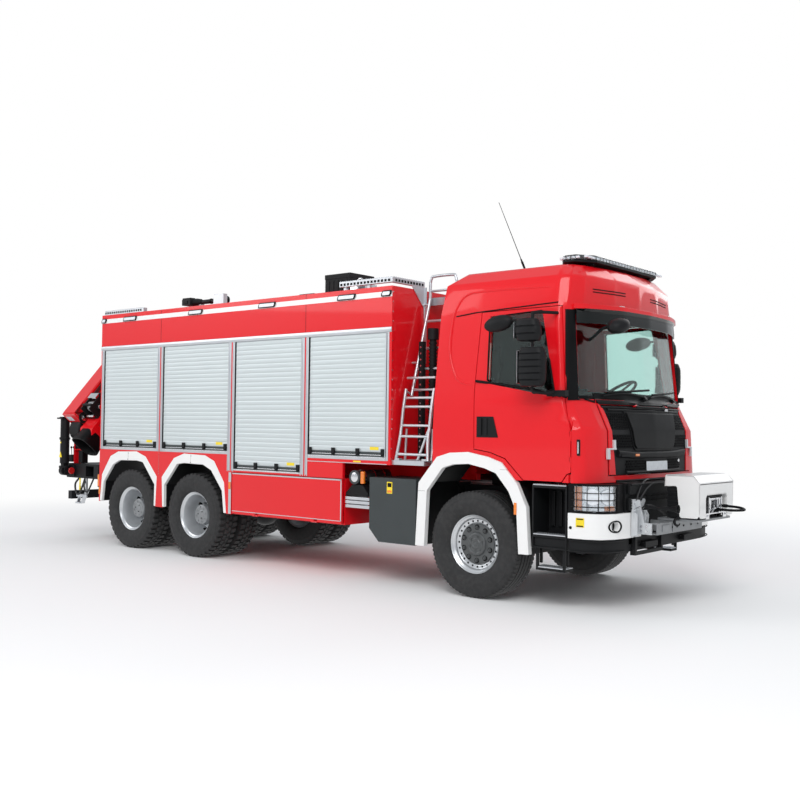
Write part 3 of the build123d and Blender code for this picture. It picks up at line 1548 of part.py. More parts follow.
def crane_base():
    low = housing_low + tunnel_wall
    top = housing_top - tunnel_wall
    lids = [
        block(housing_rear, housing_front, -housing_half, housing_half, housing_low, low - seat_gap),
        block(housing_rear, housing_front, -housing_half, housing_half, top + seat_gap, housing_top),
    ]
    deep = housing_front - housing_rear
    edges = [housing_rear]
    for share in (beam_rear_x_share, beam_front_x_share):
        x = housing_front - deep * share
        edges += [x - beam_wide / 2 - beam_gap, x + beam_wide / 2 + beam_gap]
    edges.append(housing_front)
    walls = [block(a, b, -housing_half, housing_half, low, top) for a, b in zip(edges[::2], edges[1::2])]
    upright = (Align.CENTER, Align.CENTER, Align.MIN)
    column = Pos(crane_x, column_y, housing_top + seat_gap) * Cylinder(
        mast_column_radius, column_top - housing_top, align=upright)
    foot = Pos(crane_x, column_y, housing_top + seat_gap) * Cone(
        mast_column_radius * 1.5, mast_column_radius, mast_column_radius, align=upright)
    lug = prism_x(
        [
            (column_y - mast_column_radius * 0.8, column_top + seat_gap * 2),
            (column_y + mast_column_radius * 0.8, column_top + seat_gap * 2),
            (column_y + pin_radius * 2, pivot_z), (column_y + pin_radius, pivot_z + pin_radius * 1.6),
            (column_y - pin_radius, pivot_z + pin_radius * 1.6), (column_y - pin_radius * 2, pivot_z),
        ],
        crane_x - lug_wide / 2, crane_x + lug_wide / 2,
    )
    pins = []
    for side in (-1, 1):
        near = crane_x + side * (lug_wide / 2 + seat_gap)
        far = near + side * ear_thick * 0.8
        pins.append(rod((near, column_y, pivot_z), (far, column_y, pivot_z), pin_radius))
    y, z = cylinder_foot_y, cylinder_foot_z
    wall_y = column_y - mast_column_radius - seat_gap
    ears = clevis(
        y, z,
        [
            (wall_y, z - eye_radius * 2.5), (wall_y, z + eye_radius * 0.9), (y, z + eye_radius * 0.8),
            (y - eye_radius * 0.8, z), (y, z - eye_radius * 0.9),
        ],
        True,
    )
    node("crane_base", lids, walls, column + foot, lug, pins, ears)


def crane_booms():
    half = boom_deep / 2
    x0 = crane_x - boom_wide / 2
    x1 = crane_x + boom_wide / 2
    top = inner_offset + half
    low = inner_offset - half
    nose = elbow_along + pin_radius * 2.2
    inner = boom_prism(
        [
            (-pin_radius * 2.2, low * 0.7), (-pin_radius * 2.2, top * 0.4), (half, top),
            (elbow_along - half, top), (elbow_along + pin_radius, top * 0.3), (nose, elbow_across * 0.7),
            (nose, elbow_across * 1.4), (elbow_along - pin_radius * 2.2, elbow_across * 1.4),
            (elbow_along - half * 1.5, low), (half * 2, low),
        ],
        x0, x1,
    )
    y, z = crane_spot(0)
    slot = boom_prism(
        [(-half, -boom_deep), (-half, boom_deep), (half * 2.1, boom_deep), (half * 2.1, -boom_deep)],
        crane_x - lug_wide / 2 - beam_gap, crane_x + lug_wide / 2 + beam_gap,
    )
    inner = inner - slot
    inner = inner - rod((x0 - overrun, y, z), (x1 + overrun, y, z), pin_radius + spindle_gap)
    ey, ez = crane_spot(elbow_along, elbow_across)
    inner = inner + rod((x1 - ear_thick, ey, ez), (x1 + outer_gap + outer_wide * 0.96, ey, ez), pin_radius)
    ring = rod((x1 - ear_thick, ey, ez), (x1 + outer_gap - seat_gap, ey, ez), pin_radius * 1.7)
    inner = inner + ring
    cy, cz = crane_spot(cylinder_eye_along, cylinder_eye_across)
    ears = clevis(
        cy, cz,
        [crane_spot(*p) for p in (
            (cylinder_eye_along - eye_radius * 2.2, low - seat_gap), (cylinder_eye_along + eye_radius * 2.2, low - seat_gap),
            (cylinder_eye_along + eye_radius * 0.8, cylinder_eye_across - eye_radius * 0.6),
            (cylinder_eye_along - eye_radius * 0.8, cylinder_eye_across - eye_radius * 0.6),
        )],
        False,
    )
    node("boom_inner", inner, ears)

    o0 = x1 + outer_gap
    o1 = o0 + outer_wide
    tail_end = elbow_along + tail_reach
    tip = elbow_along - outer_reach
    mid = elbow_across
    outer = boom_prism(
        [
            (tail_end, mid - half * 0.6), (tail_end, mid + half * 0.6), (tail_end - tail_reach * 0.3, mid + half),
            (tip, mid + half), (tip, mid - half), (tail_end - tail_reach * 0.3, mid - half),
        ],
        o0, o1,
    )
    thin = skin_thick
    cavity = boom_prism(
        [
            (tail_end + overrun, mid - half + thin * 2.5), (tail_end + overrun, mid + half - thin * 2.5),
            (elbow_along + pin_radius * 1.8, mid + half - thin * 2.5), (elbow_along + pin_radius * 1.8, mid - half + thin * 2.5),
        ],
        o0 + thin * 1.5, o1 - thin * 1.5,
    )
    bore_half = half - thin
    stop = elbow_along - pin_radius * 3
    bore = boom_prism(
        [
            (stop, mid - bore_half), (stop, mid + bore_half), (tip - overrun, mid + bore_half),
            (tip - overrun, mid - bore_half),
        ],
        o0 + thin, o1 - thin,
    )
    outer = outer - cavity - bore
    outer = outer - rod((o0 - overrun, ey, ez), (o1 + overrun, ey, ez), pin_radius + spindle_gap)
    node("boom_outer", outer)

    slim = bore_half - extension_gap
    end = tip - extension_out
    ext = boom_prism(
        [
            (tip + outer_reach * 0.6, mid - slim), (tip + outer_reach * 0.6, mid + slim), (end, mid + slim),
            (end, mid - slim),
        ],
        o0 + thin + extension_gap, o1 - thin - extension_gap,
    )
    cap = boom_prism(
        [
            (tip - seat_gap, mid - half * 0.9), (tip - seat_gap, mid + half * 0.9),
            (tip - ear_thick, mid + half * 0.9), (tip - ear_thick, mid - half * 0.9),
        ],
        o0 + thin / 2, o1 - thin / 2,
    )
    eye = boom_prism(
        [
            (end + thin, mid - pin_radius * 2), (end + thin, mid + pin_radius * 2),
            (end - pin_radius * 3, mid + pin_radius), (end - pin_radius * 3, mid - pin_radius),
        ],
        (o0 + o1) / 2 - ear_thick / 2, (o0 + o1) / 2 + ear_thick / 2,
    )
    hy, hz = crane_spot(end - pin_radius * 1.5, mid)
    eye = eye - rod((o0, hy, hz), (o1, hy, hz), pin_radius * 0.6)
    node("boom_extension", ext + cap + eye)


def lift_cylinder():
    foot = Vector(crane_x, cylinder_foot_y, cylinder_foot_z)
    cy, cz = crane_spot(cylinder_eye_along, cylinder_eye_across)
    head = Vector(crane_x, cy, cz)
    along = (head - foot).normalized()
    length = (head - foot).length
    half = eye_wide / 2
    x = Vector(1, 0, 0)
    start = foot + along * eye_radius * 0.6
    end = foot + along * length * barrel_share
    barrel = rod(tuple(start + along * eye_radius * 0.6), tuple(end), barrel_radius)
    neck = rod(tuple(foot), tuple(start + along * eye_radius), eye_wide / 2)
    eye = rod(tuple(foot - x * half), tuple(foot + x * half), eye_radius)
    bore = rod(tuple(foot - x * barrel_radius * 2), tuple(foot + x * barrel_radius * 2), pin_radius * 0.6 + spindle_gap)
    inside = rod(tuple(start + along * eye_radius * 2), tuple(end + along * overrun), piston_radius + beam_gap)
    collar_gap = seat_gap
    mouth = end - along * skin_thick
    barrel_body = barrel + neck + eye - bore - inside
    collar = rod(tuple(mouth), tuple(end), barrel_radius) - rod(
        tuple(mouth - along * overrun), tuple(end + along * overrun), piston_radius + collar_gap)
    node("lift_barrel", barrel_body + collar)
    rod_start = start + along * (eye_radius * 2 + beam_gap * 2)
    piston = rod(tuple(rod_start), tuple(head), piston_radius)
    rod_eye = rod(tuple(head - x * half), tuple(head + x * half), eye_radius)
    node("lift_rod", piston + rod_eye)


# Outriggers: a beam each side in its tunnel, and a leg that swings from upright store to the ground
leg_radius = 66
hub_radius = 71
hub_long = 150
leg_up = 760
foot_half_x = 68
foot_half_y = 95
foot_thick = 22
leg_shift = 40
leg_pivot_z = 985
beam_cap = 24
beam_inner_share = 0.72


def outrigger_x(side):
    share = beam_rear_x_share if side < 0 else beam_front_x_share
    return housing_front - (housing_front - housing_rear) * share


def leg_pivot_y():
    return housing_half + seat_gap + beam_cap + seat_gap + hub_radius


def outriggers():
    low = housing_low + tunnel_wall + beam_gap
    top = housing_top - tunnel_wall - beam_gap
    for name, side in (("right", -1), ("left", 1)):
        x = outrigger_x(side)
        end = housing_half + seat_gap
        beam = block(x - beam_wide / 2, x + beam_wide / 2, -end * beam_inner_share, end, low, top)
        cap_half = beam_wide / 2 + beam_gap * 2
        cap_low = low - beam_gap * 2
        beam = beam + block(x - cap_half, x + cap_half, end, end + beam_cap, cap_low, top + beam_gap * 2)
        pivot = leg_pivot_y()
        x = x + leg_shift * side
        for turn in (-1, 1):
            near = x + turn * (hub_long / 2 - ear_thick * 0.6)
            ear = block(
                near, near + turn * ear_thick * 0.5, end + beam_cap - seat_gap, pivot + hub_radius * 0.5,
                leg_pivot_z - hub_radius * 0.7, leg_pivot_z + hub_radius * 0.7,
            )
            beam = beam + ear
        pin_reach = hub_long / 2
        beam = beam + rod(
            (x - pin_reach, pivot, leg_pivot_z), (x + pin_reach, pivot, leg_pivot_z), pin_radius * 0.5)
        hub_half = hub_long / 2 - ear_thick * 0.6 - seat_gap
        hub = rod((x - hub_half, pivot, leg_pivot_z), (x + hub_half, pivot, leg_pivot_z), hub_radius)
        hub = hub - rod(
            (x - hub_long, pivot, leg_pivot_z), (x + hub_long, pivot, leg_pivot_z), pin_radius * 0.5 + spindle_gap)
        neck_z = leg_pivot_z + hub_radius * 0.6
        neck = block(
            x - hub_half, x + hub_half, pivot - hub_half, pivot + hub_half, neck_z, leg_pivot_z + hub_radius * 1.8)
        tube = rod((x, pivot, leg_pivot_z + hub_radius * 1.5), (x, pivot, leg_pivot_z + leg_up), leg_radius)
        plate = block(
            x - foot_half_x, x + foot_half_x, pivot - foot_half_y, pivot + foot_half_y, leg_pivot_z + leg_up,
            leg_pivot_z + leg_up + foot_thick,
        )
        leg = hub + neck + tube + plate
        if side < 0:
            beam = mirrored(beam)
            leg = mirrored(leg)
        node("outrigger_beam_" + name, beam)
        node("outrigger_leg_" + name, leg)


# Rear: lamp bar under the housing, tow jaw, mudflaps, and the crane's lever bank at the right
lamp_bar_low = 560
lamp_bar_tall = 120
lamp_bar_deep = 90
lamp_bar_half = 1060
lamp_box_wide = 400
hang_thick = 16
jaw_radius = 26
jaw_half = 90
jaw_z = 800


def rear_gear():
    x0 = housing_rear + overrun
    x1 = x0 + lamp_bar_deep
    bars = []
    for side in (-1, 1):
        y = side * rail_half
        bar = block(
            x0, x1, side * jaw_half * 1.5, side * lamp_bar_half, lamp_bar_low, lamp_bar_low + lamp_bar_tall)
        bars.append(bar + block(x0, x1, y - hang_thick, y + hang_thick, lamp_bar_low, housing_low - seat_gap))
    jaw_low = jaw_z - jaw_radius * 2
    jaw = block(x0, x1 + lamp_bar_deep, -jaw_half, jaw_half, jaw_low - jaw_radius, housing_low - seat_gap)
    slot = block(
        x0 - overrun, x1 + lamp_bar_deep / 2, -jaw_half - overrun, jaw_half + overrun, jaw_low + jaw_radius * 0.5,
        jaw_z + jaw_radius * 0.6,
    )
    hole = rod((x0 + jaw_radius * 1.6, 0, jaw_low - jaw_radius * 2), (x0 + jaw_radius * 1.6, 0, jaw_z + jaw_radius * 2), jaw_radius)
    node("rear_bar", bars, jaw - slot - hole)


# Everything is made, then moved so that the origin lies under the middle of the overall length
def build():
    wheels()
    chassis_frame()
    engine()
    front_axle()
    knuckles()
    rear_axles()
    arches()
    mudguards()
    cab()
    interior()
    cab_steps()
    front_end()
    front_gear()
    mirrors()
    cab_roof()
    side_boxes()
    body_shell()
    body_trim()
    shutters()
    fit_flap_lugs(flaps())
    roof_gear()
    ladder()
    crane_base()
    crane_booms()
    lift_cylinder()
    outriggers()
    rear_gear()


build()
boxes = [solid.bounding_box() for solids in nodes.values() for solid in solids]
low_x = min(box.min.X for box in boxes)
high_x = max(box.max.X for box in boxes)
shift = -(low_x + high_x) / 2
os.makedirs("parts", exist_ok=True)
for name, solids in nodes.items():
    moved = [Pos(shift, 0, 0) * solid for solid in solids]
    shape = moved[0] if len(moved) == 1 else Compound(moved)
    export_step(shape, "parts/" + name + ".step")
print("nodes", len(nodes), "shift", round(shift, 3), "length", round(high_x - low_x, 1))
print("width", round(max(box.max.Y for box in boxes) - min(box.min.Y for box in boxes), 1))
print("height", round(max(box.max.Z for box in boxes), 1), "low", round(min(box.min.Z for box in boxes), 2))
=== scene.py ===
import bpy
import bmesh
import math
from mathutils import Matrix, Vector
from mathutils.bvhtree import BVHTree


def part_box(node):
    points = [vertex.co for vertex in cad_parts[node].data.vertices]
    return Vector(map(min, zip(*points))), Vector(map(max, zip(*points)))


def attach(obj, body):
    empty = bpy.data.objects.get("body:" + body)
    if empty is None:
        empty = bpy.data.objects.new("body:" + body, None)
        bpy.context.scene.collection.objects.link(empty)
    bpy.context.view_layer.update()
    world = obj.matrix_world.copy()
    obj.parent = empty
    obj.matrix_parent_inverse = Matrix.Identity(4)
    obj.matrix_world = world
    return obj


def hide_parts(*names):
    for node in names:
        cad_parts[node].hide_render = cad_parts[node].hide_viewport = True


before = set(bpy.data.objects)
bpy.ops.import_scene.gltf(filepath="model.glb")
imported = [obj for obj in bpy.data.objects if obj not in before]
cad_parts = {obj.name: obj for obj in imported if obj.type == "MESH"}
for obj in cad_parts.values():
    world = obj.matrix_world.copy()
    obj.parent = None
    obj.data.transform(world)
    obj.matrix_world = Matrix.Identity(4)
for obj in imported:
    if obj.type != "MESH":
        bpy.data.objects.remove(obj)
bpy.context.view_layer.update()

# The source's stations are measured from the front axle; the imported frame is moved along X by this
rim_low, rim_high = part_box("front_rim_right")
SHIFT = (rim_low[0] + rim_high[0]) / 2
SHIFT_ALONG = Vector((SHIFT, 0, 0))
SIDES = (("right", -1), ("left", 1))

# The camera, fitted to the photograph: focal length in its pixels, turns in radians, place in metres
FRAME_PX, FOCAL_PX, SENSOR = 800, 1001.48534, 36
CAM_YAW, CAM_PITCH, CAM_ROLL = 0.697157728, 0.0248851826, 0.0124076067
CAM_PLACE = (5.87312702, -9.39348989, 1.71961126)


# Camera, light, floor
def look():
    cam_data = bpy.data.cameras.new("camera")
    cam_data.sensor_width = SENSOR
    cam_data.lens = FOCAL_PX * SENSOR / FRAME_PX
    cam_data.clip_end = 200
    cam = bpy.data.objects.new("camera", cam_data)
    ahead = Vector((
        -math.sin(CAM_YAW) * math.cos(CAM_PITCH), math.cos(CAM_YAW) * math.cos(CAM_PITCH),
        math.sin(CAM_PITCH),
    ))
    right = Vector((math.cos(CAM_YAW), math.sin(CAM_YAW), 0))
    up = right.cross(ahead)
    rolled_right = math.cos(CAM_ROLL) * right + math.sin(CAM_ROLL) * up
    rolled_up = -math.sin(CAM_ROLL) * right + math.cos(CAM_ROLL) * up
    turn = Matrix((rolled_right, rolled_up, -ahead)).transposed().to_4x4()
    turn.translation = Vector(CAM_PLACE) + SHIFT_ALONG
    cam.matrix_world = turn
    bpy.context.scene.collection.objects.link(cam)
    bpy.context.scene.camera = cam


def node(tree, kind, links=None, values=None, **settings):
    """A node with its settings, its inputs' values and the sockets that feed it."""
    made = tree.nodes.new(kind)
    for key, value in settings.items():
        setattr(made, key, value)
    for key, value in (values or {}).items():
        made.inputs[key].default_value = value
    for key, socket in (links or {}).items():
        tree.links.new(socket, made.inputs[key])
    return made


def shader(name):
    m = bpy.data.materials.new(name)
    m.use_nodes = True
    m.node_tree.nodes.clear()
    return m, m.node_tree


def largest(tree, sockets):
    """The largest of the sockets' values."""
    last = sockets[0]
    for socket in sockets[1:]:
        last = node(tree, "ShaderNodeMath", {0: last, 1: socket}, operation="MAXIMUM").outputs[0]
    return last


def whiten(tree, kind, share, plain, white):
    """Ends a tree in a mix of two shaders; at share 1 the white one shows."""
    mix = node(tree, "ShaderNodeMixShader", {0: share, 1: plain.outputs[0], 2: white.outputs[0]})
    node(tree, kind, {"Surface": mix.outputs[0]})


def world_light():
    world = bpy.data.worlds.new("world")
    bpy.context.scene.world = world
    world.use_nodes = True
    tree = world.node_tree
    tree.nodes.clear()
    lit = node(tree, "ShaderNodeBackground", values={"Color": (0.93, 0.96, 1.0, 1), "Strength": 0.62})
    white = node(tree, "ShaderNodeBackground", values={"Color": (1, 1, 1, 1), "Strength": 1.0})
    rays = node(tree, "ShaderNodeLightPath").outputs
    seen = largest(tree, [rays["Is Camera Ray"], rays["Is Transmission Ray"]])
    whiten(tree, "ShaderNodeOutputWorld", seen, lit, white)


def pale_floor():
    """A pale floor that turns to the backdrop's plain white far off, and in every mirror or pane."""
    mesh = bpy.data.meshes.new("floor")
    r = 60
    mesh.from_pydata([(-r, -r, 0), (r, -r, 0), (r, r, 0), (-r, r, 0)], [], [(0, 1, 2, 3)])
    floor = bpy.data.objects.new("floor", mesh)
    bpy.context.scene.collection.objects.link(floor)
    m, tree = shader("floor_pale")
    noise = node(tree, "ShaderNodeTexNoise", values={"Scale": 0.6})
    ramp = node(tree, "ShaderNodeValToRGB", {"Fac": noise.outputs["Fac"]})
    for element, level in zip(ramp.color_ramp.elements, (0.90, 0.94)):
        element.color = (level, level, level, 1)
    pale = node(tree, "ShaderNodeBsdfPrincipled", {"Base Color": ramp.outputs["Color"]}, {"Roughness": 0.9})
    white = node(tree, "ShaderNodeEmission", values={"Strength": 1.0})
    rays = node(tree, "ShaderNodeLightPath").outputs
    place = node(tree, "ShaderNodeTexCoord").outputs["Object"]
    far = node(tree, "ShaderNodeVectorMath", {0: place}, operation="LENGTH")
    fade = node(tree, "ShaderNodeMapRange", {"Value": far.outputs["Value"]},
                {"From Min": 5.5, "From Max": 13.5},
                interpolation_type="SMOOTHERSTEP")
    seen = node(tree, "ShaderNodeMath", {0: rays["Is Camera Ray"], 1: fade.outputs["Result"]},
                operation="MULTIPLY")
    share = largest(tree, [seen.outputs[0], rays["Is Glossy Ray"], rays["Is Transmission Ray"]])
    whiten(tree, "ShaderNodeOutputMaterial", share, pale, white)
    mesh.materials.append(m)


def surroundings():
    world_light()
    pale_floor()
    for name, place, aim, size, power in (
        ("key", (9, -13, 12), (0, 0, 1.5), 9, 1500),
        ("fill", (-12, -11, 9), (-2, 0, 1.5), 9, 700),
        ("back", (4, 14, 10), (0, 0, 1.5), 9, 600),
    ):
        data = bpy.data.lights.new(name, "AREA")
        data.size = size
        data.energy = power
        lamp = bpy.data.objects.new(name, data)
        lamp.location = place
        lamp.rotation_euler = (Vector(aim) - Vector(place)).to_track_quat("-Z", "Y").to_euler()
        bpy.context.scene.collection.objects.link(lamp)
    bpy.context.scene.view_settings.view_transform = "Standard"


# Materials
M = {}
SLOT = {}


def finish(key, slot, name, color, rough, metal=0.0, coat=0.0, vary=0.05, scale=2.5, bump=0.0, grain=120.0,
           rough_vary=0.06, clear=0.0, alpha=1.0, shine=0.5, dust=None, dust_amount=0.0):
    """A procedural finish: the colour and the roughness drift a little over the surface."""
    m, tree = shader(name)
    place = node(tree, "ShaderNodeTexCoord").outputs["Object"]

    def noise(size, detail):
        return node(tree, "ShaderNodeTexNoise", {"Vector": place},
                    {"Scale": size, "Detail": detail}).outputs["Fac"]

    ramp = node(tree, "ShaderNodeValToRGB", {"Fac": noise(scale, 1.5)})
    ramp.color_ramp.interpolation = "EASE"
    low, high = ramp.color_ramp.elements
    low.position, high.position = 0.1, 0.9
    low.color = (*[max(c * (1 - vary), 0) for c in color], 1)
    high.color = (*[min(c * (1 + vary), 1) for c in color], 1)
    colour = ramp.outputs["Color"]
    if dust is not None:
        speck = node(tree, "ShaderNodeMapRange", {"Value": noise(scale * 5, 6)},
                     {"From Min": 0.42, "From Max": 0.75, "To Max": dust_amount})
        mix = node(tree, "ShaderNodeMix", {"Factor": speck.outputs["Result"], "A": colour}, {"B": (*dust, 1)},
                   data_type="RGBA")
        colour = mix.outputs["Result"]
    wear = node(tree, "ShaderNodeMapRange", {"Value": noise(scale * 3, 1)},
                {"To Min": max(rough - rough_vary / 2, 0.01), "To Max": min(rough + rough_vary / 2, 1)})
    values = {"Metallic": metal, "Specular IOR Level": shine}
    if coat:
        values.update({"Coat Weight": coat, "Coat Roughness": 0.04})
    if clear:
        values.update({"Transmission Weight": clear, "IOR": 1.45})
    if alpha < 1:
        values["Alpha"] = alpha
    base = node(tree, "ShaderNodeBsdfPrincipled", {"Base Color": colour, "Roughness": wear.outputs["Result"]},
                values)
    if bump:
        lift = node(tree, "ShaderNodeBump", {"Height": noise(grain, 3)},
                    {"Strength": bump, "Distance": 0.002})
        tree.links.new(lift.outputs["Normal"], base.inputs["Normal"])
    node(tree, "ShaderNodeOutputMaterial", {"Surface": base.outputs[0]})
    M[key], SLOT[key] = m, slot


finish("red", "red_paint", "red_gloss", (0.72, 0.004, 0.010), 0.32, coat=0.45, vary=0.03, scale=0.6,
       shine=0.22)
finish("white", "white_paint", "white_gloss", (0.82, 0.82, 0.81), 0.34, coat=0.35, vary=0.012, scale=0.9,
       shine=0.4)
finish("silver", "silver_alloy", "silver_satin", (0.58, 0.60, 0.63), 0.36, metal=0.8, vary=0.05, scale=6,
       bump=0.05, grain=300)
finish("slat", "silver_alloy", "slat_silver", (0.56, 0.61, 0.62), 0.46, metal=0.25, vary=0.02, scale=1.2)
finish("bright", "rim_steel", "bright_metal", (0.72, 0.73, 0.75), 0.18, metal=1.0, vary=0.04, scale=8)
finish("black", "dark_plastic", "black_plastic", (0.0085, 0.0090, 0.0100), 0.52, vary=0.15, scale=5,
       bump=0.12, grain=500, shine=0.18)
finish("satin", "dark_plastic", "black_satin", (0.0045, 0.0048, 0.0054), 0.40, vary=0.15, scale=4, shine=0.12)
finish("grey", "dark_plastic", "grey_plastic", (0.038, 0.046, 0.048), 0.52, vary=0.08, scale=3, bump=0.10,
       grain=400, shine=0.4)
finish("dark", "frame_steel", "dark_steel", (0.011, 0.0115, 0.013), 0.50, metal=0.1, vary=0.2, scale=6,
       bump=0.15, grain=150, shine=0.2)
finish("rubber", "tyre_rubber", "tyre_rubber", (0.021, 0.021, 0.022), 0.74, vary=0.12, scale=4, bump=0.2,
       grain=220, shine=0.4, dust=(0.06, 0.058, 0.056), dust_amount=0.30)
# Near-black rubber for real seals, gaskets and seams; the same finish also fills grooves, recesses, holes and
# slots as painted shade.
finish("seal_and_shade", "dark_plastic", "seal_rubber_and_shade", (0.005, 0.005, 0.0055), 0.6, vary=0.15, scale=8, bump=0.05,
       grain=300, shine=0.15)
finish("rim", "rim_steel", "rim_silver", (0.58, 0.60, 0.62), 0.30, metal=0.65, coat=0.2, vary=0.05, scale=7)
finish("hub", "rim_steel", "hub_grey", (0.085, 0.09, 0.092), 0.42, metal=0.3, vary=0.15, scale=9, bump=0.1,
       grain=200)
finish("hub_light", "rim_steel", "hub_light_grey", (0.26, 0.27, 0.28), 0.42, metal=0.4, vary=0.12, scale=9,
       bump=0.1, grain=200)
finish("glass", "clear_glass", "tinted_glass", (0.66, 0.86, 0.82), 0.03, clear=1.0, vary=0.02,
       rough_vary=0.01)
finish("lens", "lamp_glass", "clear_lens", (0.88, 0.92, 0.95), 0.05, clear=0.92, vary=0.03, scale=6,
       rough_vary=0.02)
finish("visor", "dark_plastic", "smoked_visor", (0.004, 0.006, 0.006), 0.12, coat=0.1, vary=0.1, alpha=0.96,
       shine=0.3)
finish("amber", "lamp_glass", "amber_lens", (0.80, 0.20, 0.012), 0.16, coat=0.6, vary=0.08, scale=10)
finish("ruby", "lamp_glass", "red_lens", (0.55, 0.012, 0.012), 0.16, coat=0.6, vary=0.08, scale=10)
finish("yellow", "dark_plastic", "yellow_patch", (0.86, 0.66, 0.02), 0.45, vary=0.05, scale=6)
finish("led", "lamp_glass", "lamp_diffuser", (0.72, 0.76, 0.80), 0.22, coat=0.5, vary=0.08, scale=25)
finish("cloth", "seat_cloth", "seat_cloth", (0.030, 0.032, 0.038), 0.85, vary=0.2, scale=30, bump=0.5,
       grain=600)
finish("inner", "dark_plastic", "cabin_trim", (0.022, 0.023, 0.025), 0.7, vary=0.1, scale=5, bump=0.1,
       grain=300, shine=0.2)
finish("steel", "frame_steel", "bare_steel", (0.42, 0.43, 0.44), 0.38, metal=0.85, vary=0.12, scale=9,
       bump=0.1, grain=200)
finish("zinc", "frame_steel", "galvanised", (0.62, 0.64, 0.66), 0.42, metal=0.45, vary=0.08, scale=14,
       bump=0.05, grain=200)
finish("hose", "dark_plastic", "hose_rubber", (0.016, 0.016, 0.017), 0.5, vary=0.15, scale=12, bump=0.1,
       grain=300)


# Mesh building
def turns(n):
    """Angles that divide a full turn evenly."""
    return [2 * math.pi * k / n for k in range(n)]


def blunt(value, power):
    """A sine or cosine raised to a power below one, which squares a circle's corners."""
    return math.copysign(abs(value) ** power, value)


class Kit:
    """Forms collected in one mesh, in metres from the front axle."""

    def __init__(self):
        self.bm = bmesh.new()

    def faces(self, points, faces):
        vs = [self.bm.verts.new(p) for p in points]
        for f in faces:
            try:
                self.bm.faces.new([vs[i] for i in f])
            except ValueError:
                pass
        return vs

    def box(self, x0, x1, y0, y1, z0, z1):
        p = [(x, y, z) for x in (x0, x1) for y in (y0, y1) for z in (z0, z1)]
        self.faces(p, [(0, 1, 3, 2), (4, 6, 7, 5), (0, 4, 5, 1), (2, 3, 7, 6), (0, 2, 6, 4), (1, 5, 7, 3)])
        return self

    def both_boxes(self, x0, x1, y0, y1, z0, z1):
        self.box(x0, x1, y0, y1, z0, z1)
        self.box(x0, x1, -y1, -y0, z0, z1)
        return self

    def side_box(self, side, x0, x1, a, b, z0, z1):
        """A box between the distances a and b from the middle plane, on one side."""
        return self.box(x0, x1, *sorted((side * a, side * b)), z0, z1)

    def prism(self, pts, a, b, axis="y"):
        place = {
            "x": lambda p, w: (w, p[0], p[1]), "y": lambda p, w: (p[0], w, p[1]), "z": lambda p,
            w: (p[0], p[1], w),
        }[axis]
        n = len(pts)
        p = [place(q, a) for q in pts] + [place(q, b) for q in pts]
        faces = [tuple(range(n)), tuple(range(2 * n - 1, n - 1, -1))]
        faces += [(i, i + n, (i + 1) % n + n, (i + 1) % n) for i in range(n)]
        self.faces(p, faces)
        return self

    def grid(self, rows, round_u=False, round_v=False, caps=False):
        n = len(rows[0])
        flat = [p for row in rows for p in row]
        m = len(rows)
        faces = []
        for i in range(m if round_v else m - 1):
            for j in range(n if round_u else n - 1):
                a = i * n + j
                b = i * n + (j + 1) % n
                c = ((i + 1) % m) * n + (j + 1) % n
                d = ((i + 1) % m) * n + j
                faces.append((a, b, c, d))
        if caps:
            faces.append(tuple(range(n)))
            faces.append(tuple(range((m - 1) * n, m * n)))
        self.faces(flat, faces)
        return self

    def tube(self, pts, r, n=8, caps=True):
        """A round bar through the places; one that missed the skin, None, is passed over."""
        pts = [Vector(p) for p in pts if p is not None]
        radii = r if isinstance(r, (list, tuple)) else [r] * len(pts)
        rows = []
        side = None
        for i, p in enumerate(pts):
            ahead = pts[min(i + 1, len(pts) - 1)] - pts[max(i - 1, 0)]
            ahead.normalize()
            if side is None:
                side = ahead.orthogonal().normalized()
            side = (side - ahead * side.dot(ahead)).normalized()
            up = ahead.cross(side)
            rows.append([
                p + (side * math.cos(t) + up * math.sin(t)) * radii[i]
                for t in turns(n)
            ])
        self.grid(rows, round_u=True, caps=caps)
        return self

    def rod(self, p, q, r, n=12, r2=None):
        return self.tube([p, q], [r, r if r2 is None else r2], n)

    def lathe(self, profile, x, y, z, side=1, n=64, closed=True):
        """A profile of (radius, width) turned about the wheel's axis; width grows outward."""
        rows = [
            [(x + r * math.cos(t), y + side * w, z + r * math.sin(t))
             for t in turns(n)]
            for r, w in profile
        ]
        self.grid(rows, round_u=True, round_v=closed, caps=not closed)
        return self

    def make(self, name, body, mat, bevel=0.0, seg=2, angle=32, smooth=True, subdiv=0, hides=()):
        bm = self.bm
        bmesh.ops.remove_doubles(bm, verts=bm.verts, dist=1e-6)
        loose = [v for v in bm.verts if not v.link_faces]
        bmesh.ops.delete(bm, geom=loose, context="VERTS")
        bmesh.ops.recalc_face_normals(bm, faces=bm.faces)
        for f in bm.faces:
            f.smooth = smooth
        if smooth:
            limit = math.radians(angle)
            for e in bm.edges:
                if len(e.link_faces) == 2 and e.calc_face_angle(0) > limit:
                    e.smooth = bool(bevel)
        bmesh.ops.translate(bm, verts=bm.verts, vec=(SHIFT, 0, 0))
        mesh = bpy.data.meshes.new(name)
        bm.to_mesh(mesh)
        bm.free()
        obj = bpy.data.objects.new(name, mesh)
        bpy.context.scene.collection.objects.link(obj)
        mesh.materials.append(M[mat])
        if bevel:
            mod = obj.modifiers.new("edge", "BEVEL")
            mod.width = bevel
            mod.segments = seg
            mod.limit_method = "ANGLE"
            mod.angle_limit = math.radians(angle)
            mod.harden_normals = True
        if subdiv:
            mod = obj.modifiers.new("soft", "SUBSURF")
            mod.levels = subdiv
            mod.render_levels = subdiv
        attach(obj, body)
        if hides:
            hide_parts(*hides)
        return obj


def boxes(name, body, mat, places, **how):
    """A piece made of plain boxes."""
    kit = Kit()
    for place in places:
        kit.box(*place)
    return kit.make(name, body, mat, **how)


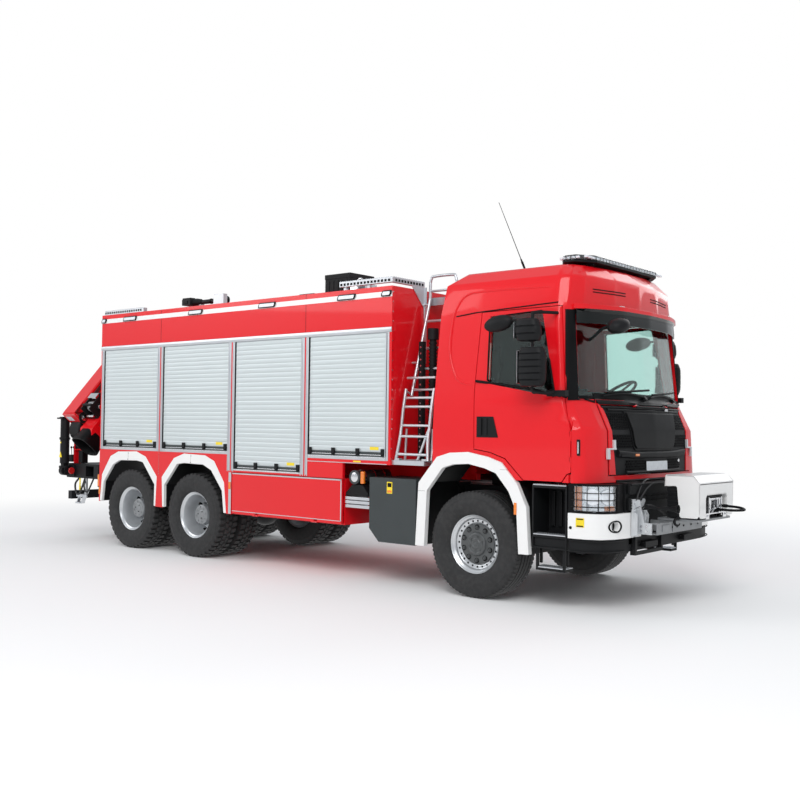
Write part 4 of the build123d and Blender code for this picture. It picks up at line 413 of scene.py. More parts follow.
def curve_points(pts, step=6):
    """A smooth line through the given points."""
    pts = [Vector(p) for p in pts]
    ends = [pts[0] * 2 - pts[1]] + pts + [pts[-1] * 2 - pts[-2]]
    made = []
    for i in range(len(pts) - 1):
        a, b, c, d = ends[i:i + 4]
        for k in range(step):
            t = k / step
            bend, turn = 2 * a - 5 * b + 4 * c - d, 3 * b - a - 3 * c + d
            made.append(0.5 * (2 * b + (c - a) * t + bend * t * t + turn * t ** 3))
    made.append(pts[-1])
    return made


def cord(name, body, pts, r, step=7, n=10, mat="hose"):
    """A cable, hose, rope or strap along given places, both ends on the truck."""
    line = curve_points(pts, step)
    obj = Kit().tube(line, r, n).make(name, body, mat, angle=60)


# CAD nodes: finish, welded edges, small rounds
def soft_edges(limit):
    """Joins split corners and shades smooth where two faces meet at less than the limit."""
    tree = bpy.data.node_groups.new("soft_edges_%d" % limit, "GeometryNodeTree")
    tree.interface.new_socket("Geometry", in_out="INPUT", socket_type="NodeSocketGeometry")
    tree.interface.new_socket("Geometry", in_out="OUTPUT", socket_type="NodeSocketGeometry")
    a = tree.nodes.new("NodeGroupInput")
    z = tree.nodes.new("NodeGroupOutput")
    weld = tree.nodes.new("GeometryNodeMergeByDistance")
    weld.inputs["Distance"].default_value = 0.00002
    drop = tree.nodes.new("GeometryNodeRemoveAttribute")
    drop.inputs["Name"].default_value = "custom_normal"
    bend = tree.nodes.new("GeometryNodeInputMeshEdgeAngle")
    flat = tree.nodes.new("FunctionNodeCompare")
    flat.data_type = "FLOAT"
    flat.operation = "LESS_EQUAL"
    flat.inputs[1].default_value = math.radians(limit)
    faces = tree.nodes.new("GeometryNodeSetShadeSmooth")
    faces.domain = "FACE"
    edges = tree.nodes.new("GeometryNodeSetShadeSmooth")
    edges.domain = "EDGE"
    link = tree.links.new
    link(a.outputs[0], weld.inputs["Geometry"])
    link(weld.outputs[0], drop.inputs["Geometry"])
    link(drop.outputs[0], faces.inputs["Geometry"])
    link(faces.outputs[0], edges.inputs["Geometry"])
    link(bend.outputs["Unsigned Angle"], flat.inputs[0])
    link(flat.outputs[0], edges.inputs["Shade Smooth"])
    link(edges.outputs[0], z.inputs[0])
    return tree


GROUPS = {}  # one node group for each angle limit


def dress(names, mat, bevel=0.0, limit=32):
    for name in names.split():
        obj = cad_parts[name]
        obj.data.materials.clear()
        obj.data.materials.append(M[mat])
        if limit not in GROUPS:
            GROUPS[limit] = soft_edges(limit)
        mod = obj.modifiers.new("soft_edges", "NODES")
        mod.node_group = GROUPS[limit]
        if bevel:
            mod = obj.modifiers.new("edge", "BEVEL")
            mod.width = bevel
            mod.segments = 2
            mod.limit_method = "ANGLE"
            mod.angle_limit = math.radians(max(limit, 35))
            mod.harden_normals = True


def dress_all():
    dress("body_shell flap_right flap_left", "red", 0.004)
    dress("cab_shell door_right door_left", "red", 0.0, 50)
    dress("boom_inner boom_outer crane_base", "red", 0.006)
    dress("front_flares rear_flares", "white", 0.006)
    dress("bumper winch_cover", "white", 0.004, 50)
    dress("body_trim roof_gear ladder", "silver", 0.003)
    dress("shutters", "slat")
    dress("windscreen door_glass_right door_glass_left", "glass", 0.0, 40)
    dress("front_rim_right front_rim_left mid_rims_right mid_rims_left rear_rims_right rear_rims_left", "rim")
    dress("front_tyre_right front_tyre_left mid_tyres_right mid_tyres_left rear_tyres_right rear_tyres_left",
          "rubber")
    dress("chassis_frame engine front_axle rear_axles knuckle_right knuckle_left rear_bar light_mast", "dark",
          0.003)
    dress("outrigger_beam_right outrigger_beam_left outrigger_leg_right outrigger_leg_left", "dark", 0.003)
    dress("lift_barrel boom_extension", "dark", 0.003)
    dress("lift_rod front_gear", "steel", 0.002)
    dress("mudguards cab_steps front_hatch front_panel mirrors_right mirrors_left", "black", 0.004)
    dress("side_boxes", "grey", 0.012)
    dress("cab_roof_gear", "black", 0.003)
    dress("dashboard steering_wheel", "inner", 0.006)
    dress("headlamps", "lens")
    dress("seats", "cloth", 0.02)


# Tyres and rims
FRONT_Y, OUTER_Y, INNER_Y, AXLE_Z = 1.0505, 1.092, 0.747, 0.535
AXLES = {"front": 0.0, "mid": -4.38, "rear": -5.73}
SIDE = (
    (0.0, 0.36), (0.03, 0.395), (0.07, 0.425), (0.12, 0.448), (0.15, 0.462), (0.17, 0.462), (0.19, 0.472),
    (0.36, 0.495),
    (0.50, 0.502), (0.60, 0.499), (0.70, 0.488), (0.72, 0.492), (0.74, 0.486), (0.83, 0.466), (0.90, 0.448),
)
ROAD_CROWN = (
    (0.935, 0.435), (0.965, 0.424), (0.984, 0.405), (0.992, 0.32), (0.994, 0.242), (0.994, 0.236),
    (0.996, 0.206),
    (0.996, 0.200), (1.0, 0.095), (1.0, 0.089), (1.0, 0.061), (1.0, 0.055),
)
LUG_CROWN = (
    (0.92, 0.452), (0.955, 0.446), (0.980, 0.430), (0.990, 0.405), (0.994, 0.30), (0.995, 0.205),
    (0.996, 0.195),
    (0.997, 0.165), (0.998, 0.155), (1.0, 0.09), (1.0, 0.03), (1.0, 0.012),
)


# Rims and hubs as (radius, offset from the tyre's middle)
FRONT_RIM = [
    (0.300, 0.130), (0.304, 0.136), (0.304, 0.143), (0.298, 0.146), (0.290, 0.142), (0.283, 0.132),
    (0.276, 0.124),
    (0.266, 0.119), (0.258, 0.110), (0.254, 0.098), (0.250, 0.090), (0.243, 0.086), (0.226, 0.086),
    (0.212, 0.082), (0.205, 0.074), (0.100, 0.074), (0.100, 0.060), (0.205, 0.058), (0.240, 0.062),
    (0.250, 0.040),
    (0.252, -0.060), (0.262, -0.100), (0.286, -0.130), (0.300, -0.134), (0.300, -0.126), (0.288, -0.118),
    (0.270, -0.090), (0.268, 0.060), (0.280, 0.100), (0.290, 0.118),
]
FRONT_HUB = [
    (0.198, 0.074), (0.203, 0.080), (0.203, 0.090), (0.197, 0.095), (0.140, 0.098), (0.122, 0.099),
    (0.117, 0.104),
    (0.113, 0.116), (0.106, 0.121), (0.092, 0.122), (0.086, 0.118), (0.060, 0.117), (0.052, 0.121),
    (0.046, 0.127),
    (0.034, 0.128), (0.030, 0.124), (0.018, 0.123), (0.010, 0.127), (0.001, 0.127), (0.001, 0.060),
    (0.198, 0.060),
]
OUTER_RIM = [
    (0.296, 0.106), (0.304, 0.112), (0.306, 0.120), (0.300, 0.124), (0.292, 0.120), (0.284, 0.110),
    (0.276, 0.102),
    (0.262, 0.094), (0.256, 0.080), (0.252, 0.040), (0.243, 0.010), (0.240, -0.020), (0.232, -0.050),
    (0.222, -0.080), (0.205, -0.112), (0.190, -0.130), (0.150, -0.140), (0.110, -0.142), (0.110, -0.156),
    (0.190, -0.146), (0.232, -0.100), (0.262, -0.060), (0.268, 0.0), (0.272, 0.060), (0.284, 0.090),
]
INNER_RIM = [
    (0.296, -0.106), (0.304, -0.112), (0.304, -0.120), (0.290, -0.116), (0.272, -0.094), (0.262, -0.060),
    (0.256, 0.060), (0.240, 0.110), (0.200, 0.150), (0.110, 0.165), (0.110, 0.179), (0.205, 0.165),
    (0.262, 0.110), (0.268, 0.060), (0.272, -0.060), (0.286, -0.096),
]
REAR_HUB = [
    (0.128, -0.150), (0.128, 0.010), (0.124, 0.018), (0.116, 0.022), (0.072, 0.024), (0.066, 0.020),
    (0.060, 0.026),
    (0.040, 0.030), (0.001, 0.030), (0.001, -0.150),
]
NUT_WASHER = [(0.0, 0.094), (0.026, 0.094), (0.028, 0.0995), (0.0245, 0.1005), (0.023, 0.0965), (0.0, 0.0965)]


def road_cut(part, w):
    """How deep the tread is cut at a share of the pitch and a share of the width."""
    if 0.202 < abs(w) < 0.240 or 0.057 < abs(w) < 0.093:
        return 0.013
    if abs(w) > 0.40:
        return 0.007 if part > 0.55 else 0.0
    return 0.005 if 0.55 < part < 0.75 and abs(w) > 0.30 else 0.0


def lug_cut(part, w):
    """The same for the rear tyres, whose blocks are staggered from side to side."""
    if 0.157 < abs(w) < 0.203:
        return 0.016
    if abs(w) < 0.02:
        return 0.012
    if abs(w) >= 0.19:
        return 0.019 if (part + (0.0 if w > 0 else 0.5)) % 1.0 > 0.60 else 0.0
    return 0.015 if 0.28 < (part + (0.25 if w > 0 else 0.75)) % 1.0 < 0.52 else 0.0


def tyre(kit, x, y, width, side, crown, cut, pitches, stops):
    """One turned profile whose crown is cut by the tread; stops are the places within a pitch."""
    bead = 0.288
    tall = AXLE_Z - bead
    half = [(bead + tall * h, width * w, w) for h, w in SIDE + crown]
    line = half + [(r, -w, -s) for r, w, s in half[::-1]]
    rows = []
    for k in range(pitches * len(stops)):
        pitch, step = divmod(k, len(stops))
        t = 2 * math.pi * (pitch + stops[step]) / pitches
        row = []
        for i, (r, w, s) in enumerate(line):
            tread = len(SIDE) <= i < len(line) - len(SIDE)
            deep = cut(stops[step] + 1e-4, s) if tread else 0.0
            wide = 1.0
            if deep and abs(s) > 0.425:
                wide = 1 - deep * 0.35 / abs(w)
                deep *= 0.55
            row.append((x + (r - deep) * math.cos(t), y + side * w * wide, AXLE_Z + (r - deep) * math.sin(t)))
        rows.append(row)
    kit.grid(rows, round_u=True, round_v=True)


ROAD_STOPS = (0.0, 0.20, 0.53, 0.56, 0.74, 0.97)
LUG_STOPS = (0.0, 0.08, 0.11, 0.26, 0.29, 0.54, 0.59, 0.61, 0.76, 0.79, 0.97)
BOLT_R, BOLTS = 0.167, 10


def circle(count, radius, x=0.0, turn=0.0):
    """Places (x, z) spaced evenly about a wheel's axis."""
    for k in range(count):
        t = 2 * math.pi * k / count + turn
        yield x + radius * math.cos(t), AXLE_Z + radius * math.sin(t)


def pegs(kit, places, y, w0, w1, r, n):
    """Short round pegs square to the wheel, between the offsets w0 and w1 from its middle y."""
    for x, z in places:
        kit.rod((x, y + w0, z), (x, y + w1, z), r, n)


def turned(kit, places, profile, y, side, n):
    for x, z in places:
        kit.lathe(profile, x, y, z, side, n)


def front_wheel(word, side):
    y, body = side * FRONT_Y, "front_wheel_" + word
    half_step = math.pi / BOLTS
    kit = Kit()
    tyre(kit, 0, y, 0.375, side, ROAD_CROWN, road_cut, 72, ROAD_STOPS)
    kit.make("tyre_front_" + word, body, "rubber", hides=["front_tyre_" + word], angle=28)
    kit = Kit()
    kit.lathe(FRONT_RIM, 0, y, AXLE_Z, side, 96)
    kit.make("rim_front_" + word, body, "rim", hides=["front_rim_" + word], angle=34)
    kit = Kit()
    # Dark pegs fill the rim's holes: painted shade standing in for the dark seen through them.
    pegs(kit, circle(24, 0.230), y, side * 0.070, side * 0.0875, 0.0105, 14)
    turned(kit, circle(BOLTS, BOLT_R, turn=half_step), NUT_WASHER, y, side, 20)
    kit.make("rim_holes_front_" + word, body, "seal_and_shade", angle=40)
    kit = Kit()
    kit.lathe(FRONT_HUB, 0, y, AXLE_Z, side, 80)
    for x, z in circle(BOLTS, BOLT_R, turn=half_step):
        kit.lathe([(0.0, 0.095), (0.0175, 0.095), (0.0175, 0.108), (0.015, 0.111), (0.0, 0.111)], x, y, z,
                  side, 6)
        kit.rod((x, y + side * 0.110, z), (x, y + side * 0.119, z), 0.009, 12)
    for k in range(6):
        for q in (-0.10, 0.10):
            t = 2 * math.pi * k / 6 + 0.26 + q
            pegs(kit, circle(1, 0.076, turn=t), y, side * 0.114, side * 0.1225, 0.006, 8)
    w = y + side * 0.118
    for (xa, za), (xb, zb) in zip(circle(3, 0.062, turn=0.5), circle(3, 0.100, turn=0.5)):
        kit.rod((xa, w, za), (xb, w, zb), 0.006, 8)
    kit.make("hub_front_" + word, body, "hub", angle=34)


def rear_wheel(axle, word, side):
    body = "%s_wheels_%s" % (axle, word)
    x, y = AXLES[axle], side * OUTER_Y
    kit = Kit()
    for at in (OUTER_Y, INNER_Y):
        tyre(kit, x, side * at, 0.312, side, LUG_CROWN, lug_cut, 42, LUG_STOPS)
    kit.make("tyres_" + body, body, "rubber", hides=["%s_tyres_%s" % (axle, word)], angle=28)
    kit = Kit()
    kit.lathe(OUTER_RIM, x, y, AXLE_Z, side, 96)
    kit.lathe(INNER_RIM, x, side * INNER_Y, AXLE_Z, side, 72)
    kit.make("rims_" + body, body, "rim", hides=["%s_rims_%s" % (axle, word)], angle=34)
    kit = Kit()
    kit.lathe(REAR_HUB, x, y, AXLE_Z, side, 64)
    cap_bolt = [(0.0, 0.018), (0.012, 0.018), (0.012, 0.030), (0.0, 0.030)]
    turned(kit, circle(8, 0.094, x, 0.2), cap_bolt, y, side, 6)
    for px, pz in circle(BOLTS, BOLT_R, x, math.pi / BOLTS):
        kit.lathe([(0.0, -0.140), (0.018, -0.140), (0.018, -0.116), (0.0, -0.116)], px, y, pz, side, 6)
        kit.rod((px, y - side * 0.117, pz), (px, y - side * 0.100, pz), 0.010, 10)
    kit.make("hub_" + body, body, "hub_light", angle=34)
    kit = Kit()
    # Dark pegs fill the rim's and the hub cap's holes: painted shade standing in for the dark seen through
    # them.
    pegs(kit, circle(10, 0.212, x), y, side * -0.125, side * -0.085, 0.020, 16)
    pegs(kit, circle(3, 0.048, x, 0.9), y, side * 0.020, side * 0.0305, 0.009, 12)
    kit.make("rim_holes_" + body, body, "seal_and_shade", angle=40)


def wheels():
    for word, side in SIDES:
        front_wheel(word, side)
        for axle in ("mid", "rear"):
            rear_wheel(axle, word, side)


# Equipment body
STATIONS = [-1.05 - 5.38 * s for s in (0.0085, 0.2425, 0.4805, 0.747, 0.9945)]
BODY_Y = 1.275


def bays():
    for i in range(4):
        front = STATIONS[i] - (0.055 if i else 0.02)
        rear = STATIONS[i + 1] + (0.055 if i < 3 else 0.04)
        yield rear, front, (1.157 if i == 1 else 1.37), 2.71


def mirror_pts(pts, side):
    return [(p[0] * side, p[1]) for p in pts]


def shutter_skins():
    slats, seals, bars, feet, tags, lips = Kit(), Kit(), Kit(), Kit(), Kit(), Kit()
    for rear, front, low, top in bays():
        count = round((top - low - 0.055) / 0.0545)
        pitch = (top - low - 0.055) / count
        line = []
        for k in range(count):
            z = low + 0.055 + k * pitch
            for part, out in ((0.0, 1.2628), (0.06, 1.2648), (0.35, 1.2662), (0.65, 1.2662), (0.94, 1.2648)):
                line.append((out, z + pitch * part))
        line.append((1.2612, top - 0.001))
        outline = line + [(1.2595, top - 0.001), (1.2595, low + 0.055)]
        for side in (-1, 1):
            slats.prism(mirror_pts(outline, side), rear + 0.016, front - 0.016, "x")
        seals.both_boxes(rear + 0.0005, rear + 0.017, 1.2612, 1.2705, low + 0.001, top - 0.001)
        seals.both_boxes(front - 0.017, front - 0.0005, 1.2612, 1.2705, low + 0.001, top - 0.001)
        bars.both_boxes(rear + 0.018, front - 0.018, 1.2612, 1.2695, low + 0.004, low + 0.052)
        bars.both_boxes(rear + 0.018, front - 0.018, 1.2612, 1.2765, low + 0.004, low + 0.014)
        lips.both_boxes(rear + 0.018, front - 0.018, 1.2700, 1.2745, low + 0.016, low + 0.024)
        lips.both_boxes(rear - 0.004, front + 0.004, 1.2755, 1.2785, low - 0.014, low - 0.004)
        for share in (0.035, 0.345, 0.655, 0.965):
            x = rear + (front - rear) * share
            feet.both_boxes(x - 0.026, x + 0.026, 1.2700, 1.2860, low + 0.030, low + 0.088)
            feet.both_boxes(x - 0.016, x + 0.016, 1.2700, 1.2925, low + 0.006, low + 0.034)
        for side in (-1, 1):
            a = front - 0.235 if side < 0 else rear + 0.115
            tags.side_box(side, a, a + 0.125, 1.2660, 1.2676, low + 0.074, low + 0.108)
    slats.make("shutter_slats", "chassis", "slat", angle=50)
    seals.make("shutter_seals", "chassis", "seal_and_shade", bevel=0.002)
    bars.make("shutter_bars", "chassis", "grey", bevel=0.002)
    lips.make("shutter_lips", "chassis", "bright", bevel=0.001)
    feet.make("shutter_feet", "chassis", "black", bevel=0.004)
    tags.make("shutter_tags", "chassis", "yellow")


FLOODS = (
    (-6.425, -6.317), (-5.911, -5.612), (-4.491, -4.210), (-3.157, -2.860), (-1.850, -1.577),
    (-1.197, -1.056),
)


def body_skin():
    stripe, lamps, glow, seams, rails, red, bolts = Kit(), Kit(), Kit(), Kit(), Kit(), Kit(), Kit()
    stripe.both_boxes(-6.4295, -1.0505, 1.2748, 1.2762, 3.094, 3.152)
    for a, b in FLOODS:
        for side in (-1, 1):
            skew = 0.022
            pts = [(a, 3.098), (b - skew, 3.098), (b, 3.130), (b, 3.160), (a + skew, 3.160), (a, 3.128)]
            y0, y1 = sorted((side * 1.2755, side * 1.2930))
            lamps.prism(pts, y0, y1, "y")
            y0, y1 = sorted((side * 1.2925, side * 1.2948))
            glow.prism(
                [(a + 0.02, 3.109), (b - 0.03, 3.109), (b - 0.016, 3.132), (b - 0.018, 3.148),
                 (a + 0.03, 3.148),
                 (a + 0.016, 3.126)], y0, y1, "y")
    for x in (STATIONS[1], STATIONS[3]):
        seams.both_boxes(x - 0.0025, x + 0.0025, 1.2746, 1.2757, 2.776, 3.2095)
        if x < -4:
            seams.both_boxes(x - 0.002, x + 0.002, 1.2746, 1.2757, 1.02, 1.33)
    rail = [(1.2748, 2.712), (1.2810, 2.716), (1.2850, 2.730), (1.2850, 2.752), (1.2810, 2.766),
            (1.2748, 2.770)]
    for side in (-1, 1):
        rails.prism(mirror_pts(rail, side), -6.4290, -1.0510, "x")
    for i, x in enumerate(STATIONS):
        low = 1.12 if i in (1, 2) else 1.33
        wide = 0.052 if 0 < i < 4 else 0.019
        mid = x if 0 < i < 4 else (x - 0.012 if i == 0 else x + 0.020)
        for sign in (-1, 1):
            edge = mid + sign * wide
            rails.both_boxes(edge - 0.007, edge + 0.007, 1.2748, 1.2800, low + 0.004, 2.712)
        if 0 < i < 4:
            rails.both_boxes(x - 0.024, x - 0.010, 1.2748, 1.2785, low + 0.004, 2.712)
            red.both_boxes(x - 0.006, x + 0.012, 1.2748, 1.2760, low + 0.004, 2.712)
            rails.both_boxes(x + 0.016, x + 0.028, 1.2748, 1.2785, low + 0.004, 2.712)
    for k in range(18):
        z = 1.36 + k * 0.105
        for y in (-1.262, 1.262):
            bolts.rod((-1.0500, y, z), (-1.0455, y, z), 0.008, 8)
    for side in (-1, 1):
        for k in range(9):
            z = 1.03 + k * 0.034
            bolts.side_box(side, -5.0705, -5.0665, 1.2750, 1.2768, z, z + 0.012)
    stripe.make("white_stripe", "chassis", "white")
    lamps.make("side_lamp_housings", "chassis", "black", bevel=0.003)
    glow.make("side_lamp_panes", "chassis", "led", bevel=0.001)
    seams.make("panel_seams", "chassis", "seal_and_shade")
    rails.make("frame_rails", "chassis", "silver", bevel=0.0015)
    red.make("post_stripes", "chassis", "red")
    bolts.make("wall_bolts", "chassis", "bright")


def lower_skin():
    """Trim of the low flap, the flares' bolts and seams, marker lamps."""
    trim, dots, amber, dark, flaps, tags = Kit(), Kit(), Kit(), Kit(), Kit(), Kit()
    for word, side in SIDES:
        edge = Kit()
        edge.side_box(side, -3.590, -1.756, 1.2748, 1.2775, 1.093, 1.107)
        edge.side_box(side, -1.770, -1.756, 1.2748, 1.2775, 0.640, 1.107)
        edge.side_box(side, -3.590, -1.756, 1.2748, 1.2775, 0.640, 0.648)
        edge.make("flap_edge_" + word, "flap_" + word, "silver", bevel=0.001)
        trim.side_box(side, -3.660, -3.612, 1.2748, 1.2775, 0.604, 1.112)
        trim.side_box(side, -2.30, -1.100, 1.2748, 1.2775, 1.292, 1.300)
        amber.side_box(side, -3.655, -3.617, 1.2770, 1.2850, 0.905, 0.995)
        amber.side_box(side, 0.522, 0.552, 1.2735, 1.2830, 0.870, 0.985)
        amber.side_box(side, -6.425, -6.395, 1.2735, 1.2870, 0.700, 0.800)
        tags.side_box(side, -1.585, -1.475, 1.2748, 1.2760, 1.305, 1.322)
        for ax in (AXLES["mid"], AXLES["rear"]):
            for x, z in ((ax - 0.02, 1.290), (ax - 0.03, 1.205)):
                dots.rod((x, side * 1.274, z), (x, side * 1.2775, z), 0.006, 10)
            dark.side_box(side, ax - 0.0265, ax - 0.0240, 1.2748, 1.2754, 1.195, 1.312)
        for x, z in ((-0.62, 1.04), (0.40, 1.295)):
            dark.side_box(side, x - 0.045, x + 0.045, 1.2748, 1.2753, z, z + 0.0025)
    trim.make("skirt_trim", "chassis", "silver", bevel=0.001)
    dots.make("flare_bolts", "chassis", "black")
    amber.make("marker_lamps", "chassis", "amber", bevel=0.004)
    dark.make("flare_seams", "chassis", "seal_and_shade")
    tags.make("skirt_tags", "chassis", "yellow")


# Roof
def roof_skin():
    slots, tread, parts = Kit(), Kit(), Kit()
    top = 3.210 + 0.0003 + 0.040 + 0.055
    for side in (-1, 1):
        # Slots in the tread's side edge: thin dark boxes of painted shade standing in for openings.
        for k in range(15):
            x = -1.80 + k * 0.050
            slots.side_box(side, x - 0.016, x + 0.016, 1.2740, 1.2755, top - 0.046, top - 0.018)
        for k in range(24):
            x = -1.825 + k * 0.032
            tread.side_box(side, x, x + 0.010, 1.216, 1.272, top - 0.002, top + 0.006)
        for k in range(17):
            y = 0.735 + k * 0.031
            tread.side_box(side, -1.108, -1.052, y, y + 0.010, top - 0.002, top + 0.006)
        # Slots in the tread's front edge: thin dark boxes of painted shade.
        for k in range(10):
            y = 0.745 + k * 0.050
            slots.side_box(side, -1.0502, -1.0488, y, y + 0.032, top - 0.046, top - 0.018)
    low = 3.2103
    # Slots along the back run: thin dark boxes of painted shade.
    for k in range(17):
        x = -6.345 + k * 0.051
        slots.box(x - 0.016, x + 0.016, -1.2755, -1.2740, low + 0.012, low + 0.040)
    for k in range(27):
        x = -6.365 + k * 0.0325
        tread.box(x, x + 0.010, -1.272, -1.216, low + 0.053, low + 0.061)
    slots.make("tread_slot_shades", "chassis", "seal_and_shade")
    tread.make("tread_bars", "chassis", "silver")

    box_x, box_y = -2.025, -0.900
    parts.box(box_x - 0.196, box_x + 0.196, box_y - 0.203, box_y + 0.203, 3.212, 3.420)
    parts.box(box_x - 0.200, box_x + 0.200, box_y - 0.207, box_y + 0.207, 3.385, 3.440)
    for k in range(5):
        parts.box(box_x - 0.14 + k * 0.07, box_x - 0.125 + k * 0.07, box_y - 0.209, box_y - 0.202, 3.24, 3.37)
    parts.box(-2.75, -2.45, -1.05, -0.80, 3.2103, 3.245)
    parts.box(-2.72, -2.48, -1.03, -0.82, 3.245, 3.262)
    parts.make("roof_box_cover", "chassis", "black", bevel=0.012, seg=3)

    winder = Kit()
    for y in (-0.95, -1.05):
        line = [(-1.80, y, 3.31), (-1.74, y, 3.36), (-1.70, y, 3.36), (-1.66, y, 3.31)]
        winder.tube(curve_points(line), 0.012, 10)
    winder.box(-1.83, -1.60, -1.10, -0.90, 3.2103, 3.300)
    winder.make("roof_winder", "chassis", "bright", bevel=0.004)


def mast_skin():
    """The folded mast's lamp heads and joint collars."""
    z = 3.320
    head = Kit()
    for y in (-1.015, -0.905):
        head.box(-4.975, -4.795, y, y + 0.100, z - 0.036, z + 0.044)
        for k in range(6):
            head.box(-4.970 + k * 0.030, -4.962 + k * 0.030, y + 0.004, y + 0.096, z + 0.044, z + 0.060)
    head.box(-4.92, -4.85, -1.03, -0.78, z - 0.020, z + 0.020)
    head.rod((-4.83, -0.96, z), (-4.70, -0.90, z), 0.042, 20)
    head.make("mast_lamp_heads", "light_mast", "black", bevel=0.005)
    panes = Kit()
    for y in (-1.015, -0.905):
        panes.box(-4.967, -4.803, y + 0.008, y + 0.092, z - 0.039, z - 0.034)
    panes.make("mast_lamp_panes", "light_mast", "led", bevel=0.001)
    joint = Kit()
    joint.rod((-4.240, -0.945, z), (-4.240, -0.855, z), 0.056, 28)
    joint.rod((-4.31, -0.900, z), (-4.27, -0.900, z), 0.038, 24)
    joint.rod((-4.52, -0.900, z), (-4.49, -0.900, z), 0.036, 24)
    joint.make("mast_collars", "light_mast", "satin", bevel=0.003)


# Cab
NOSE = [(1.099, 1.25), (1.2835, 1.244), (1.412, 1.181), (1.480, 1.05), (1.504, 0.875), (1.51, 0.5625),
        (1.51, 0.0)]

CAB_REAR, CAB_FRONT, CAB_LOW, CAB_TOP = -0.5, 1.37, 1.2, 3.3
ANT_X = CAB_REAR + (CAB_FRONT - CAB_REAR) * 0.375


def cab_at(share_x, share_z):
    """A place on the cab's flank by shares of its length and height."""
    return (CAB_REAR + (CAB_FRONT - CAB_REAR) * share_x, CAB_LOW + (CAB_TOP - CAB_LOW) * share_z)


class Skin:
    """The cab's outer surface, felt out by rays on the CAD nodes."""

    def __init__(self, names):
        verts, tris = [], []
        for name in names.split():
            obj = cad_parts[name]
            at = len(verts)
            verts += [obj.matrix_world @ v.co for v in obj.data.vertices]
            obj.data.calc_loop_triangles()
            tris += [tuple(at + i for i in t.vertices) for t in obj.data.loop_triangles]
        self.tree = BVHTree.FromPolygons(verts, tris)

    def cast(self, origin, aim, out=0.0):
        start = Vector(origin) + SHIFT_ALONG
        aim = Vector(aim).normalized()
        hit, normal = self.tree.ray_cast(start, aim)[:2]
        if hit is None:
            return None
        if normal.dot(aim) > 0:
            normal = -normal
        return hit - SHIFT_ALONG + normal * out

    def near(self, aim_at, deep_enough, out):
        """The first ray of a few neighbours that meets the skin and not what lies behind a gap."""
        for step in (0, -0.007, 0.007, -0.014, 0.014):
            p = self.cast(*aim_at(step), out)
            if p is not None and deep_enough(p):
                return p
        return None

    def side(self, x, z, out=0.0, hand=-1):
        """A place on the flank; rays come straight across."""
        p = self.near(lambda d: ((x + d, hand * 1.9, z), (0, -hand, 0)), lambda p: hand * p.y > 0.95, out)
        return p and Vector((x, p.y, p.z))

    def nose(self, y, z, out=0.0):
        p = self.near(lambda d: ((2.6, y + d, z), (-1, 0, 0)), lambda p: p.x > (1.15 if z < 1.94 else 0.85),
                      out)
        return p and Vector((p.x, y, p.z))

    def round(self, turn, z, out=0.0, hand=-1):
        """A place round the corner; turn 0 is straight ahead and 90 square to the side."""
        def ray(d):
            t = math.radians(turn + d * 25)
            aim = Vector((math.cos(t), hand * math.sin(t), 0))
            return Vector((0.2, 0, z)) + aim * 3, -aim
        return self.near(ray, lambda p: p.x > 0.55, out)

    def turn_at(self, y, z):
        """The turn that meets the place |y| across the nose at height z."""
        p = self.nose(-abs(y), z)
        return math.degrees(math.atan2(abs(y), p.x - 0.2))


def plate_on(kit, place, rows, out=0.004, deep=0.004):
    """A thin plate over rows of (u, v) places, each laid on the surface by place(u, v, out)."""
    top = [[place(u, v, out) for u, v in row] for row in rows]
    low = [[place(u, v, -deep) for u, v in row] for row in rows]
    if any(p is None for row in top + low for p in row):
        return False
    n, m = len(rows[0]), len(rows)
    kit.grid(top)
    kit.grid(low)
    rim = [(i, 0) for i in range(m)] + [(m - 1, j) for j in range(1, n)]
    rim += [(i, n - 1) for i in range(m - 2, -1, -1)] + [(0, j) for j in range(n - 2, 0, -1)]
    kit.grid([[top[i][j] for i, j in rim], [low[i][j] for i, j in rim]], round_u=True)
    return True


def span(v0, v1, n):
    return [v0 + (v1 - v0) * k / n for k in range(n + 1)]


def block(u0, u1, nu, v0, v1, nv):
    """Rows of places (u, v) over a rectangle."""
    return [[(u, v) for u in span(u0, u1, nu)] for v in span(v0, v1, nv)]


def between(v, table):
    """A value read from a table of (key, value) rows."""
    for (a, p), (b, q) in zip(table, table[1:]):
        if v <= b or (b, q) == table[-1]:
            return p + (q - p) * (v - a) / (b - a)


MASK = [(1.20, 0.778), (1.262, 0.784), (1.45, 0.802), (1.60, 0.818), (1.70, 0.831), (1.79, 0.829),
        (1.86, 0.834), (1.895, 0.843), (1.93, 0.868), (1.95, 0.888)]


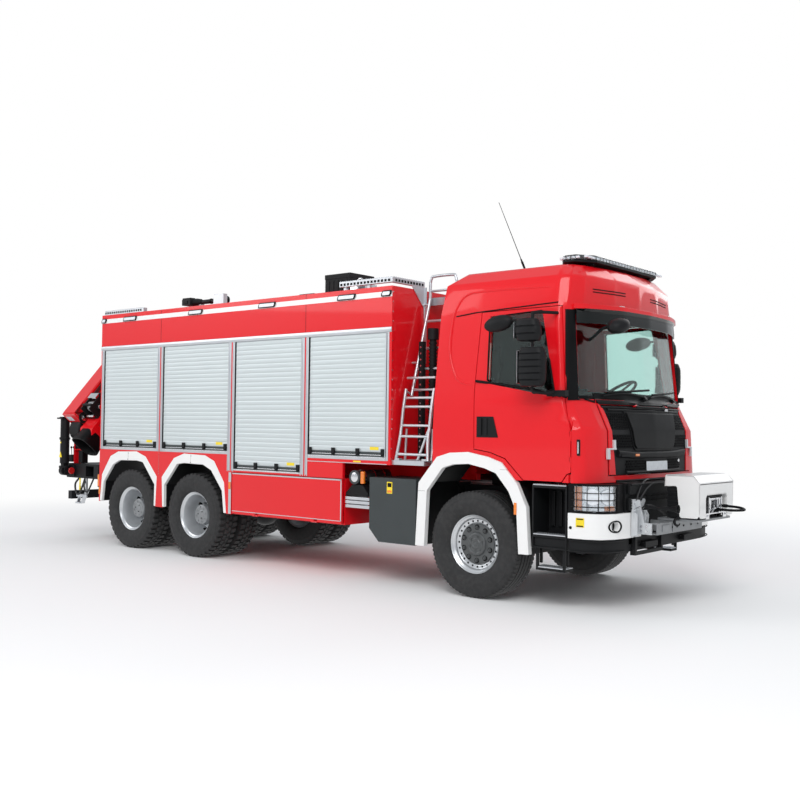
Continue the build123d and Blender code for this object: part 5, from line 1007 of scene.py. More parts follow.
def corners_and_cowl(shell):
    """Red corner panels on the hatch, black cowl wedges and pillars above them on the cab."""
    red, black = Kit(), Kit()
    for hand in (-1, 1):
        def corner(turn, z, out):
            return shell.round(turn, z, out, hand)

        rows = []
        for z in span(1.2725, 1.946, 26):
            a = between(z, MASK)
            rows.append([(hand * y, z) for y in span(min(a, 0.886), 0.889, 5)])
        plate_on(red, shell.nose, rows, 0.010, 0.001)
        a, b = shell.turn_at(0.885, 1.99), 54.4
        rows = []
        for s in span(0, 1, 4):
            line = []
            for t in span(a, b, 18):
                low = 1.950 + 0.032 * min(1, (t - a) / 5) - 0.012 * (t - a) / (b - a)
                line.append((t, low + (2.018 - low) * s))
            rows.append(line)
        plate_on(black, corner, rows, 0.009, 0.001)
        rows = []
        for z in span(2.0, 2.835, 18):
            s = (z - 2.0) / 0.835
            a = shell.turn_at(1.070 - 0.050 * s, z)
            rows.append([(t, z) for t in span(a, 55.3, 8)])
        plate_on(black, corner, rows, 0.010, 0.001)
    for half, low, high in ((0.89, 1.9485, 2.046), (0.770, 1.216, 1.2665)):
        rows = block(-half, half, 30, low, high, 4)
        plate_on(black, shell.nose, rows, 0.011, 0.001)
    for z, out, r in ((1.9500, 0.006, 0.013), (1.209, -0.004, 0.015)):
        half = 0.885 if z > 1.5 else 0.770
        black.tube([shell.nose(y, z, out) for y in span(-half, half, 40)], r, 8)
    red.make("hatch_corners", "front_hatch", "red", angle=40)
    black.make("cowl_and_pillars", "chassis", "satin", angle=40)


def hatch_panel(shell):
    """The plain raised panel in the middle of the hatch."""
    kit = Kit()

    def shield(grow, z0=1.515, z1=1.862):
        rows = []
        for i, z in enumerate(span(z0 - grow, z1 + grow, 12)):
            s = (z - z0) / (z1 - z0)
            half = 0.430 + 0.095 * s + grow
            near = z - (z0 - grow)
            if near < 0.05:
                half -= (0.05 - near) ** 2 * 14
            rows.append([(y, z) for y in span(-half, half, 20)])
        return rows

    plate_on(kit, shell.nose, shield(0.020), 0.012, 0.002)
    plate_on(kit, shell.nose, shield(0.0), 0.026, 0.002)
    kit.make("hatch_panel", "front_hatch", "satin", bevel=0.006, seg=3, angle=48)


def hatch_ledges(shell):
    """The ribbed band above the panel, the rounded ledge below it and the bottom lip."""
    kit = Kit()
    for z, y, r in ((1.888, 0.78, 0.012), (1.912, 0.86, 0.010), (1.930, 0.88, 0.008)):
        line = [shell.nose(q, z, 0.006) for q in span(-y, y, 26)]
        kit.tube(line, r, 8)
    for z, y, r in ((1.462, 0.735, 0.026), (1.440, 0.735, 0.022), (1.286, 0.60, 0.018)):
        line = []
        for q in span(-y, y, 30):
            lift = 0.020 * max(0, (abs(q) - 0.45) / 0.3) if z > 1.4 else 0.0
            line.append(shell.nose(q, z + lift, 0.004))
        kit.tube(line, r, 10)
    rows = block(-0.70, 0.70, 24, 1.44, 1.463, 2)
    plate_on(kit, shell.nose, rows, 0.030, 0.002)
    kit.make("hatch_ledges", "front_hatch", "black", angle=50)


def hatch_mesh(shell):
    """Wire-like meshes: small raised six-sided rings in blocks."""
    kit = Kit()

    def mesh_block(place, y0, y1, z0, z1, size=0.0165):
        step_y, step_z = size * 1.75, size * 1.55
        row = 0
        z = z0 + size
        while z < z1 - size * 0.6:
            y = y0 + size + (step_y / 2 if row % 2 else 0)
            while y < y1 - size * 0.6:
                if place(y, z):
                    ringed = []
                    for r, o in ((1.0, 0.001), (0.92, 0.009), (0.70, 0.009), (0.62, 0.001)):
                        ringed.append([
                            shell.nose(y + size * r * math.sin(t) * 1.05, z + size * r * math.cos(t) * 0.86,
                                       o)
                            for t in (math.pi * k / 3 for k in range(6))
                        ])
                    if all(p for line in ringed for p in line):
                        kit.grid(ringed, round_u=True)
                y += step_y
            z += step_z
            row += 1

    def upper(y, z):
        half = 0.43 + 0.095 * (z - 1.515) / 0.347 + 0.035
        return half < abs(y) < min(between(z, MASK), 0.895) - 0.02

    for hand in (-1, 1):
        inner, outer = sorted((hand * 0.44, hand * 0.90))
        mesh_block(upper, inner, outer, 1.520, 1.672)
        mesh_block(upper, inner, outer, 1.700, 1.862)
    mesh_block(lambda y, z: abs(y - 0.03) > 0.26 and abs(y) < 0.60, -0.60, 0.60, 1.300, 1.420)
    kit.make("hatch_mesh", "front_hatch", "satin", angle=30)


def plate_and_latch(shell):
    """The blank number plate in its holder, the marker lamp and the latch."""
    for name, mat, bevel, rows, out in (
        ("number_plate_blank", "led", 0.002, block(-0.200, 0.262, 8, 1.2905, 1.3875, 2), 0.018),
        ("number_plate_holder", "black", 0.003, block(-0.212, 0.274, 8, 1.2785, 1.3995, 2), 0.013),
    ):
        kit = Kit()
        plate_on(kit, shell.nose, rows, out, 0.001)
        kit.make(name, "front_hatch", mat, bevel=bevel)
    kit = Kit()
    spot = shell.nose(-0.405, 1.452, 0.028)
    kit.box(spot.x - 0.008, spot.x + 0.006, -0.452, -0.372, 1.444, 1.466)
    kit.make("hatch_marker", "front_hatch", "amber", bevel=0.003)
    kit = Kit()
    spot = shell.nose(0.36, 1.902, 0.010)
    kit.box(spot.x - 0.004, spot.x + 0.014, 0.325, 0.395, 1.892, 1.914)
    spot = shell.nose(0.565, 1.36, 0.004)
    kit.rod((spot.x, 0.565, 1.385), (spot.x + 0.010, 0.565, 1.385), 0.018, 16)
    kit.make("hatch_latch", "front_hatch", "bright", bevel=0.003)


def flank(shell, word, hand):
    """Marker, gasket, handle, drip groove drawn as a dark line of painted shade, soft crease and bracket of
    one side of the cab.
    """
    def on_side(x, z, out):
        return shell.side(x, z, out, hand)

    kit = Kit()
    spot = shell.side(1.19, 1.53, 0.0, hand)
    y0, y1 = sorted((spot.y, spot.y + hand * 0.012))
    kit.box(1.172, 1.208, y0, y1, 1.455, 1.605)
    kit.make("side_marker_" + word, "chassis", "black", bevel=0.005)
    kit = Kit()
    y0, y1 = sorted((spot.y + hand * 0.010, spot.y + hand * 0.015))
    kit.box(1.183, 1.197, y0, y1, 1.475, 1.585)
    kit.make("side_marker_lens_" + word, "chassis", "bright", bevel=0.002)

    kit = Kit()
    line = [shell.side(x, between(x, [(0.02, 2.168), (0.6, 2.090), (1.148, 1.981)]), 0.006, hand)
            for x in span(0.03, 1.05, 18)]
    kit.tube(line, 0.0135, 8)
    frame_line = [(0.190, 2.152), (0.166, 2.175), (0.162, 2.780), (0.190, 2.812), (0.735, 2.838),
                  (0.766, 2.815), (0.944, 2.030), (0.925, 2.004)]
    line = []
    for (xa, za), (xb, zb) in zip(frame_line, frame_line[1:]):
        seg = [shell.side(xa + (xb - xa) * s, za + (zb - za) * s, 0.003, hand) for s in span(0, 1, 8)]
        line += [p for p in seg if p]
    kit.tube(line, 0.0085, 6)
    kit.make("door_gasket_" + word, "door_" + word, "seal_and_shade", angle=60)

    kit = Kit()
    def trapeze(grow):
        out = []
        for i, s in enumerate(span(0, 1, 5)):
            z = 1.615 - grow + (0.19 + 2 * grow) * s
            out.append([(x, z) for x in span(0.062 - grow, 0.305 - 0.060 * s + grow, 8)])
        return out
    plate_on(kit, on_side, trapeze(0.008), 0.006, 0.001)
    plate_on(kit, on_side, block(0.075, 0.120, 2, 1.630, 1.795, 3), 0.020, 0.001)
    plate_on(kit, on_side, block(0.150, 0.185, 2, 1.630, 1.795, 3), 0.014, 0.001)
    kit.make("door_handle_" + word, "door_" + word, "black", bevel=0.004)

    kit = Kit()
    # The drip groove above the door is a dark tube standing proud of the skin: painted shade in the groove.
    groove = []
    for x in span(-0.26, 0.93, 24):
        groove.append(shell.side(x, between(x, [(-0.26, 2.835), (0.0, 2.862), (0.93, 2.905)]), 0.001, hand))
    kit.tube(groove, 0.0065, 6)
    kit.make("drip_groove_shade_" + word, "chassis", "seal_and_shade", angle=60)

    kit = Kit()
    crease = [
        (0.93, 3.06), (0.35, 3.075), (-0.05, 3.075), (-0.19, 3.04), (-0.265, 2.94), (-0.30, 2.80),
        (-0.32, 2.60), (-0.315, 2.45), (-0.28, 2.32), (-0.215, 2.20), (-0.12, 2.145), (0.0, 2.13),
    ]
    line = [shell.side(p.x, p.y, -0.004, hand) for p in curve_points([(x, z, 0) for x, z in crease], 5)]
    line = [p for p in line if p]
    fat = [0.004 + 0.012 * math.sin(math.pi * k / (len(line) - 1)) ** 0.5 for k in range(len(line))]
    kit.tube(line, fat, 12)
    kit.make("cab_crease_" + word, "chassis", "red", angle=70)

    kit = Kit()
    for ya, yb, za, zb, out in ((0.795, 0.828, 1.520, 1.602, 0.030), (0.795, 0.930, 1.508, 1.524, 0.034),
            (0.896, 0.938, 1.420, 1.512, 0.030)):
        rows = [[(hand * y, z) for y in span(ya, yb, 3)] for z in span(za, zb, 3)]
        plate_on(kit, shell.nose, rows, out, -0.006)
    kit.make("corner_bracket_" + word, "front_hatch", "zinc", bevel=0.003)


def wipers(shell):
    kit = Kit()
    for y0, y1 in ((-0.78, -0.10), (0.02, 0.72)):
        arm = [shell.nose(y0 + (y1 - y0) * s, 2.020 + 0.030 * math.sin(math.pi * s), 0.030)
               for s in span(0, 1, 10)]
        kit.tube(arm, 0.009, 6)
        blade = [shell.nose(y0 + 0.08 + (y1 - y0 + 0.05) * s, 2.055 + 0.045 * s, 0.016)
                 for s in span(0, 1, 12)]
        kit.tube(blade, 0.011, 6)
        root = shell.nose(y1, 2.0, 0.012)
        kit.rod(root, root + Vector((0.028, 0, 0.02)), 0.024, 14)
    kit.make("wipers", "chassis", "black", angle=50)


def painted_louvre_shades(shell):
    # The two shallow louvre recesses each side are drawn as thin dark tubes: painted shade in the recesses.
    kit = Kit()
    for hand in (-1, 1):
        for z in (3.035, 3.062):
            line = [shell.nose(hand * y, z - 0.01 * (y - 0.25), 0.001) for y in span(0.28, 0.80, 10)]
            kit.tube(line, 0.0055, 6)
    kit.make("painted_louvre_shades", "chassis", "seal_and_shade", angle=60)


def sun_visor(shell):
    """The smoked visor; it and the next two pieces take the place of one CAD node."""
    rows = block(-51.5, 51.5, 48, 2.705, 2.846, 5)

    def at(turn, z, out):
        hand = -1 if turn < 0 else 1
        far = 0.104 - 0.085 * (abs(turn) / 51.5) ** 5
        return shell.round(abs(turn), max(z, 2.76), out + far, hand) + Vector((0, 0, min(z - 2.76, 0)))

    kit = Kit()
    plate_on(kit, at, rows, 0.016, -0.004)
    kit.make("sun_visor", "chassis", "visor", bevel=0.003, angle=48, hides=["cab_roof_gear"])
    kit = Kit()
    rows = block(-52.3, 52.3, 48, 2.842, 2.892, 3)
    plate_on(kit, at, rows, 0.021, 0.075)
    for t in (-46, -23, 23, 46):
        p = at(t, 2.80, 0.0)
        q = shell.round(abs(t), 2.80, -0.01, -1 if t < 0 else 1)
        kit.rod(p, q, 0.010, 8)
    kit.make("sun_visor_rim", "chassis", "red", bevel=0.006, angle=48)
    kit = Kit()
    for t in (-28, 28):
        rows = [[(t + d, z) for d in (-1.6, 0, 1.6)] for z in span(2.875, 2.900, 1)]
        plate_on(kit, at, rows, 0.012, 0.045)
    kit.make("sun_visor_clips", "chassis", "bright", bevel=0.002)


def light_bar():
    x0, x1, half = 0.714, 1.058, 0.848
    base, lens, bright = Kit(), Kit(), Kit()

    def plan(grow):
        c = 0.105
        pts = [(x0 - grow, -half + c), (x0 + c - 0.03, -half - grow), (x1 - c * 1.4, -half - grow),
               (x1 + grow, -half + c * 1.9)]
        return pts + [(x, -y) for x, y in pts[::-1]]

    z0 = 3.3345
    base.prism(plan(-0.004), z0 + 0.002, z0 + 0.030, "z")
    lens.prism(plan(0.0), z0 + 0.030, z0 + 0.066, "z")
    base.prism(plan(-0.030), z0 + 0.066, z0 + 0.0765, "z")
    for side in (-1, 1):
        base.side_box(side, x0 + 0.07, x0 + 0.20, 0.47, 0.55, z0 - 0.034, z0 + 0.004)
        base.side_box(side, x0 + 0.03, x1 - 0.06, 0.60, 0.63, z0 - 0.014, z0 + 0.004)
    for k in range(26):
        y = -0.80 + k * 0.064
        bright.box(x1 - 0.052, x1 - 0.018, y - 0.022, y + 0.022, z0 + 0.036, z0 + 0.058)
        bright.box(x0 + 0.016, x0 + 0.046, y - 0.022, y + 0.022, z0 + 0.036, z0 + 0.058)
    for side in (-1, 1):
        for k in range(4):
            x = x0 + 0.075 + k * 0.050
            bright.side_box(side, x - 0.018, x + 0.018, half - 0.036, half - 0.010, z0 + 0.036, z0 + 0.058)
    base.make("light_bar_base", "chassis", "black", bevel=0.004)
    lens.make("light_bar_lens", "chassis", "lens", bevel=0.006, seg=3)
    bright.make("light_bar_modules", "chassis", "led", bevel=0.003)


def antenna():
    kit = Kit()
    by = -0.6
    kit.rod((ANT_X, by, 3.2995), (ANT_X, by, 3.334), 0.033, 20, 0.024)
    foot = Vector((ANT_X, by, 3.318))
    tip = Vector((ANT_X - (4.100 - 3.300) * 0.44, by, 4.100))
    aim = (tip - foot).normalized()
    kit.tube([foot, foot + aim * 0.03, foot + aim * 0.06, foot + aim * 0.16, foot + aim * 0.17, tip],
             [0.012, 0.012, 0.009, 0.0085, 0.0045, 0.0030], 8)
    for k in range(9):
        p = foot + aim * (0.03 + k * 0.012)
        kit.rod(p, p + aim * 0.006, 0.0125, 10)
    kit.make("antenna", "chassis", "black", angle=40)


def mirrors(shell):
    """Two ribbed heads on a bent arm with a kerb glass, in place of each CAD node."""
    for word, side in SIDES:
        body = "door_" + word
        kit = Kit()
        mid = 1.455

        def head(x0, x1, z0, z1, ribs, lean):
            n = 20
            rows = []
            levels = []
            step = (z1 - z0) / ribs
            for k in range(ribs):
                z = z0 + k * step
                levels += [(z, 0.0), (z + step * 0.10, 0.010), (z + step * 0.86, 0.010),
                           (z + step * 0.94, 0.0)]
            levels.append((z1, 0.0))
            for z, swell in levels:
                s = (z - z0) / (z1 - z0)
                pinch = 1 - 0.22 * abs(2 * s - 1) ** 5
                ring = []
                for k in range(n):
                    t = 2 * math.pi * k / n
                    cx = blunt(math.cos(t), 0.55)
                    cy = blunt(math.sin(t), 0.70)
                    x = (x0 + x1) / 2 + (x1 - x0) / 2 * cx * pinch + lean * (s - 0.5)
                    y = mid + (0.058 * pinch + swell) * cy
                    ring.append((x, side * y, z))
                rows.append(ring)
            kit.grid(rows, round_u=True, caps=True)

        a = cab_at(0.635, 0.425)
        b = cab_at(0.785, 0.600)
        head(a[0], b[0], a[1], b[1], 6, 0.0)
        a2 = cab_at(0.615, 0.628)
        b2 = cab_at(0.755, 0.727)
        head(a2[0], b2[0], a2[1], b2[1], 3, -0.02)
        kit.make("mirror_heads_" + word, body, "black", angle=34, hides=["mirrors_" + word])
        glass = Kit()
        for p, q in ((a, b), (a2, b2)):
            glass.side_box(side, p[0] - 0.001, p[0] + 0.004, mid - 0.050, mid + 0.050, p[1] + 0.03,
                           q[1] - 0.03)
        glass.make("mirror_glasses_" + word, body, "bright", bevel=0.004)
        kit = Kit()
        low_p = cab_at(0.795, 0.40)
        top_p = cab_at(0.768, 0.762)
        x_arm = (a[0] + b[0]) / 2
        foot = shell.side(low_p[0], low_p[1], 0.004, side)
        head_p = shell.side(top_p[0], top_p[1], 0.004, side)
        line = [foot, (x_arm + 0.05, side * 1.43, low_p[1] - 0.002), (x_arm, side * mid, low_p[1] + 0.045),
                (x_arm, side * mid, b[1] + 0.02),
                (x_arm, side * mid, b2[1] + 0.015), (x_arm + 0.01, side * 1.43, top_p[1] - 0.012), head_p]
        kit.tube(curve_points(line, 6), 0.0155, 10)
        kit.box(low_p[0] - 0.10, low_p[0] + 0.10,
                *sorted((side * (abs(foot.y) - 0.012), side * (abs(foot.y) + 0.050))), low_p[1] - 0.035,
                low_p[1] + 0.022)
        c = cab_at(0.42, 0.68)
        d = cab_at(0.59, 0.762)
        rows = []
        cx, cz = (c[0] + d[0]) / 2, (c[1] + d[1]) / 2
        for k in range(11):
            s = -1 + 2 * k / 10
            r = (1 - abs(s) ** 2.6) ** 0.5 if abs(s) < 1 else 0.05
            r = max(r, 0.08)
            rows.append([
                (cx + (d[0] - c[0]) / 2 * r * math.cos(t), side * (mid - 0.002 + 0.066 * s),
                 cz - 0.012 + (d[1] - c[1]) / 2 * 0.92 * r * math.sin(t) + 0.020 * math.cos(t) * r)
                for t in turns(24)
            ])
        kit.grid(rows, round_u=True, caps=True)
        kit.tube(curve_points([(cx + 0.05, side * mid, cz), (cx + 0.14, side * mid, cz + 0.01),
                               (x_arm, side * mid, b2[1] + 0.0)], 5), 0.013, 8)
        kit.make("mirror_arm_" + word, body, "black", bevel=0.0, angle=40)
    kit = Kit()
    spot = shell.nose(-0.86, 2.56, 0.0)
    kit.tube(curve_points([spot, (spot.x + 0.05, -0.875, 2.585), (1.26, -0.895, 2.660),
                           (1.36, -0.905, 2.676)], 5), 0.015, 8)
    rows = []
    mid = Vector((1.425, -0.905, 2.672))
    for k in range(15):
        s = -1 + 2 * k / 14
        r = max(1 - abs(s) ** 2.4, 0.02) ** 0.5
        rows.append([
            mid + Vector((0.100 * r * math.cos(t), 0.128 * r * math.sin(t),
                          0.072 * s + 0.022 * r * math.sin(t)))
            for t in turns(26)
        ])
    kit.grid(rows, round_u=True, caps=True)
    kit.make("front_mirror", "chassis", "black", angle=50)


# Front end
def nose_path():
    """The bumper's nose line as a smooth run of places from near the middle out to the side."""
    pts = [(x, y, 0) for x, y in NOSE[-2::-1]]
    return [(p.x, p.y) for p in curve_points(pts, 8)]


def along_nose(s, z, out=0.0, hand=-1):
    """A place on the nose line by share s of the way from 0.86 m off the middle to its outer end."""
    path = [p for p in PATH if p[1] >= 0.86]
    lengths = [0.0]
    for (x0, y0), (x1, y1) in zip(path, path[1:]):
        lengths.append(lengths[-1] + math.hypot(x1 - x0, y1 - y0))
    want = min(max(s, 0.0), 1.0) * lengths[-1]
    for i in range(len(path) - 1):
        if want <= lengths[i + 1] + 1e-9:
            break
    t = (want - lengths[i]) / max(lengths[i + 1] - lengths[i], 1e-9)
    x = path[i][0] + (path[i + 1][0] - path[i][0]) * t
    y = path[i][1] + (path[i + 1][1] - path[i][1]) * t
    dx, dy = path[i + 1][0] - path[i][0], path[i + 1][1] - path[i][1]
    long = math.hypot(dx, dy) or 1
    nx, ny = dy / long, -dx / long
    return Vector((x + nx * out, hand * (y + ny * out), z))


PATH = nose_path()


def headlamp(word, hand):
    def at(s, z, out):
        return along_nose(s, z, out - 0.026, hand)

    def patch(kit, s0, s1, z0, z1, out, deep):
        plate_on(kit, at, block(s0, s1, 12, z0, z1, 4), out, deep)

    surround = Kit()
    patch(surround, 0.0, 1.0, 0.929, 1.196, -0.010, 0.085)
    patch(surround, 0.165, 0.240, 0.929, 1.196, 0.018, 0.02)
    patch(surround, 0.915, 1.0, 0.929, 1.196, 0.018, 0.02)
    patch(surround, 0.165, 1.0, 0.929, 0.948, 0.019, 0.02)
    patch(surround, 0.165, 1.0, 1.178, 1.196, 0.019, 0.02)
    surround.make("headlamp_frame_" + word, "chassis", "satin", bevel=0.005, angle=48, hides=["headlamps"])
    kit = Kit()
    patch(kit, 0.245, 0.79, 0.952, 1.174, -0.004, 0.004)
    kit.make("headlamp_reflector_" + word, "chassis", "bright", bevel=0.003, angle=48)
    kit = Kit()
    for s, r in ((0.40, 0.060), (0.62, 0.066)):
        c = at(s, 1.080, 0.0)
        n = (at(s, 1.08, 0.02) - c).normalized()
        kit.tube([c, c + n * 0.004, c + n * 0.010, c + n * 0.013], [r, r, r * 0.82, r * 0.3], 28)
        kit.tube([c + n * 0.001, c + n * 0.016], [r * 1.12, r * 1.12], 28)
    kit.make("headlamp_bowls_" + word, "chassis", "led", angle=40)
    kit = Kit()
    patch(kit, 0.800, 0.905, 0.955, 1.172, 0.006, 0.02)
    patch(kit, 0.250, 0.430, 0.952, 0.996, 0.006, 0.008)
    kit.make("headlamp_turn_" + word, "chassis", "amber", bevel=0.004, angle=48)
    kit = Kit()
    patch(kit, 0.240, 0.915, 0.948, 1.178, 0.014, -0.010)
    kit.make("headlamp_cover_" + word, "chassis", "lens", bevel=0.003, angle=48)
    kit = Kit()
    for z in (0.985, 1.050, 1.115):
        kit.tube([at(s, z, 0.027) for s in span(0.19, 0.95, 22)], 0.0038, 6)
    for s in (0.22, 0.38, 0.54, 0.70, 0.86):
        kit.tube([at(s, 0.936, 0.022), at(s, 0.95, 0.027), at(s, 1.18, 0.027), at(s, 1.192, 0.022)], 0.0038,
                 6)
    kit.make("headlamp_guard_" + word, "chassis", "black", angle=60)


def bumper_details():
    rims, lens, yellow, dark = Kit(), Kit(), Kit(), Kit()
    for hand in (-1, 1):
        def on_nose(s, z, out):
            return along_nose(s, z, out, hand)

        y, z = hand * 1.0375, 0.8075
        face = sorted((y, x) for x, y in PATH)
        rows = []
        for k in range(40):
            t = 2 * math.pi * k / 40
            line = []
            for r, o in ((0.047, -0.05), (0.049, -0.006), (0.055, 0.003), (0.062, 0.002), (0.063, -0.004)):
                py = abs(y) + r * 1.35 * math.cos(t)
                pz = z + r * math.sin(t) * 0.92
                line.append((between(py, face) + o, hand * py, pz))
            rows.append(line)
        rims.grid(rows, round_v=True)
        x = 1.424
        lens.rod((x - 0.02, y, z), (x, y, z), 0.047, 30)
        lens.rod((x, y, z), (x + 0.012, y, z), 0.047, 30, 0.030)
        plate_on(yellow, on_nose, block(0.74, 0.87, 4, 0.800, 0.884, 2), 0.0012, 0.001)
        plate_on(dark, on_nose, block(0.755, 0.855, 4, 0.868, 0.879, 1), 0.0022, 0.001)
        plate_on(dark, on_nose, block(0.755, 0.855, 4, 0.804, 0.815, 1), 0.0022, 0.001)
        c = along_nose(0.955, 0.790, 0.0, hand)
        dark.rod(c - Vector((0, hand * 0.004, 0)), c + Vector((0, hand * 0.003, 0)), 0.0145, 18)
    rims.make("bumper_lamp_rims", "chassis", "satin", angle=40)
    lens.make("bumper_lamp_lenses", "chassis", "bright", angle=40)
    yellow.make("bumper_patches", "chassis", "yellow")
    dark.make("bumper_marks", "chassis", "seal_and_shade")


def hex_bolt(kit, x, y, z, axis, r=0.011, tall=0.009):
    aim = Vector(axis)
    p = Vector((x, y, z))
    kit.rod(p, p + aim * 0.002, r * 1.35, 18)
    kit.rod(p + aim * 0.002, p + aim * tall, r, 6)
    kit.rod(p + aim * tall, p + aim * (tall + 0.004), r * 0.55, 10)


def bracket_plates():
    """The bracket's plates and bolts; with the pieces down to the loop they replace the CAD front gear."""
    plate, bolts = Kit(), Kit()
    plate.box(1.512, 1.532, -0.800, -0.690, 0.700, 1.050)
    plate.prism([(1.512, 0.725), (1.690, 0.725), (1.690, 0.832), (1.612, 0.835), (1.562, 1.045),
                 (1.512, 1.045)], -0.739, -0.718, "y")
    plate.prism([(1.532, 0.712), (1.575, 0.712), (1.575, 0.915), (1.532, 0.935)], -0.800, -0.788, "y")
    for y in (-0.655, -0.615):
        plate.prism([(1.535, 0.748), (1.590, 0.748), (1.600, 0.90), (1.575, 0.945), (1.535, 0.945)],
                    y - 0.014, y + 0.014, "y")
    plate.box(1.512, 1.545, -0.680, -0.590, 0.735, 0.960)
    plate.prism([(-0.70, 0.96), (-0.59, 0.96), (-0.545, 1.035), (-0.575, 1.052), (-0.70, 0.99)], 1.516, 1.534,
                "x")
    plate.rod((1.534, -0.655, 1.000), (1.548, -0.655, 1.000), 0.030, 24)
    plate.make("bracket_plates", "chassis", "zinc", bevel=0.004, hides=["front_gear"])
    for z in (0.735, 0.775, 0.815, 0.855):
        hex_bolt(bolts, 1.532, -0.775, z, (1, 0, 0), 0.0105)
    for y, z in ((-0.775, 1.015), (-0.715, 1.015), (-0.775, 0.945)):
        hex_bolt(bolts, 1.532, y, z, (1, 0, 0), 0.012)
    for x in (1.585, 1.640):
        for z in (0.755, 0.800):
            hex_bolt(bolts, x, -0.739, z, (0, -1, 0), 0.010)
    bolts.rod((1.548, -0.775, 0.965), (1.600, -0.790, 0.985), 0.010, 10)
    bolts.make("bracket_bolts", "chassis", "bright", angle=40)


def bracket_channel():
    chan = Kit()
    profile = [
        (1.662, 0.726), (1.739, 0.726), (1.739, 0.834), (1.662, 0.834), (1.662, 0.822), (1.724, 0.822),
        (1.724, 0.738),
        (1.662, 0.738),
    ]
    chan.prism(profile, -0.714, 0.285, "y")
    for y in (-0.3575, 0.3575):
        chan.box(1.497, 1.664, y - 0.012, y + 0.012, 0.727, 0.833)
    chan.box(1.568, 1.980, -0.362, 0.405, 0.836, 0.858)
    chan.box(1.739, 1.747, -0.62, -0.46, 0.750, 0.812)
    chan.box(1.739, 1.746, -0.40, -0.36, 0.735, 0.826)
    chan.make("bracket_channel", "chassis", "hub_light", bevel=0.003)
    dots = Kit()
    # Dark discs on the channel's web stand in for its holes: painted shade.
    for y in (-0.585, -0.50, -0.40, -0.30, -0.15, 0.02, 0.18):
        dots.rod((1.7392, y, 0.780), (1.7440, y, 0.780), 0.0155 if y < -0.45 else 0.010, 16)
    dots.make("channel_hole_shades", "chassis", "seal_and_shade", angle=40)


def winch_body():
    dark = Kit()
    y0, y1 = -0.370, 0.414
    dark.box(1.668, 1.792, y0 + 0.008, y0 + 0.150, 0.866, 1.158)
    dark.box(1.700, 1.780, y0 + 0.150, y1 - 0.020, 0.90, 1.10)
    for k in range(4):
        hex_bolt(dark, 1.700 + 0.058 * (k % 2), y0 + 0.008, 0.92 + 0.17 * (k // 2), (0, -1, 0), 0.009)
    for k in range(5):
        z = 0.935 + k * 0.040
        dark.box(1.683, 1.777, y0 - 0.001, y0 + 0.010, z, z + 0.013)
    dark.rod((1.850, -0.285, 0.985), (1.850, -0.205, 0.985), 0.096, 30)
    dark.rod((1.850, 0.250, 0.985), (1.850, 0.330, 0.985), 0.096, 30)
    dark.box(1.760, 1.93, 0.262, 0.300, 0.860, 1.110)
    dark.box(1.760, 1.93, -0.255, -0.222, 0.860, 1.110)
    dark.box(1.905, 1.962, -0.205, 0.249, 1.052, 1.072)
    dark.make("winch_body", "chassis", "black", bevel=0.006)
    drum = Kit()
    for k in range(26):
        y = -0.200 + k * 0.0176
        pts = []
        for i in range(25):
            t = 2 * math.pi * i / 24
            pts.append((1.850 + 0.070 * math.cos(t), y + 0.0176 * i / 24, 0.985 + 0.070 * math.sin(t)))
        drum.tube(pts, 0.0086, 6)
    drum.rod((1.850, -0.21, 0.985), (1.850, 0.26, 0.985), 0.064, 24)
    drum.make("winch_rope_drum", "chassis", "steel", angle=60)


def rope_fairlead():
    lead = Kit()
    for y in (-0.075, 0.120):
        lead.rod((1.966, y, 0.930), (1.966, y, 1.052), 0.017, 20)
    for z in (0.944, 1.040):
        lead.rod((1.972, -0.110, z), (1.972, 0.155, z), 0.013, 18)
    for y in (-0.130, 0.168):
        lead.box(1.940, 1.990, y - 0.008, y + 0.008, 0.912, 1.062)
    lead.box(1.925, 1.996, -0.225, 0.262, 0.902, 0.914)
    lead.box(1.984, 1.998, -0.225, -0.150, 0.860, 0.914)
    lead.box(1.984, 1.998, 0.180, 0.262, 0.860, 0.914)
    for y in (-0.190, 0.225):
        hex_bolt(lead, 1.998, y, 0.888, (1, 0, 0), 0.010)
    lead.box(1.999, 2.010, 0.055, 0.075, 0.905, 1.050)
    lead.make("rope_fairlead", "chassis", "bright", bevel=0.002, angle=40)


def winch_rope():
    """The rope's end with its thimble and hook, resting back on the bracket."""
    cord("winch_rope", "chassis", [
        (1.915, 0.02, 0.985), (1.962, 0.01, 0.984), (1.990, -0.02, 0.965), (1.990, -0.08, 0.915),
        (1.965, -0.16, 0.882),
        (1.915, -0.24, 0.869), (1.855, -0.31, 0.868), (1.800, -0.352, 0.868),
    ], 0.0075, 5, 8, "steel")
    hook = Kit()
    c = Vector((1.785, -0.372, 0.868))
    hook.tube(curve_points([c + Vector((0.015, 0.020, 0.010)), c, c + Vector((-0.012, -0.030, -0.012)),
                            c + Vector((-0.010, -0.062, -0.030)),
                            c + Vector((0.002, -0.066, -0.058)), c + Vector((0.022, -0.045, -0.066)),
                            c + Vector((0.026, -0.022, -0.050))], 6),
              [0.012] * 12 + [0.013] * 12 + [0.012 - 0.0006 * k for k in range(13)], 12)
    hook.rod(c + Vector((0.020, 0.028, 0.013)), c + Vector((-0.006, -0.012, -0.004)), 0.016, 16)
    hook.make("winch_hook", "chassis", "dark", angle=60)


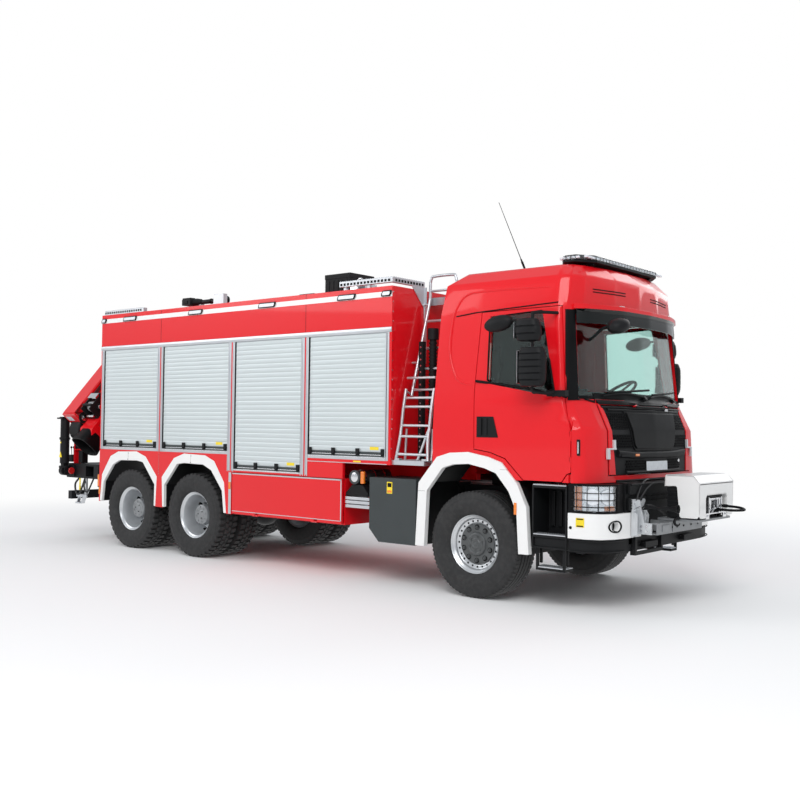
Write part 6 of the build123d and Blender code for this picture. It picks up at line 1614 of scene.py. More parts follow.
def air_horn():
    horn = Kit()
    o = Vector((1.606, -0.700, 0.978))
    profile = [
        (0.000, 0.018), (0.012, 0.022), (0.030, 0.022), (0.034, 0.013), (0.12, 0.0135), (0.20, 0.0165),
        (0.25, 0.021),
        (0.285, 0.027), (0.310, 0.0345), (0.324, 0.041), (0.3285, 0.0418), (0.3285, 0.0385), (0.322, 0.036),
        (0.308, 0.031), (0.280, 0.023), (0.24, 0.016), (0.20, 0.006),
    ]
    pts = [o + Vector((x, 0, 0)) for x, r in profile]
    n = 32
    rows = [[p + Vector((0, r * math.cos(t), r * math.sin(t)))
             for t in turns(n)]
            for p, (x, r) in zip(pts, profile)]
    horn.grid(rows, round_u=True, caps=True)
    horn.box(1.536, 1.620, -0.712, -0.664, 0.952, 0.962)
    horn.box(1.600, 1.640, -0.716, -0.684, 0.962, 0.972)
    horn.make("air_horn", "chassis", "black", angle=36)


def front_loop():
    loop = Kit()
    loop_line = curve_points([(1.940, 0.205, 0.968), (2.02, 0.205, 0.966), (2.14, 0.200, 0.960),
            (2.207, 0.170, 0.950), (2.2295, 0.110, 0.944),
                              (2.175, 0.062, 0.940), (2.09, 0.050, 0.938), (2.00, 0.052, 0.940)], 7)
    loop.tube(loop_line, 0.0125, 12)
    loop.rod((1.985, 0.052, 0.940), (2.030, 0.052, 0.940), 0.0165, 16)
    loop.rod((1.985, 0.205, 0.967), (2.030, 0.205, 0.966), 0.0165, 16)
    loop.make("front_loop", "chassis", "satin", angle=60)


def front_cables():
    for i, (pts, r) in enumerate((
        ([(1.535, -0.735, 1.035), (1.535, -0.700, 1.10), (1.515, -0.60, 1.175), (1.500, -0.49, 1.215),
          (1.480, -0.38, 1.225)], 0.0085),
        ([(1.540, -0.700, 1.030), (1.548, -0.640, 1.085), (1.545, -0.53, 1.150), (1.560, -0.43, 1.190),
          (1.640, -0.37, 1.200), (1.690, -0.345, 1.165)], 0.0080),
        ([(1.530, -0.640, 0.960), (1.560, -0.540, 0.985), (1.60, -0.45, 0.955), (1.655, -0.372, 0.885)],
         0.0095),
    )):
        cord("front_cable_%d" % (i + 1), "chassis", pts, r)


def panel_details():
    """Relief on the dark panel behind the winch and under the bumper."""
    kit = Kit()
    for hand in (-1, 1):
        y0, y1 = sorted((hand * 0.50, hand * 0.840))
        kit.box(1.492, 1.520, y0, y1, 1.095, 1.185)
        kit.box(1.492, 1.516, y0, y1, 0.945, 1.060)
        for k in range(4):
            z = 0.962 + k * 0.024
            kit.box(1.510, 1.524, y0 + 0.02, y1 - 0.02, z, z + 0.010)
        kit.side_box(hand, 1.488, 1.545, 0.30, 0.56, 0.585, 0.640)
    kit.box(1.488, 1.530, -0.82, 0.82, 1.178, 1.196)
    kit.box(1.495, 1.560, -0.46, 0.46, 0.700, 0.722)
    kit.make("panel_relief", "chassis", "black", bevel=0.008, seg=3)
    slots = Kit()
    # Thin dark boxes across the panel stand in for its slots: painted shade.
    for k in range(9):
        y = -0.44 + k * 0.11
        slots.box(1.5075, 1.5115, y - 0.040, y + 0.040, 1.02, 1.035)
        slots.box(1.5075, 1.5115, y - 0.040, y + 0.040, 1.06, 1.075)
    slots.make("panel_slot_shades", "chassis", "seal_and_shade")
    ridge = Kit()
    for hand in (-1, 1):
        for z in (0.575, 0.672):
            ridge.tube([along_nose(s, z, -0.014, hand) for s in span(0.0, 0.98, 20)], 0.006, 6)
    ridge.make("valance_ridges", "chassis", "black", angle=60)


def step_treads():
    silver, dark = Kit(), Kit()
    for hand in (-1, 1):
        for z, x0, x1, y0, y1 in ((1.168, 0.712, 1.074, 1.120, 1.2405), (0.700, 0.712, 1.074, 1.120, 1.2405),
                (0.388, 0.735, 1.052, 1.065, 1.2105)):
            silver.side_box(hand, x0, x1, y0, y1, z - 0.001, z + 0.006)
            silver.side_box(hand, x0, x1, y1 - 0.012, y1 + 0.0010, z - 0.026, z + 0.007)
            for k in range(14):
                x = x0 + 0.014 + k * (x1 - x0 - 0.03) / 13
                silver.side_box(hand, x - 0.004, x + 0.004, y0 + 0.01, y1 - 0.014, z + 0.006, z + 0.011)
        for k in range(4):
            x = 0.76 + k * 0.08
            dark.side_box(hand, x, x + 0.04, 0.965, 0.985, 0.76, 1.10)
        dark.side_box(hand, 0.735, 0.765, 1.1305, 1.152, 0.42, 0.58)
        dark.side_box(hand, 1.022, 1.050, 1.1305, 1.152, 0.42, 0.58)
        dark.side_box(hand, 0.722, 1.062, 1.160, 1.226, 0.585, 0.672)
    silver.make("step_treads", "chassis", "silver", bevel=0.0015)
    dark.make("step_backs", "chassis", "black", bevel=0.006)


# Between cab and body
UPPER_LADDER = [(2.035, -1.030), (2.49, -0.900), (3.115, -0.722), (3.30, -0.720)]
LOWER_LADDER = [(1.346, -1.236), (1.56, -1.205), (1.69, -1.180), (1.90, -1.150), (2.105, -1.108),
                (2.3, -1.07)]


def ladder():
    """Two overlapping ladder sections with paired rungs and a hoop; the landing and gusset are made in
    landings().
    """
    kit = Kit()
    a, b = -0.970, -0.610
    for x in (a, b):
        kit.tube(curve_points([(x, -1.030, 2.035), (x, -0.900, 2.49), (x, -0.722, 3.115)], 4), 0.0165, 10)
        kit.tube([(x, -0.722, 3.115), (x, -0.720, 3.30)], 0.0165, 10)
        out = -0.012 if x == a else 0.012
        kit.tube(curve_points([(x + out, -1.108, 2.105), (x + out, -1.150, 1.90), (x + out, -1.180, 1.690)],
                              4), 0.0175, 10)
        kit.tube(curve_points([(x + out, -1.180, 1.690), (x + out, -1.205, 1.56),
                               (x + out * 3, -1.236, 1.346)], 4), 0.0175, 10)
        kit.tube([(x, -1.105, 1.680), (x, -1.128, 1.346)], 0.0135, 10)
        kit.rod((x, -1.03, 2.045), (x + out, -1.100, 2.085), 0.010, 8)
    hoop = [(a, -0.720, 3.295), (a + 0.012, -0.720, 3.335), (a + 0.050, -0.720, 3.3605),
            (b - 0.050, -0.720, 3.3605), (b - 0.012, -0.720, 3.335), (b, -0.720, 3.295)]
    kit.tube(curve_points(hoop, 5), 0.0165, 10)
    for z in (3.20, 2.86, 2.555, 2.33, 2.10):
        y = between(z, UPPER_LADDER)
        kit.rod((a, y, z), (b, y, z), 0.0145, 10)
    for z in (2.225, 2.01, 1.915, 1.715, 1.600, 1.410):
        y = between(z, LOWER_LADDER)
        kit.rod((a - 0.012, y, z), (b + 0.012, y, z), 0.0145, 10)
    kit.rod((b + 0.010, -1.175, 1.70), (b - 0.115, -1.215, 1.352), 0.0145, 10)
    kit.rod((b + 0.045, -1.150, 1.52), (b + 0.045, -1.190, 1.352), 0.0125, 10)
    for z in (2.40, 3.05):
        y = between(z, UPPER_LADDER)
        kit.rod((-1.0495, y, z), (a, y, z), 0.012, 8)
    kit.make("ladder_rungs", "chassis", "silver", angle=50, hides=["ladder"])


def landings():
    kit = Kit()
    kit.box(-1.0495, -0.6120, -1.2495, -0.652, 1.318, 1.3445)
    kit.box(-1.0495, -0.6120, -1.2495, -1.236, 1.2960, 1.3445)
    kit.box(-0.6250, -0.6120, -1.2495, -0.652, 1.2960, 1.3445)
    for k in range(9):
        x = -1.020 + k * 0.046
        kit.box(x, x + 0.020, -1.225, -0.68, 1.3445, 1.3480)
    for x in (-0.985, -0.620):
        kit.box(x - 0.030, x + 0.030, -1.246, -1.190, 1.3445, 1.366)
    kit.make("ladder_landing", "chassis", "silver", bevel=0.002)
    kit = Kit()
    kit.prism([(-0.960, 3.245), (-0.695, 3.245), (-0.695, 2.860), (-0.735, 2.860), (-0.745, 3.020)], -1.0485,
              -1.040, "x")
    kit.box(-1.048, -1.015, -0.735, -0.725, 2.40, 3.245)
    for k in range(5):
        kit.rod((-1.040, -0.715, 2.90 + k * 0.07), (-1.036, -0.715, 2.90 + k * 0.07), 0.007, 8)
    kit.make("ladder_gusset", "chassis", "silver", bevel=0.001)
    kit = Kit()
    kit.box(-1.0485, -0.66, -0.66, -0.42, 3.120, 3.135)
    kit.box(-0.675, -0.66, -0.66, -0.42, 3.050, 3.135)
    kit.box(-1.0485, -0.66, -0.66, -0.648, 3.050, 3.135)
    for k in range(8):
        x = -1.02 + k * 0.044
        kit.box(x, x + 0.024, -0.6615, -0.660, 3.070, 3.100)
    kit.make("upper_landing", "chassis", "silver", bevel=0.002)


def intake_and_stack():
    dark = Kit()
    dark.box(-0.900, -0.845, -1.000, -0.945, 1.35, 2.62)
    for k in range(34):
        z = 1.37 + k * 0.037
        dark.rod((-0.760, -0.930, z), (-0.760, -0.930, z + 0.020), 0.046, 20)
    dark.rod((-0.760, -0.930, 1.35), (-0.760, -0.930, 2.64), 0.038, 20)
    dark.rod((-0.760, -0.930, 2.64), (-0.760, -0.930, 2.76), 0.060, 24)
    dark.make("intake_duct", "chassis", "black", angle=40)
    kit = Kit()
    for k in range(18):
        kit.rod((-0.8725, -1.001, 1.42 + k * 0.067), (-0.8725, -1.0025, 1.42 + k * 0.067), 0.010, 10)
    kit.rod((-0.700, -0.800, 1.35), (-0.700, -0.800, 2.90), 0.034, 20)
    kit.make("stack_pipe", "chassis", "bright", angle=40)


def low_sides():
    """The locker's lid and label; air tank's end; lamp; guard bars; fuel tank straps."""
    kit = Kit()
    y = -1.2425
    kit.prism([(-1.352, 1.130), (-0.730, 1.130), (-0.730, 1.1485), (-1.345, 1.1485)], y - 0.0005, y + 0.060,
              "y")
    kit.prism([(-1.368, 0.640), (-1.352, 0.640), (-1.352, 1.135), (-1.368, 1.135)], y - 0.0005, y + 0.020,
              "y")
    kit.box(-1.340, -0.740, y - 0.0006, y + 0.004, 0.655, 0.662)
    kit.make("locker_lid", "chassis", "grey", bevel=0.006, seg=3)
    boxes("locker_label", "chassis", "yellow", [(-1.120, -1.045, y - 0.0022, y, 0.985, 1.110)], bevel=0.001)
    boxes("locker_label_mark", "chassis", "seal_and_shade", [(-1.110, -1.055, y - 0.0030, y - 0.002, 1.055, 1.098)])
    boxes("locker_label_band", "chassis", "amber", [(-1.112, -1.053, y - 0.0030, y - 0.002, 0.995, 1.020)])
    kit = Kit()
    kit.rod((-1.595, y + 0.004, 1.137), (-1.595, y - 0.0020, 1.137), 0.060, 36, 0.045)
    for s in range(3):
        kit.rod((-1.595, y + 0.10 + s * 0.16, 1.137), (-1.595, y + 0.12 + s * 0.16, 1.137), 0.0795, 40)
    kit.make("air_tank_end", "chassis", "bright", angle=34)
    boxes("side_lamp_amber", "chassis", "amber", [(-1.505, -1.455, y - 0.004, y + 0.028, 1.070, 1.205)],
          bevel=0.010, seg=3)
    kit = Kit()
    kit.prism([(-1.735, 0.960), (-1.640, 1.055), (-1.480, 1.055), (-1.400, 0.960), (-1.400, 0.930),
               (-1.735, 0.930)], y + 0.01, y + 0.26, "y")
    kit.make("battery_cover", "chassis", "black", bevel=0.010, seg=3)
    kit = Kit()
    for z in (0.905, 0.862, 0.818):
        kit.box(-1.730, -1.372, y, y + 0.020, z - 0.017, z + 0.017)
    kit.box(-1.730, -1.700, y + 0.018, y + 0.35, 0.80, 0.925)
    kit.make("guard_bars", "chassis", "silver", bevel=0.004)
    kit = Kit()
    y = 1.2425
    for x in (-1.420, -0.900):
        kit.box(x - 0.026, x + 0.026, 0.699, y + 0.0000, 1.1500, 1.1535)
        kit.box(x - 0.026, x + 0.026, y - 0.001, y + 0.0025, 0.62, 1.06)
    kit.rod((-1.16, 1.10, 1.148), (-1.16, 1.10, 1.185), 0.046, 28)
    kit.rod((-1.16, 1.10, 1.175), (-1.16, 1.10, 1.192), 0.052, 12)
    kit.make("tank_straps", "chassis", "steel", bevel=0.001)


def winch_hood():
    """The winch's white hood with the wide mouth that runs out at its lower edge, in place of the CAD one."""
    x0, x1, y0, y1, skin = 1.652, 2.000, -0.378, 0.422, 0.010
    side = [(1.652, 1.170), (1.652, 1.258), (1.668, 1.275), (1.940, 1.275), (2.000, 1.205), (2.000, 0.905),
            (1.972, 0.871),
            (1.812, 0.871), (1.798, 0.885), (1.772, 1.158), (1.760, 1.170)]
    kit = Kit()
    kit.prism(side, y0, y0 + skin, "y")
    kit.prism(side, y1 - skin, y1, "y")
    kit.prism([(1.652, 1.262), (1.660, 1.275), (1.941, 1.275), (2.000, 1.205), (2.000, 1.185), (1.990, 1.185),
               (1.990, 1.200), (1.934, 1.264)], y0, y1, "y")
    kit.box(1.652, 1.662, y0, y1, 1.170, 1.268)
    left, right, top = -0.232, 0.292, 1.092
    front = [(y0, 1.200), (y0, 0.900), (y0 + 0.030, 0.871), (left, 0.871), (left, top - 0.030),
             (left + 0.030, top), (right - 0.030, top),
             (right, top - 0.030), (right, 0.871), (y1 - 0.030, 0.871), (y1, 0.900), (y1, 1.200)]
    kit.prism(front, 1.989, 2.000, "x")
    mouth = front[3:9]
    inner = [(left + 0.008, 0.871), (left + 0.008, top - 0.034), (left + 0.034, top - 0.008),
             (right - 0.034, top - 0.008), (right - 0.008, top - 0.034), (right - 0.008, 0.871)]
    kit.prism(mouth + inner[::-1], 1.940, 1.996, "x")
    kit.make("winch_hood", "chassis", "white", bevel=0.004, seg=3, angle=30, hides=["winch_cover"])


# Crane and back
def cr(x, along, across):
    """A place in the booms' plane: along the slope down from the pivot, and across it, upward."""
    return Vector((x, 0.1 - along * 0.6521 - across * 0.7581, 3.1 - along * 0.7581 + across * 0.6521))


def slope_box(kit, x0, x1, a0, a1, c0, c1):
    p = [cr(x, a, c) for x in (x0, x1) for a in (a0, a1) for c in (c0, c1)]
    kit.faces(p, [(0, 1, 3, 2), (4, 6, 7, 5), (0, 4, 5, 1), (2, 3, 7, 6), (0, 2, 6, 4), (1, 5, 7, 3)])


def upright(kit, profile, x, y, n=48):
    """A profile of (radius, height) turned about a vertical line."""
    rows = [[(x + r * math.cos(t), y + r * math.sin(t), z) for t in turns(n)]
            for r, z in profile]
    kit.grid(rows, round_u=True, caps=True)


def dress_low(name, z, mat, low_mat):
    """Two finishes on one CAD node: what lies under the height z takes the second."""
    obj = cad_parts[name]
    obj.data.materials.clear()
    obj.data.materials.append(M[mat])
    obj.data.materials.append(M[low_mat])
    for face in obj.data.polygons:
        face.material_index = 1 if all((obj.matrix_world @ obj.data.vertices[v].co).z < z
                for v in face.vertices) else 0


def inner_boom():
    """End frame, blank label, link with its pin, shroud, hoses and their clamps."""
    kit = Kit()
    x0, x1 = -7.390, -7.060
    for c0, c1 in ((0.2235, 0.2300), (-0.0940, -0.0875)):
        slope_box(kit, x0 + 0.02, x1 - 0.02, 0.10, 1.86, c0, c1)
    slope_box(kit, x0 + 0.004, x1 - 0.004, 1.852, 1.884, -0.083, 0.219)
    slope_box(kit, x0, x1 + 0.006, 1.60, 1.78, -0.02, 0.16)
    kit.make("inner_boom_plates", "boom_inner", "red", bevel=0.004)
    kit = Kit()
    slope_box(kit, -7.345, -7.205, 1.884, 1.887, 0.080, 0.165)
    kit.make("inner_boom_label", "boom_inner", "led", bevel=0.001)
    kit = Kit()
    arm = ((1.815, 0.070, 0.088), (1.60, -0.030, 0.052), (1.42, -0.10, 0.048))
    for (a0, c0, r0), (a1, c1, r1) in zip(arm, arm[1:]):
        long = math.hypot(a1 - a0, c1 - c0)
        na, nc = -(c1 - c0) / long, (a1 - a0) / long
        pts = [cr(0, a0 + na * r0, c0 + nc * r0), cr(0, a1 + na * r1, c1 + nc * r1),
               cr(0, a1 - na * r1, c1 - nc * r1), cr(0, a0 - na * r0, c0 - nc * r0)]
        kit.prism([(p.y, p.z) for p in pts], -7.056, -7.041, "x")
    c = cr(0, 1.815, 0.070)
    kit.rod((-7.056, c.y, c.z), (-7.039, c.y, c.z), 0.088, 36)
    kit.make("elbow_link", "boom_inner", "black", bevel=0.004)
    kit = Kit()
    for r, out in ((0.050, 0.002), (0.040, 0.0035), (0.018, 0.005)):
        kit.rod((-7.040, c.y, c.z), (-7.038 + out, c.y, c.z), r, 32)
    kit.make("elbow_link_pin", "boom_inner", "bright", bevel=0.002)
    kit = Kit()
    rows = []
    for a, lo, hi in ((1.884, -0.085, 0.055), (1.935, -0.115, 0.040), (1.985, -0.150, 0.010),
                      (2.030, -0.165, -0.035), (2.050, -0.150, -0.075)):
        rows.append([cr(-7.345, a, lo + 0.02), cr(-7.330, a, lo), cr(-7.105, a, lo), cr(-7.090, a, lo + 0.02),
                     cr(-7.090, a, hi - 0.02), cr(-7.105, a, hi), cr(-7.330, a, hi),
                     cr(-7.345, a, hi - 0.02)])
    kit.grid(rows, round_u=True, caps=True)
    kit.make("inner_boom_shroud", "boom_inner", "black", bevel=0.005, angle=40)
    for i, (x, c, r) in enumerate(((-7.046, 0.155, 0.011), (-7.047, 0.185, 0.009))):
        cord("inner_boom_hose_%d" % (i + 1), "boom_inner",
             [cr(x - 0.004, 0.25, c), cr(x, 0.50, c + 0.004), cr(x, 0.90, c - 0.003), cr(x, 1.25, c + 0.003),
              cr(x - 0.002, 1.52, c), cr(x - 0.004, 1.70, c + 0.005)], r)
    kit = Kit()
    for a in (0.45, 0.85, 1.25, 1.65):
        slope_box(kit, -7.060, -7.030, a - 0.015, a + 0.015, 0.135, 0.205)
    kit.make("inner_boom_clamps", "boom_inner", "black", bevel=0.003)


def outer_boom():
    """Flared rubber mouth, bands, clamps and hoses."""
    x0, x1, mid = -7.030, -6.730, -0.134
    kit = Kit()
    n = 40
    rows = []
    for a, half, deep in ((1.985, 0.152, 0.157), (1.990, 0.166, 0.170), (2.060, 0.170, 0.174),
                          (2.120, 0.180, 0.186), (2.180, 0.186, 0.196),
                          (2.200, 0.184, 0.194), (2.202, 0.172, 0.182), (2.185, 0.160, 0.168),
                          (2.120, 0.150, 0.155), (2.080, 0.140, 0.148)):
        ring = []
        for k in range(n):
            t = 2 * math.pi * k / n
            cx = blunt(math.cos(t), 0.62)
            cy = blunt(math.sin(t), 0.62)
            ring.append(cr(-6.880 + half * cx * 0.93, a, mid + deep * cy))
        rows.append(ring)
    kit.grid(rows, round_u=True)
    kit.make("boom_mouth", "boom_outer", "satin", angle=34)
    kit = Kit()
    # A dark plate set across the inside of the mouth: painted shade of the hollow boom.
    slope_box(kit, -7.010, -6.750, 2.074, 2.0785, mid - 0.14, mid + 0.14)
    slope_box(kit, -6.975, -6.785, 2.0785, 2.100, mid - 0.10, mid - 0.03)
    kit.make("boom_mouth_inside_shade", "boom_outer", "seal_and_shade", bevel=0.002)
    kit = Kit()
    slope_box(kit, -6.96, -6.80, 2.100, 2.108, mid - 0.095, mid - 0.035)
    kit.make("boom_mouth_plate", "boom_outer", "steel", bevel=0.003)
    kit = Kit()
    for a in (-0.20, 1.93):
        slope_box(kit, x0 - 0.004, x1 + 0.006, a, a + 0.05, mid - 0.160, mid + 0.160)
    slope_box(kit, x0 + 0.03, x1 - 0.03, 0.0, 1.90, mid + 0.1555, mid + 0.162)
    kit.make("outer_boom_bands", "boom_outer", "red", bevel=0.004)
    kit = Kit()
    for a in (0.30, 0.75, 1.20, 1.62):
        slope_box(kit, x1, x1 + 0.030, a - 0.016, a + 0.016, mid + 0.020, mid + 0.115)
    kit.make("outer_boom_clamps", "boom_outer", "black", bevel=0.003)
    for i, (c, r) in enumerate(((0.045, 0.010), (0.070, 0.010), (0.094, 0.008))):
        cord("outer_boom_hose_%d" % (i + 1), "boom_outer",
             [cr(x1 + 0.006, 0.12, mid + c), cr(x1 + 0.014, 0.32, mid + c),
              cr(x1 + 0.013, 0.75, mid + c + 0.003), cr(x1 + 0.013, 1.20, mid + c - 0.003),
              cr(x1 + 0.013, 1.62, mid + c), cr(x1 + 0.006, 1.82, mid + c - 0.01)], r)


def hoist():
    """The small winch on the outer boom."""
    kit = Kit()
    slope_box(kit, -6.990, -6.760, 1.50, 1.80, 0.0285, 0.048)
    for x in (-6.990, -6.785):
        slope_box(kit, x, x + 0.022, 1.51, 1.79, 0.045, 0.235)
    slope_box(kit, -7.000, -6.750, 1.485, 1.520, 0.215, 0.250)
    slope_box(kit, -6.985, -6.765, 1.70, 1.735, 0.225, 0.255)
    kit.rod(cr(-6.785, 1.66, 0.130), cr(-6.745, 1.66, 0.130), 0.050, 24)
    kit.make("hoist_frame", "boom_outer", "black", bevel=0.006)
    kit = Kit()
    for k in range(12):
        x = -6.960 + k * 0.0142
        c = cr(x, 1.65, 0.130)
        pts = [c + Vector((0.0142 * i / 16, 0.075 * math.cos(2 * math.pi * i / 16),
                           0.075 * math.sin(2 * math.pi * i / 16))) for i in range(17)]
        kit.tube(pts, 0.0072, 6)
    kit.rod(cr(-6.968, 1.65, 0.130), cr(-6.785, 1.65, 0.130), 0.070, 28)
    kit.make("hoist_drum", "boom_outer", "steel", angle=60)
    kit = Kit()
    kit.rod(cr(-6.745, 1.66, 0.130), cr(-6.722, 1.66, 0.130), 0.032, 20)
    slope_box(kit, -6.975, -6.775, 1.51, 1.60, 0.240, 0.262)
    kit.rod(cr(-6.96, 1.80, 0.09), cr(-6.79, 1.80, 0.09), 0.020, 16)
    kit.make("hoist_metal", "boom_outer", "bright", bevel=0.003)


def column_foot():
    """The column's slew ring with its bolts and the housing's ribs."""
    x, y = -7.225, 0.1
    kit = Kit()
    upright(kit, [(0.262, 1.0905), (0.262, 1.118), (0.254, 1.126), (0.215, 1.130)], x, y, 60)
    for side in (-1, 1):
        kit.rod((x - 0.12, y + side * 0.245, 1.150), (x + 0.12, y + side * 0.245, 1.150), 0.046, 22)
    kit.make("slew_ring", "chassis", "black", bevel=0.004)
    kit = Kit()
    for k in range(24):
        t = 2 * math.pi * k / 24
        px, py = x + 0.238 * math.cos(t), y + 0.238 * math.sin(t)
        kit.rod((px, py, 1.1255), (px, py, 1.138), 0.011, 6)
    kit.make("slew_ring_bolts", "chassis", "bright", angle=40)
    kit = Kit()
    for k in range(9):
        yk = -0.96 + k * 0.24
        kit.box(-6.850, -6.838, yk - 0.008, yk + 0.008, 0.90, 1.072)
    kit.box(-6.850, -6.836, -1.075, 1.075, 1.066, 1.088)
    kit.box(-6.850, -6.836, -1.075, 1.075, 0.882, 0.902)
    kit.make("housing_ribs", "chassis", "dark", bevel=0.003)


def controls():
    """The control brackets and their levers."""
    red, black = Kit(), Kit()
    for side in (-1, 1):
        red.side_box(side, -7.410, -7.395, 1.072, 0.950, 1.090, 1.520)
        red.side_box(side, -7.410, -7.170, 1.072, 0.950, 1.505, 1.520)
        red.side_box(side, -7.185, -7.170, 1.072, 0.950, 1.300, 1.520)
        red.side_box(side, -7.410, -7.170, 1.072, 0.950, 1.290, 1.304)
        black.side_box(side, -7.390, -7.190, 1.060, 0.965, 1.310, 1.500)
        black.side_box(side, -7.300, -7.200, 1.060, 0.965, 1.100, 1.285)
        black.side_box(side, -7.560, -7.430, 1.078, 0.860, 1.110, 1.215)
        for k in range(6):
            yk = side * (0.880 + k * 0.034)
            black.rod((-7.495, yk, 1.21), (-7.500 - 0.010 * (k % 2), yk, 1.315), 0.0055, 8)
            p = Vector((-7.500 - 0.010 * (k % 2), yk, 1.325))
            black.tube([p - Vector((0, 0, 0.016)), p - Vector((0, 0, 0.010)), p, p + Vector((0, 0, 0.010)),
                        p + Vector((0, 0, 0.016))],
                       [0.006, 0.013, 0.016, 0.013, 0.006], 14)
    red.make("control_bracket", "chassis", "red", bevel=0.003)
    black.make("control_levers", "chassis", "black", bevel=0.004)


def outrigger_marks():
    """The legs' patches and feet and the beams' reflectors."""
    for word, side in SIDES:
        fx = (-7.487, -6.931)[side > 0]
        kit = Kit()
        kit.prism([(fx - 0.038, 1.180), (fx + 0.038, 1.180), (fx, 1.268)],
                  *sorted((side * 1.2440, side * 1.2455)), "y")
        kit.side_box(side, fx - 0.012, fx + 0.012, 1.2440, 1.2455, 1.385, 1.410)
        kit.make("leg_triangle_" + word, "outrigger_leg_" + word, "yellow")
        kit = Kit()
        upright(kit, [(0.050, 1.752), (0.078, 1.758), (0.0825, 1.766), (0.0825, 1.772), (0.078, 1.778),
                      (0.030, 1.780)], fx, side * 1.176, 32)
        upright(kit, [(0.076, 1.44), (0.078, 1.445), (0.078, 1.470), (0.076, 1.475)], fx, side * 1.176, 32)
        upright(kit, [(0.074, 1.02), (0.077, 1.025), (0.077, 1.050), (0.074, 1.055)], fx, side * 1.176, 32)
        kit.make("leg_foot_" + word, "outrigger_leg_" + word, "black", bevel=0.003)
        bx = (-7.340, -6.856)[side > 0]
        kit = Kit()
        kit.rod((bx - 0.001, side * 1.150, 0.985), (bx + 0.010, side * 1.150, 0.985), 0.050, 28)
        kit.make("beam_reflector_" + word, "outrigger_beam_" + word, "ruby", bevel=0.004, seg=3)


def under_housing():
    """Folded step, straps and hanging tag."""
    kit = Kit()
    kit.prism([(-7.375, 0.500), (-7.265, 0.500), (-7.260, 0.520), (-7.375, 0.522)], -1.055, -0.960, "y")
    kit.prism([(-7.275, 0.505), (-7.241, 0.500), (-7.110, 0.700), (-7.137, 0.716)], -1.035, -0.985, "y")
    kit.prism([(-7.375, 0.515), (-7.355, 0.515), (-7.310, 0.600), (-7.327, 0.606)], -1.035, -0.985, "y")
    kit.box(-7.369, -7.110, -1.040, -1.015, 0.600, 0.640)
    kit.box(-7.140, -7.110, -1.040, -1.015, 0.640, 0.882)
    kit.make("folded_step", "chassis", "silver", bevel=0.003)
    cord("hanging_strap_1", "chassis", [(-7.330, -1.020, 0.875), (-7.325, -1.085, 0.80),
            (-7.300, -1.100, 0.71), (-7.255, -1.095, 0.645), (-7.215, -1.080, 0.66), (-7.190, -1.060, 0.75),
            (-7.180, -1.020, 0.875)], 0.014)
    cord("hanging_strap_2", "chassis", [(-7.150, -1.000, 0.875), (-7.135, -1.060, 0.80),
            (-7.110, -1.070, 0.72), (-7.060, -1.060, 0.68), (-7.020, -1.050, 0.73), (-6.990, -1.000, 0.875)],
            0.012)
    boxes("hanging_tag", "chassis", "yellow", [
        (-7.250, -7.215, -1.072, -1.066, 0.765, 0.882),
        (-7.245, -7.220, -1.078, -1.060, 0.700, 0.765),
    ], bevel=0.003)


def back_lamps():
    base, ruby, amber, clear = Kit(), Kit(), Kit(), Kit()
    for side in (-1, 1):
        base.side_box(side, -6.480, -6.431, 1.268, 1.228, 0.790, 0.985)
        amber.side_box(side, -6.476, -6.436, 1.2735, 1.262, 0.805, 0.970)
        for k, kit in enumerate((amber, ruby, ruby, clear)):
            a = 0.700 + k * 0.085
            kit.side_box(side, -7.566, -7.552, a, a + 0.078, 0.578, 0.662)
        base.side_box(side, -7.560, -7.549, 0.690, 1.050, 0.566, 0.674)
        base.rod((-6.445, side * 1.246, 2.725), (-6.445, side * 1.246, 2.790), 0.018, 18)
        ruby.side_box(side, -6.446, -6.4302, 1.262, 1.232, 2.88, 3.06)
    base.make("back_lamp_bases", "chassis", "black", bevel=0.004)
    ruby.make("back_lamps_red", "chassis", "ruby", bevel=0.004)
    amber.make("back_lamps_amber", "chassis", "amber", bevel=0.004)
    clear.make("back_lamps_clear", "chassis", "lens", bevel=0.004)


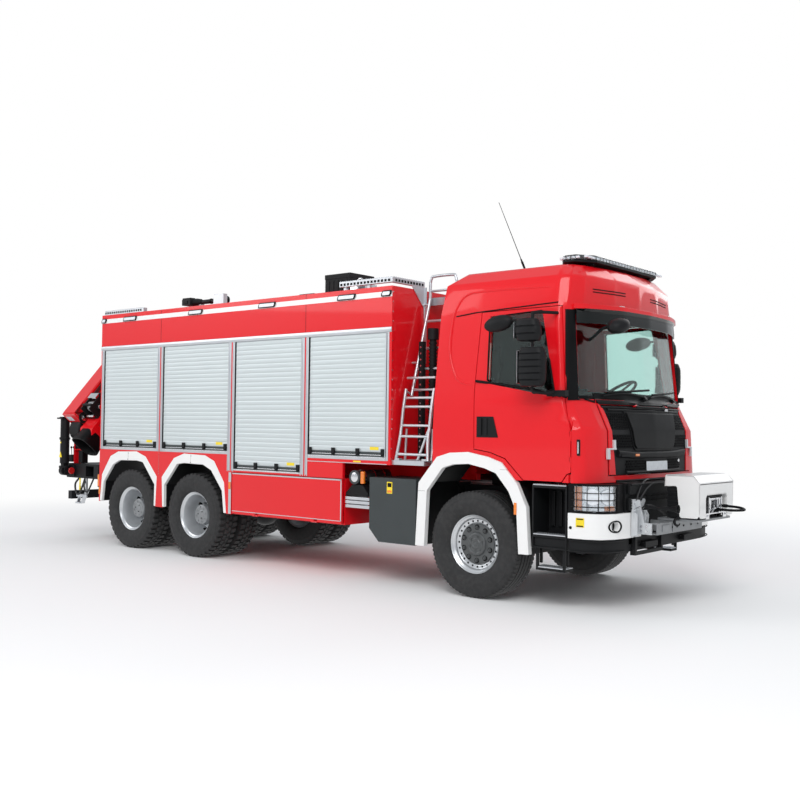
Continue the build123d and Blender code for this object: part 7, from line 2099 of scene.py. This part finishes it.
# Seats and cab inside
def padded_block(name, x0, x1, y0, y1, z0, z1, crown, swell=0.022):
    """A crowned pad: bent in code, then cloth under pressure, then one subdivision."""
    kit = Kit()
    n = 14
    shrink = swell * 0.75
    for axis, sign in ((0, 1), (1, 1), (2, 1), (0, -1), (1, -1), (2, -1)):
        low = (x0 + shrink, y0 + shrink, z0 + shrink)
        high = (x1 - shrink, y1 - shrink, z1 - shrink)
        u, v = [a for a in range(3) if a != axis]
        rows = []
        for i in range(n + 1):
            row = []
            for j in range(n + 1):
                p = [0, 0, 0]
                p[axis] = high[axis] if sign > 0 else low[axis]
                p[u] = low[u] + (high[u] - low[u]) * i / n
                p[v] = low[v] + (high[v] - low[v]) * j / n
                row.append(tuple(p))
            rows.append(row)
        kit.grid(rows)
    bmesh.ops.remove_doubles(kit.bm, verts=kit.bm.verts, dist=1e-5)
    centre = Vector(((x0 + x1) / 2, (y0 + y1) / 2, (z0 + z1) / 2))
    half = Vector(((x1 - x0) / 2, (y1 - y0) / 2, (z1 - z0) / 2))
    for v in kit.bm.verts:
        d = v.co - centre
        s = [d[a] / half[a] for a in range(3)]
        u, w = [a for a in range(3) if a != crown]
        pull = 1 - 0.035 * (1 - s[w] ** 2) * abs(s[u]) - 0.02 * abs(s[crown]) ** 3
        d[u] *= pull
        pull = 1 - 0.035 * (1 - s[u] ** 2) * abs(s[w]) - 0.02 * abs(s[crown]) ** 3
        d[w] *= pull
        v.co = centre + d
    obj = kit.make(name, "chassis", "cloth", angle=70)
    scene = bpy.context.scene
    mod = obj.modifiers.new("remesh", "REMESH")
    mod.mode = "VOXEL"
    mod.voxel_size = 0.018
    mod.use_smooth_shade = True
    bake(obj)
    rest = [v.co.copy() for v in obj.data.vertices]
    mod = obj.modifiers.new("cloth", "CLOTH")
    mod.settings.use_pressure = True
    mod.settings.uniform_pressure_force = 4
    mod.settings.effector_weights.gravity = 0
    mod.settings.quality = 4
    mod.point_cache.frame_start = 1
    mod.point_cache.frame_end = 20
    for k in range(1, 21):
        scene.frame_set(k)
        bpy.context.view_layer.update()
    bake(obj)
    scene.frame_set(1)
    for v, p in zip(obj.data.vertices, rest):
        d = v.co - p
        if d.length > swell:
            v.co = p + d * (swell / d.length)
    mod = obj.modifiers.new("soft", "SUBSURF")
    mod.levels = mod.render_levels = 1
    bake(obj)
    for f in obj.data.polygons:
        f.use_smooth = True
    return obj


def bake(obj):
    """Keeps what the modifiers show as the piece's own mesh."""
    graph = bpy.context.evaluated_depsgraph_get()
    made = bpy.data.meshes.new_from_object(obj.evaluated_get(graph), depsgraph=graph)
    made.materials.clear()
    made.materials.append(M["cloth"])
    old = obj.data
    obj.modifiers.clear()
    obj.data = made
    bpy.data.meshes.remove(old)


def seats():
    for word, y in (("right", -0.62), ("left", 0.62)):
        cushion = padded_block("seat_cushion_" + word, -0.340, 0.168, y - 0.255, y + 0.255, 1.838, 1.985, 2)
        if word == "right":
            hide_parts("seats")
        padded_block("seat_back_" + word, -0.392, -0.210, y - 0.250, y + 0.250, 1.940, 2.620, 0)
        padded_block("seat_head_" + word, -0.392, -0.265, y - 0.140, y + 0.140, 2.640, 2.795, 0, swell=0.014)
        kit = Kit()
        kit.box(-0.320, 0.040, y - 0.170, y + 0.170, 1.508, 1.540)
        kit.box(-0.300, 0.020, y - 0.150, y + 0.150, 1.800, 1.838)
        for k in range(7):
            z = 1.545 + k * 0.036
            kit.box(-0.290, 0.010, y - 0.145 - 0.012 * (k % 2), y + 0.145 + 0.012 * (k % 2), z, z + 0.034)
        for side in (-1, 1):
            kit.box(-0.340, 0.060, *sorted((y + side * 0.200, y + side * 0.235)), 1.760, 1.850)
            kit.box(-0.350, 0.000, *sorted((y + side * 0.225, y + side * 0.258)), 2.160, 2.205)
            kit.rod((-0.330, y + side * 0.060, 2.60), (-0.330, y + side * 0.060, 2.67), 0.007, 8)
        kit.make("seat_frame_" + word, "chassis", "inner", bevel=0.006)
        kit = Kit()
        for q in (-0.150, 0.150):
            line = curve_points([(-0.19, y + q, 1.99), (-0.08, y + q, 1.985), (0.06, y + q, 1.987),
                                 (0.150, y + q * 0.98, 1.968)], 6)
            kit.tube(line, 0.0035, 6)
            line = curve_points([(-0.203, y + q, 2.02), (-0.196, y + q, 2.20), (-0.196, y + q, 2.40),
                                 (-0.206, y + q * 0.95, 2.58)], 6)
            kit.tube(line, 0.0035, 6)
        kit.make("seat_seams_" + word, "chassis", "seal_and_shade", angle=60)


def dash_and_lining():
    kit = Kit()
    for y0, y1 in ((0.30, 0.94), (-0.20, 0.22)):
        kit.box(0.640, 0.700, y0, y1, 2.040, 2.0775)
        kit.box(0.606, 0.612, y0 + 0.05, y1 - 0.05, 1.92, 2.03)
    for k in range(6):
        kit.box(0.600, 0.612, -0.90 + k * 0.11, -0.82 + k * 0.11, 1.95, 2.00)
    kit.box(0.70, 1.10, -0.95, -0.90, 2.060, 2.085)
    kit.make("dash_details", "chassis", "black", bevel=0.008)
    boxes("dash_dials", "chassis", "led", [(0.6045, 0.607, 0.42, 0.82, 1.935, 2.015)], bevel=0.002)
    # a lining on the cab's back wall, so no plain red shows behind the seats
    boxes("back_lining", "chassis", "inner", [(-0.395, -0.392, -1.02, 1.02, 1.56, 2.95)], bevel=0.001)


# All of it
look()
surroundings()
dress_all()
wheels()
shutter_skins()
body_skin()
lower_skin()
roof_skin()
mast_skin()
cab_surface = Skin("cab_shell door_right door_left door_glass_right door_glass_left windscreen front_hatch")
for make in (corners_and_cowl, hatch_panel, hatch_ledges, hatch_mesh, plate_and_latch):
    make(cab_surface)
flank(cab_surface, "right", -1)
flank(cab_surface, "left", 1)
for make in (wipers, painted_louvre_shades, sun_visor):
    make(cab_surface)
light_bar()
antenna()
mirrors(cab_surface)
headlamp("right", -1)
headlamp("left", 1)
bumper_details()
for make in (bracket_plates, bracket_channel, winch_body, rope_fairlead, winch_rope, air_horn, front_loop,
             front_cables):
    make()
panel_details()
step_treads()
for make in (ladder, landings, intake_and_stack):
    make()
low_sides()
dress_low("crane_base", 1.0945, "red", "dark")
for make in (inner_boom, outer_boom, hoist, column_foot, controls, outrigger_marks, under_housing):
    make()
back_lamps()
seats()
dash_and_lining()
winch_hood()
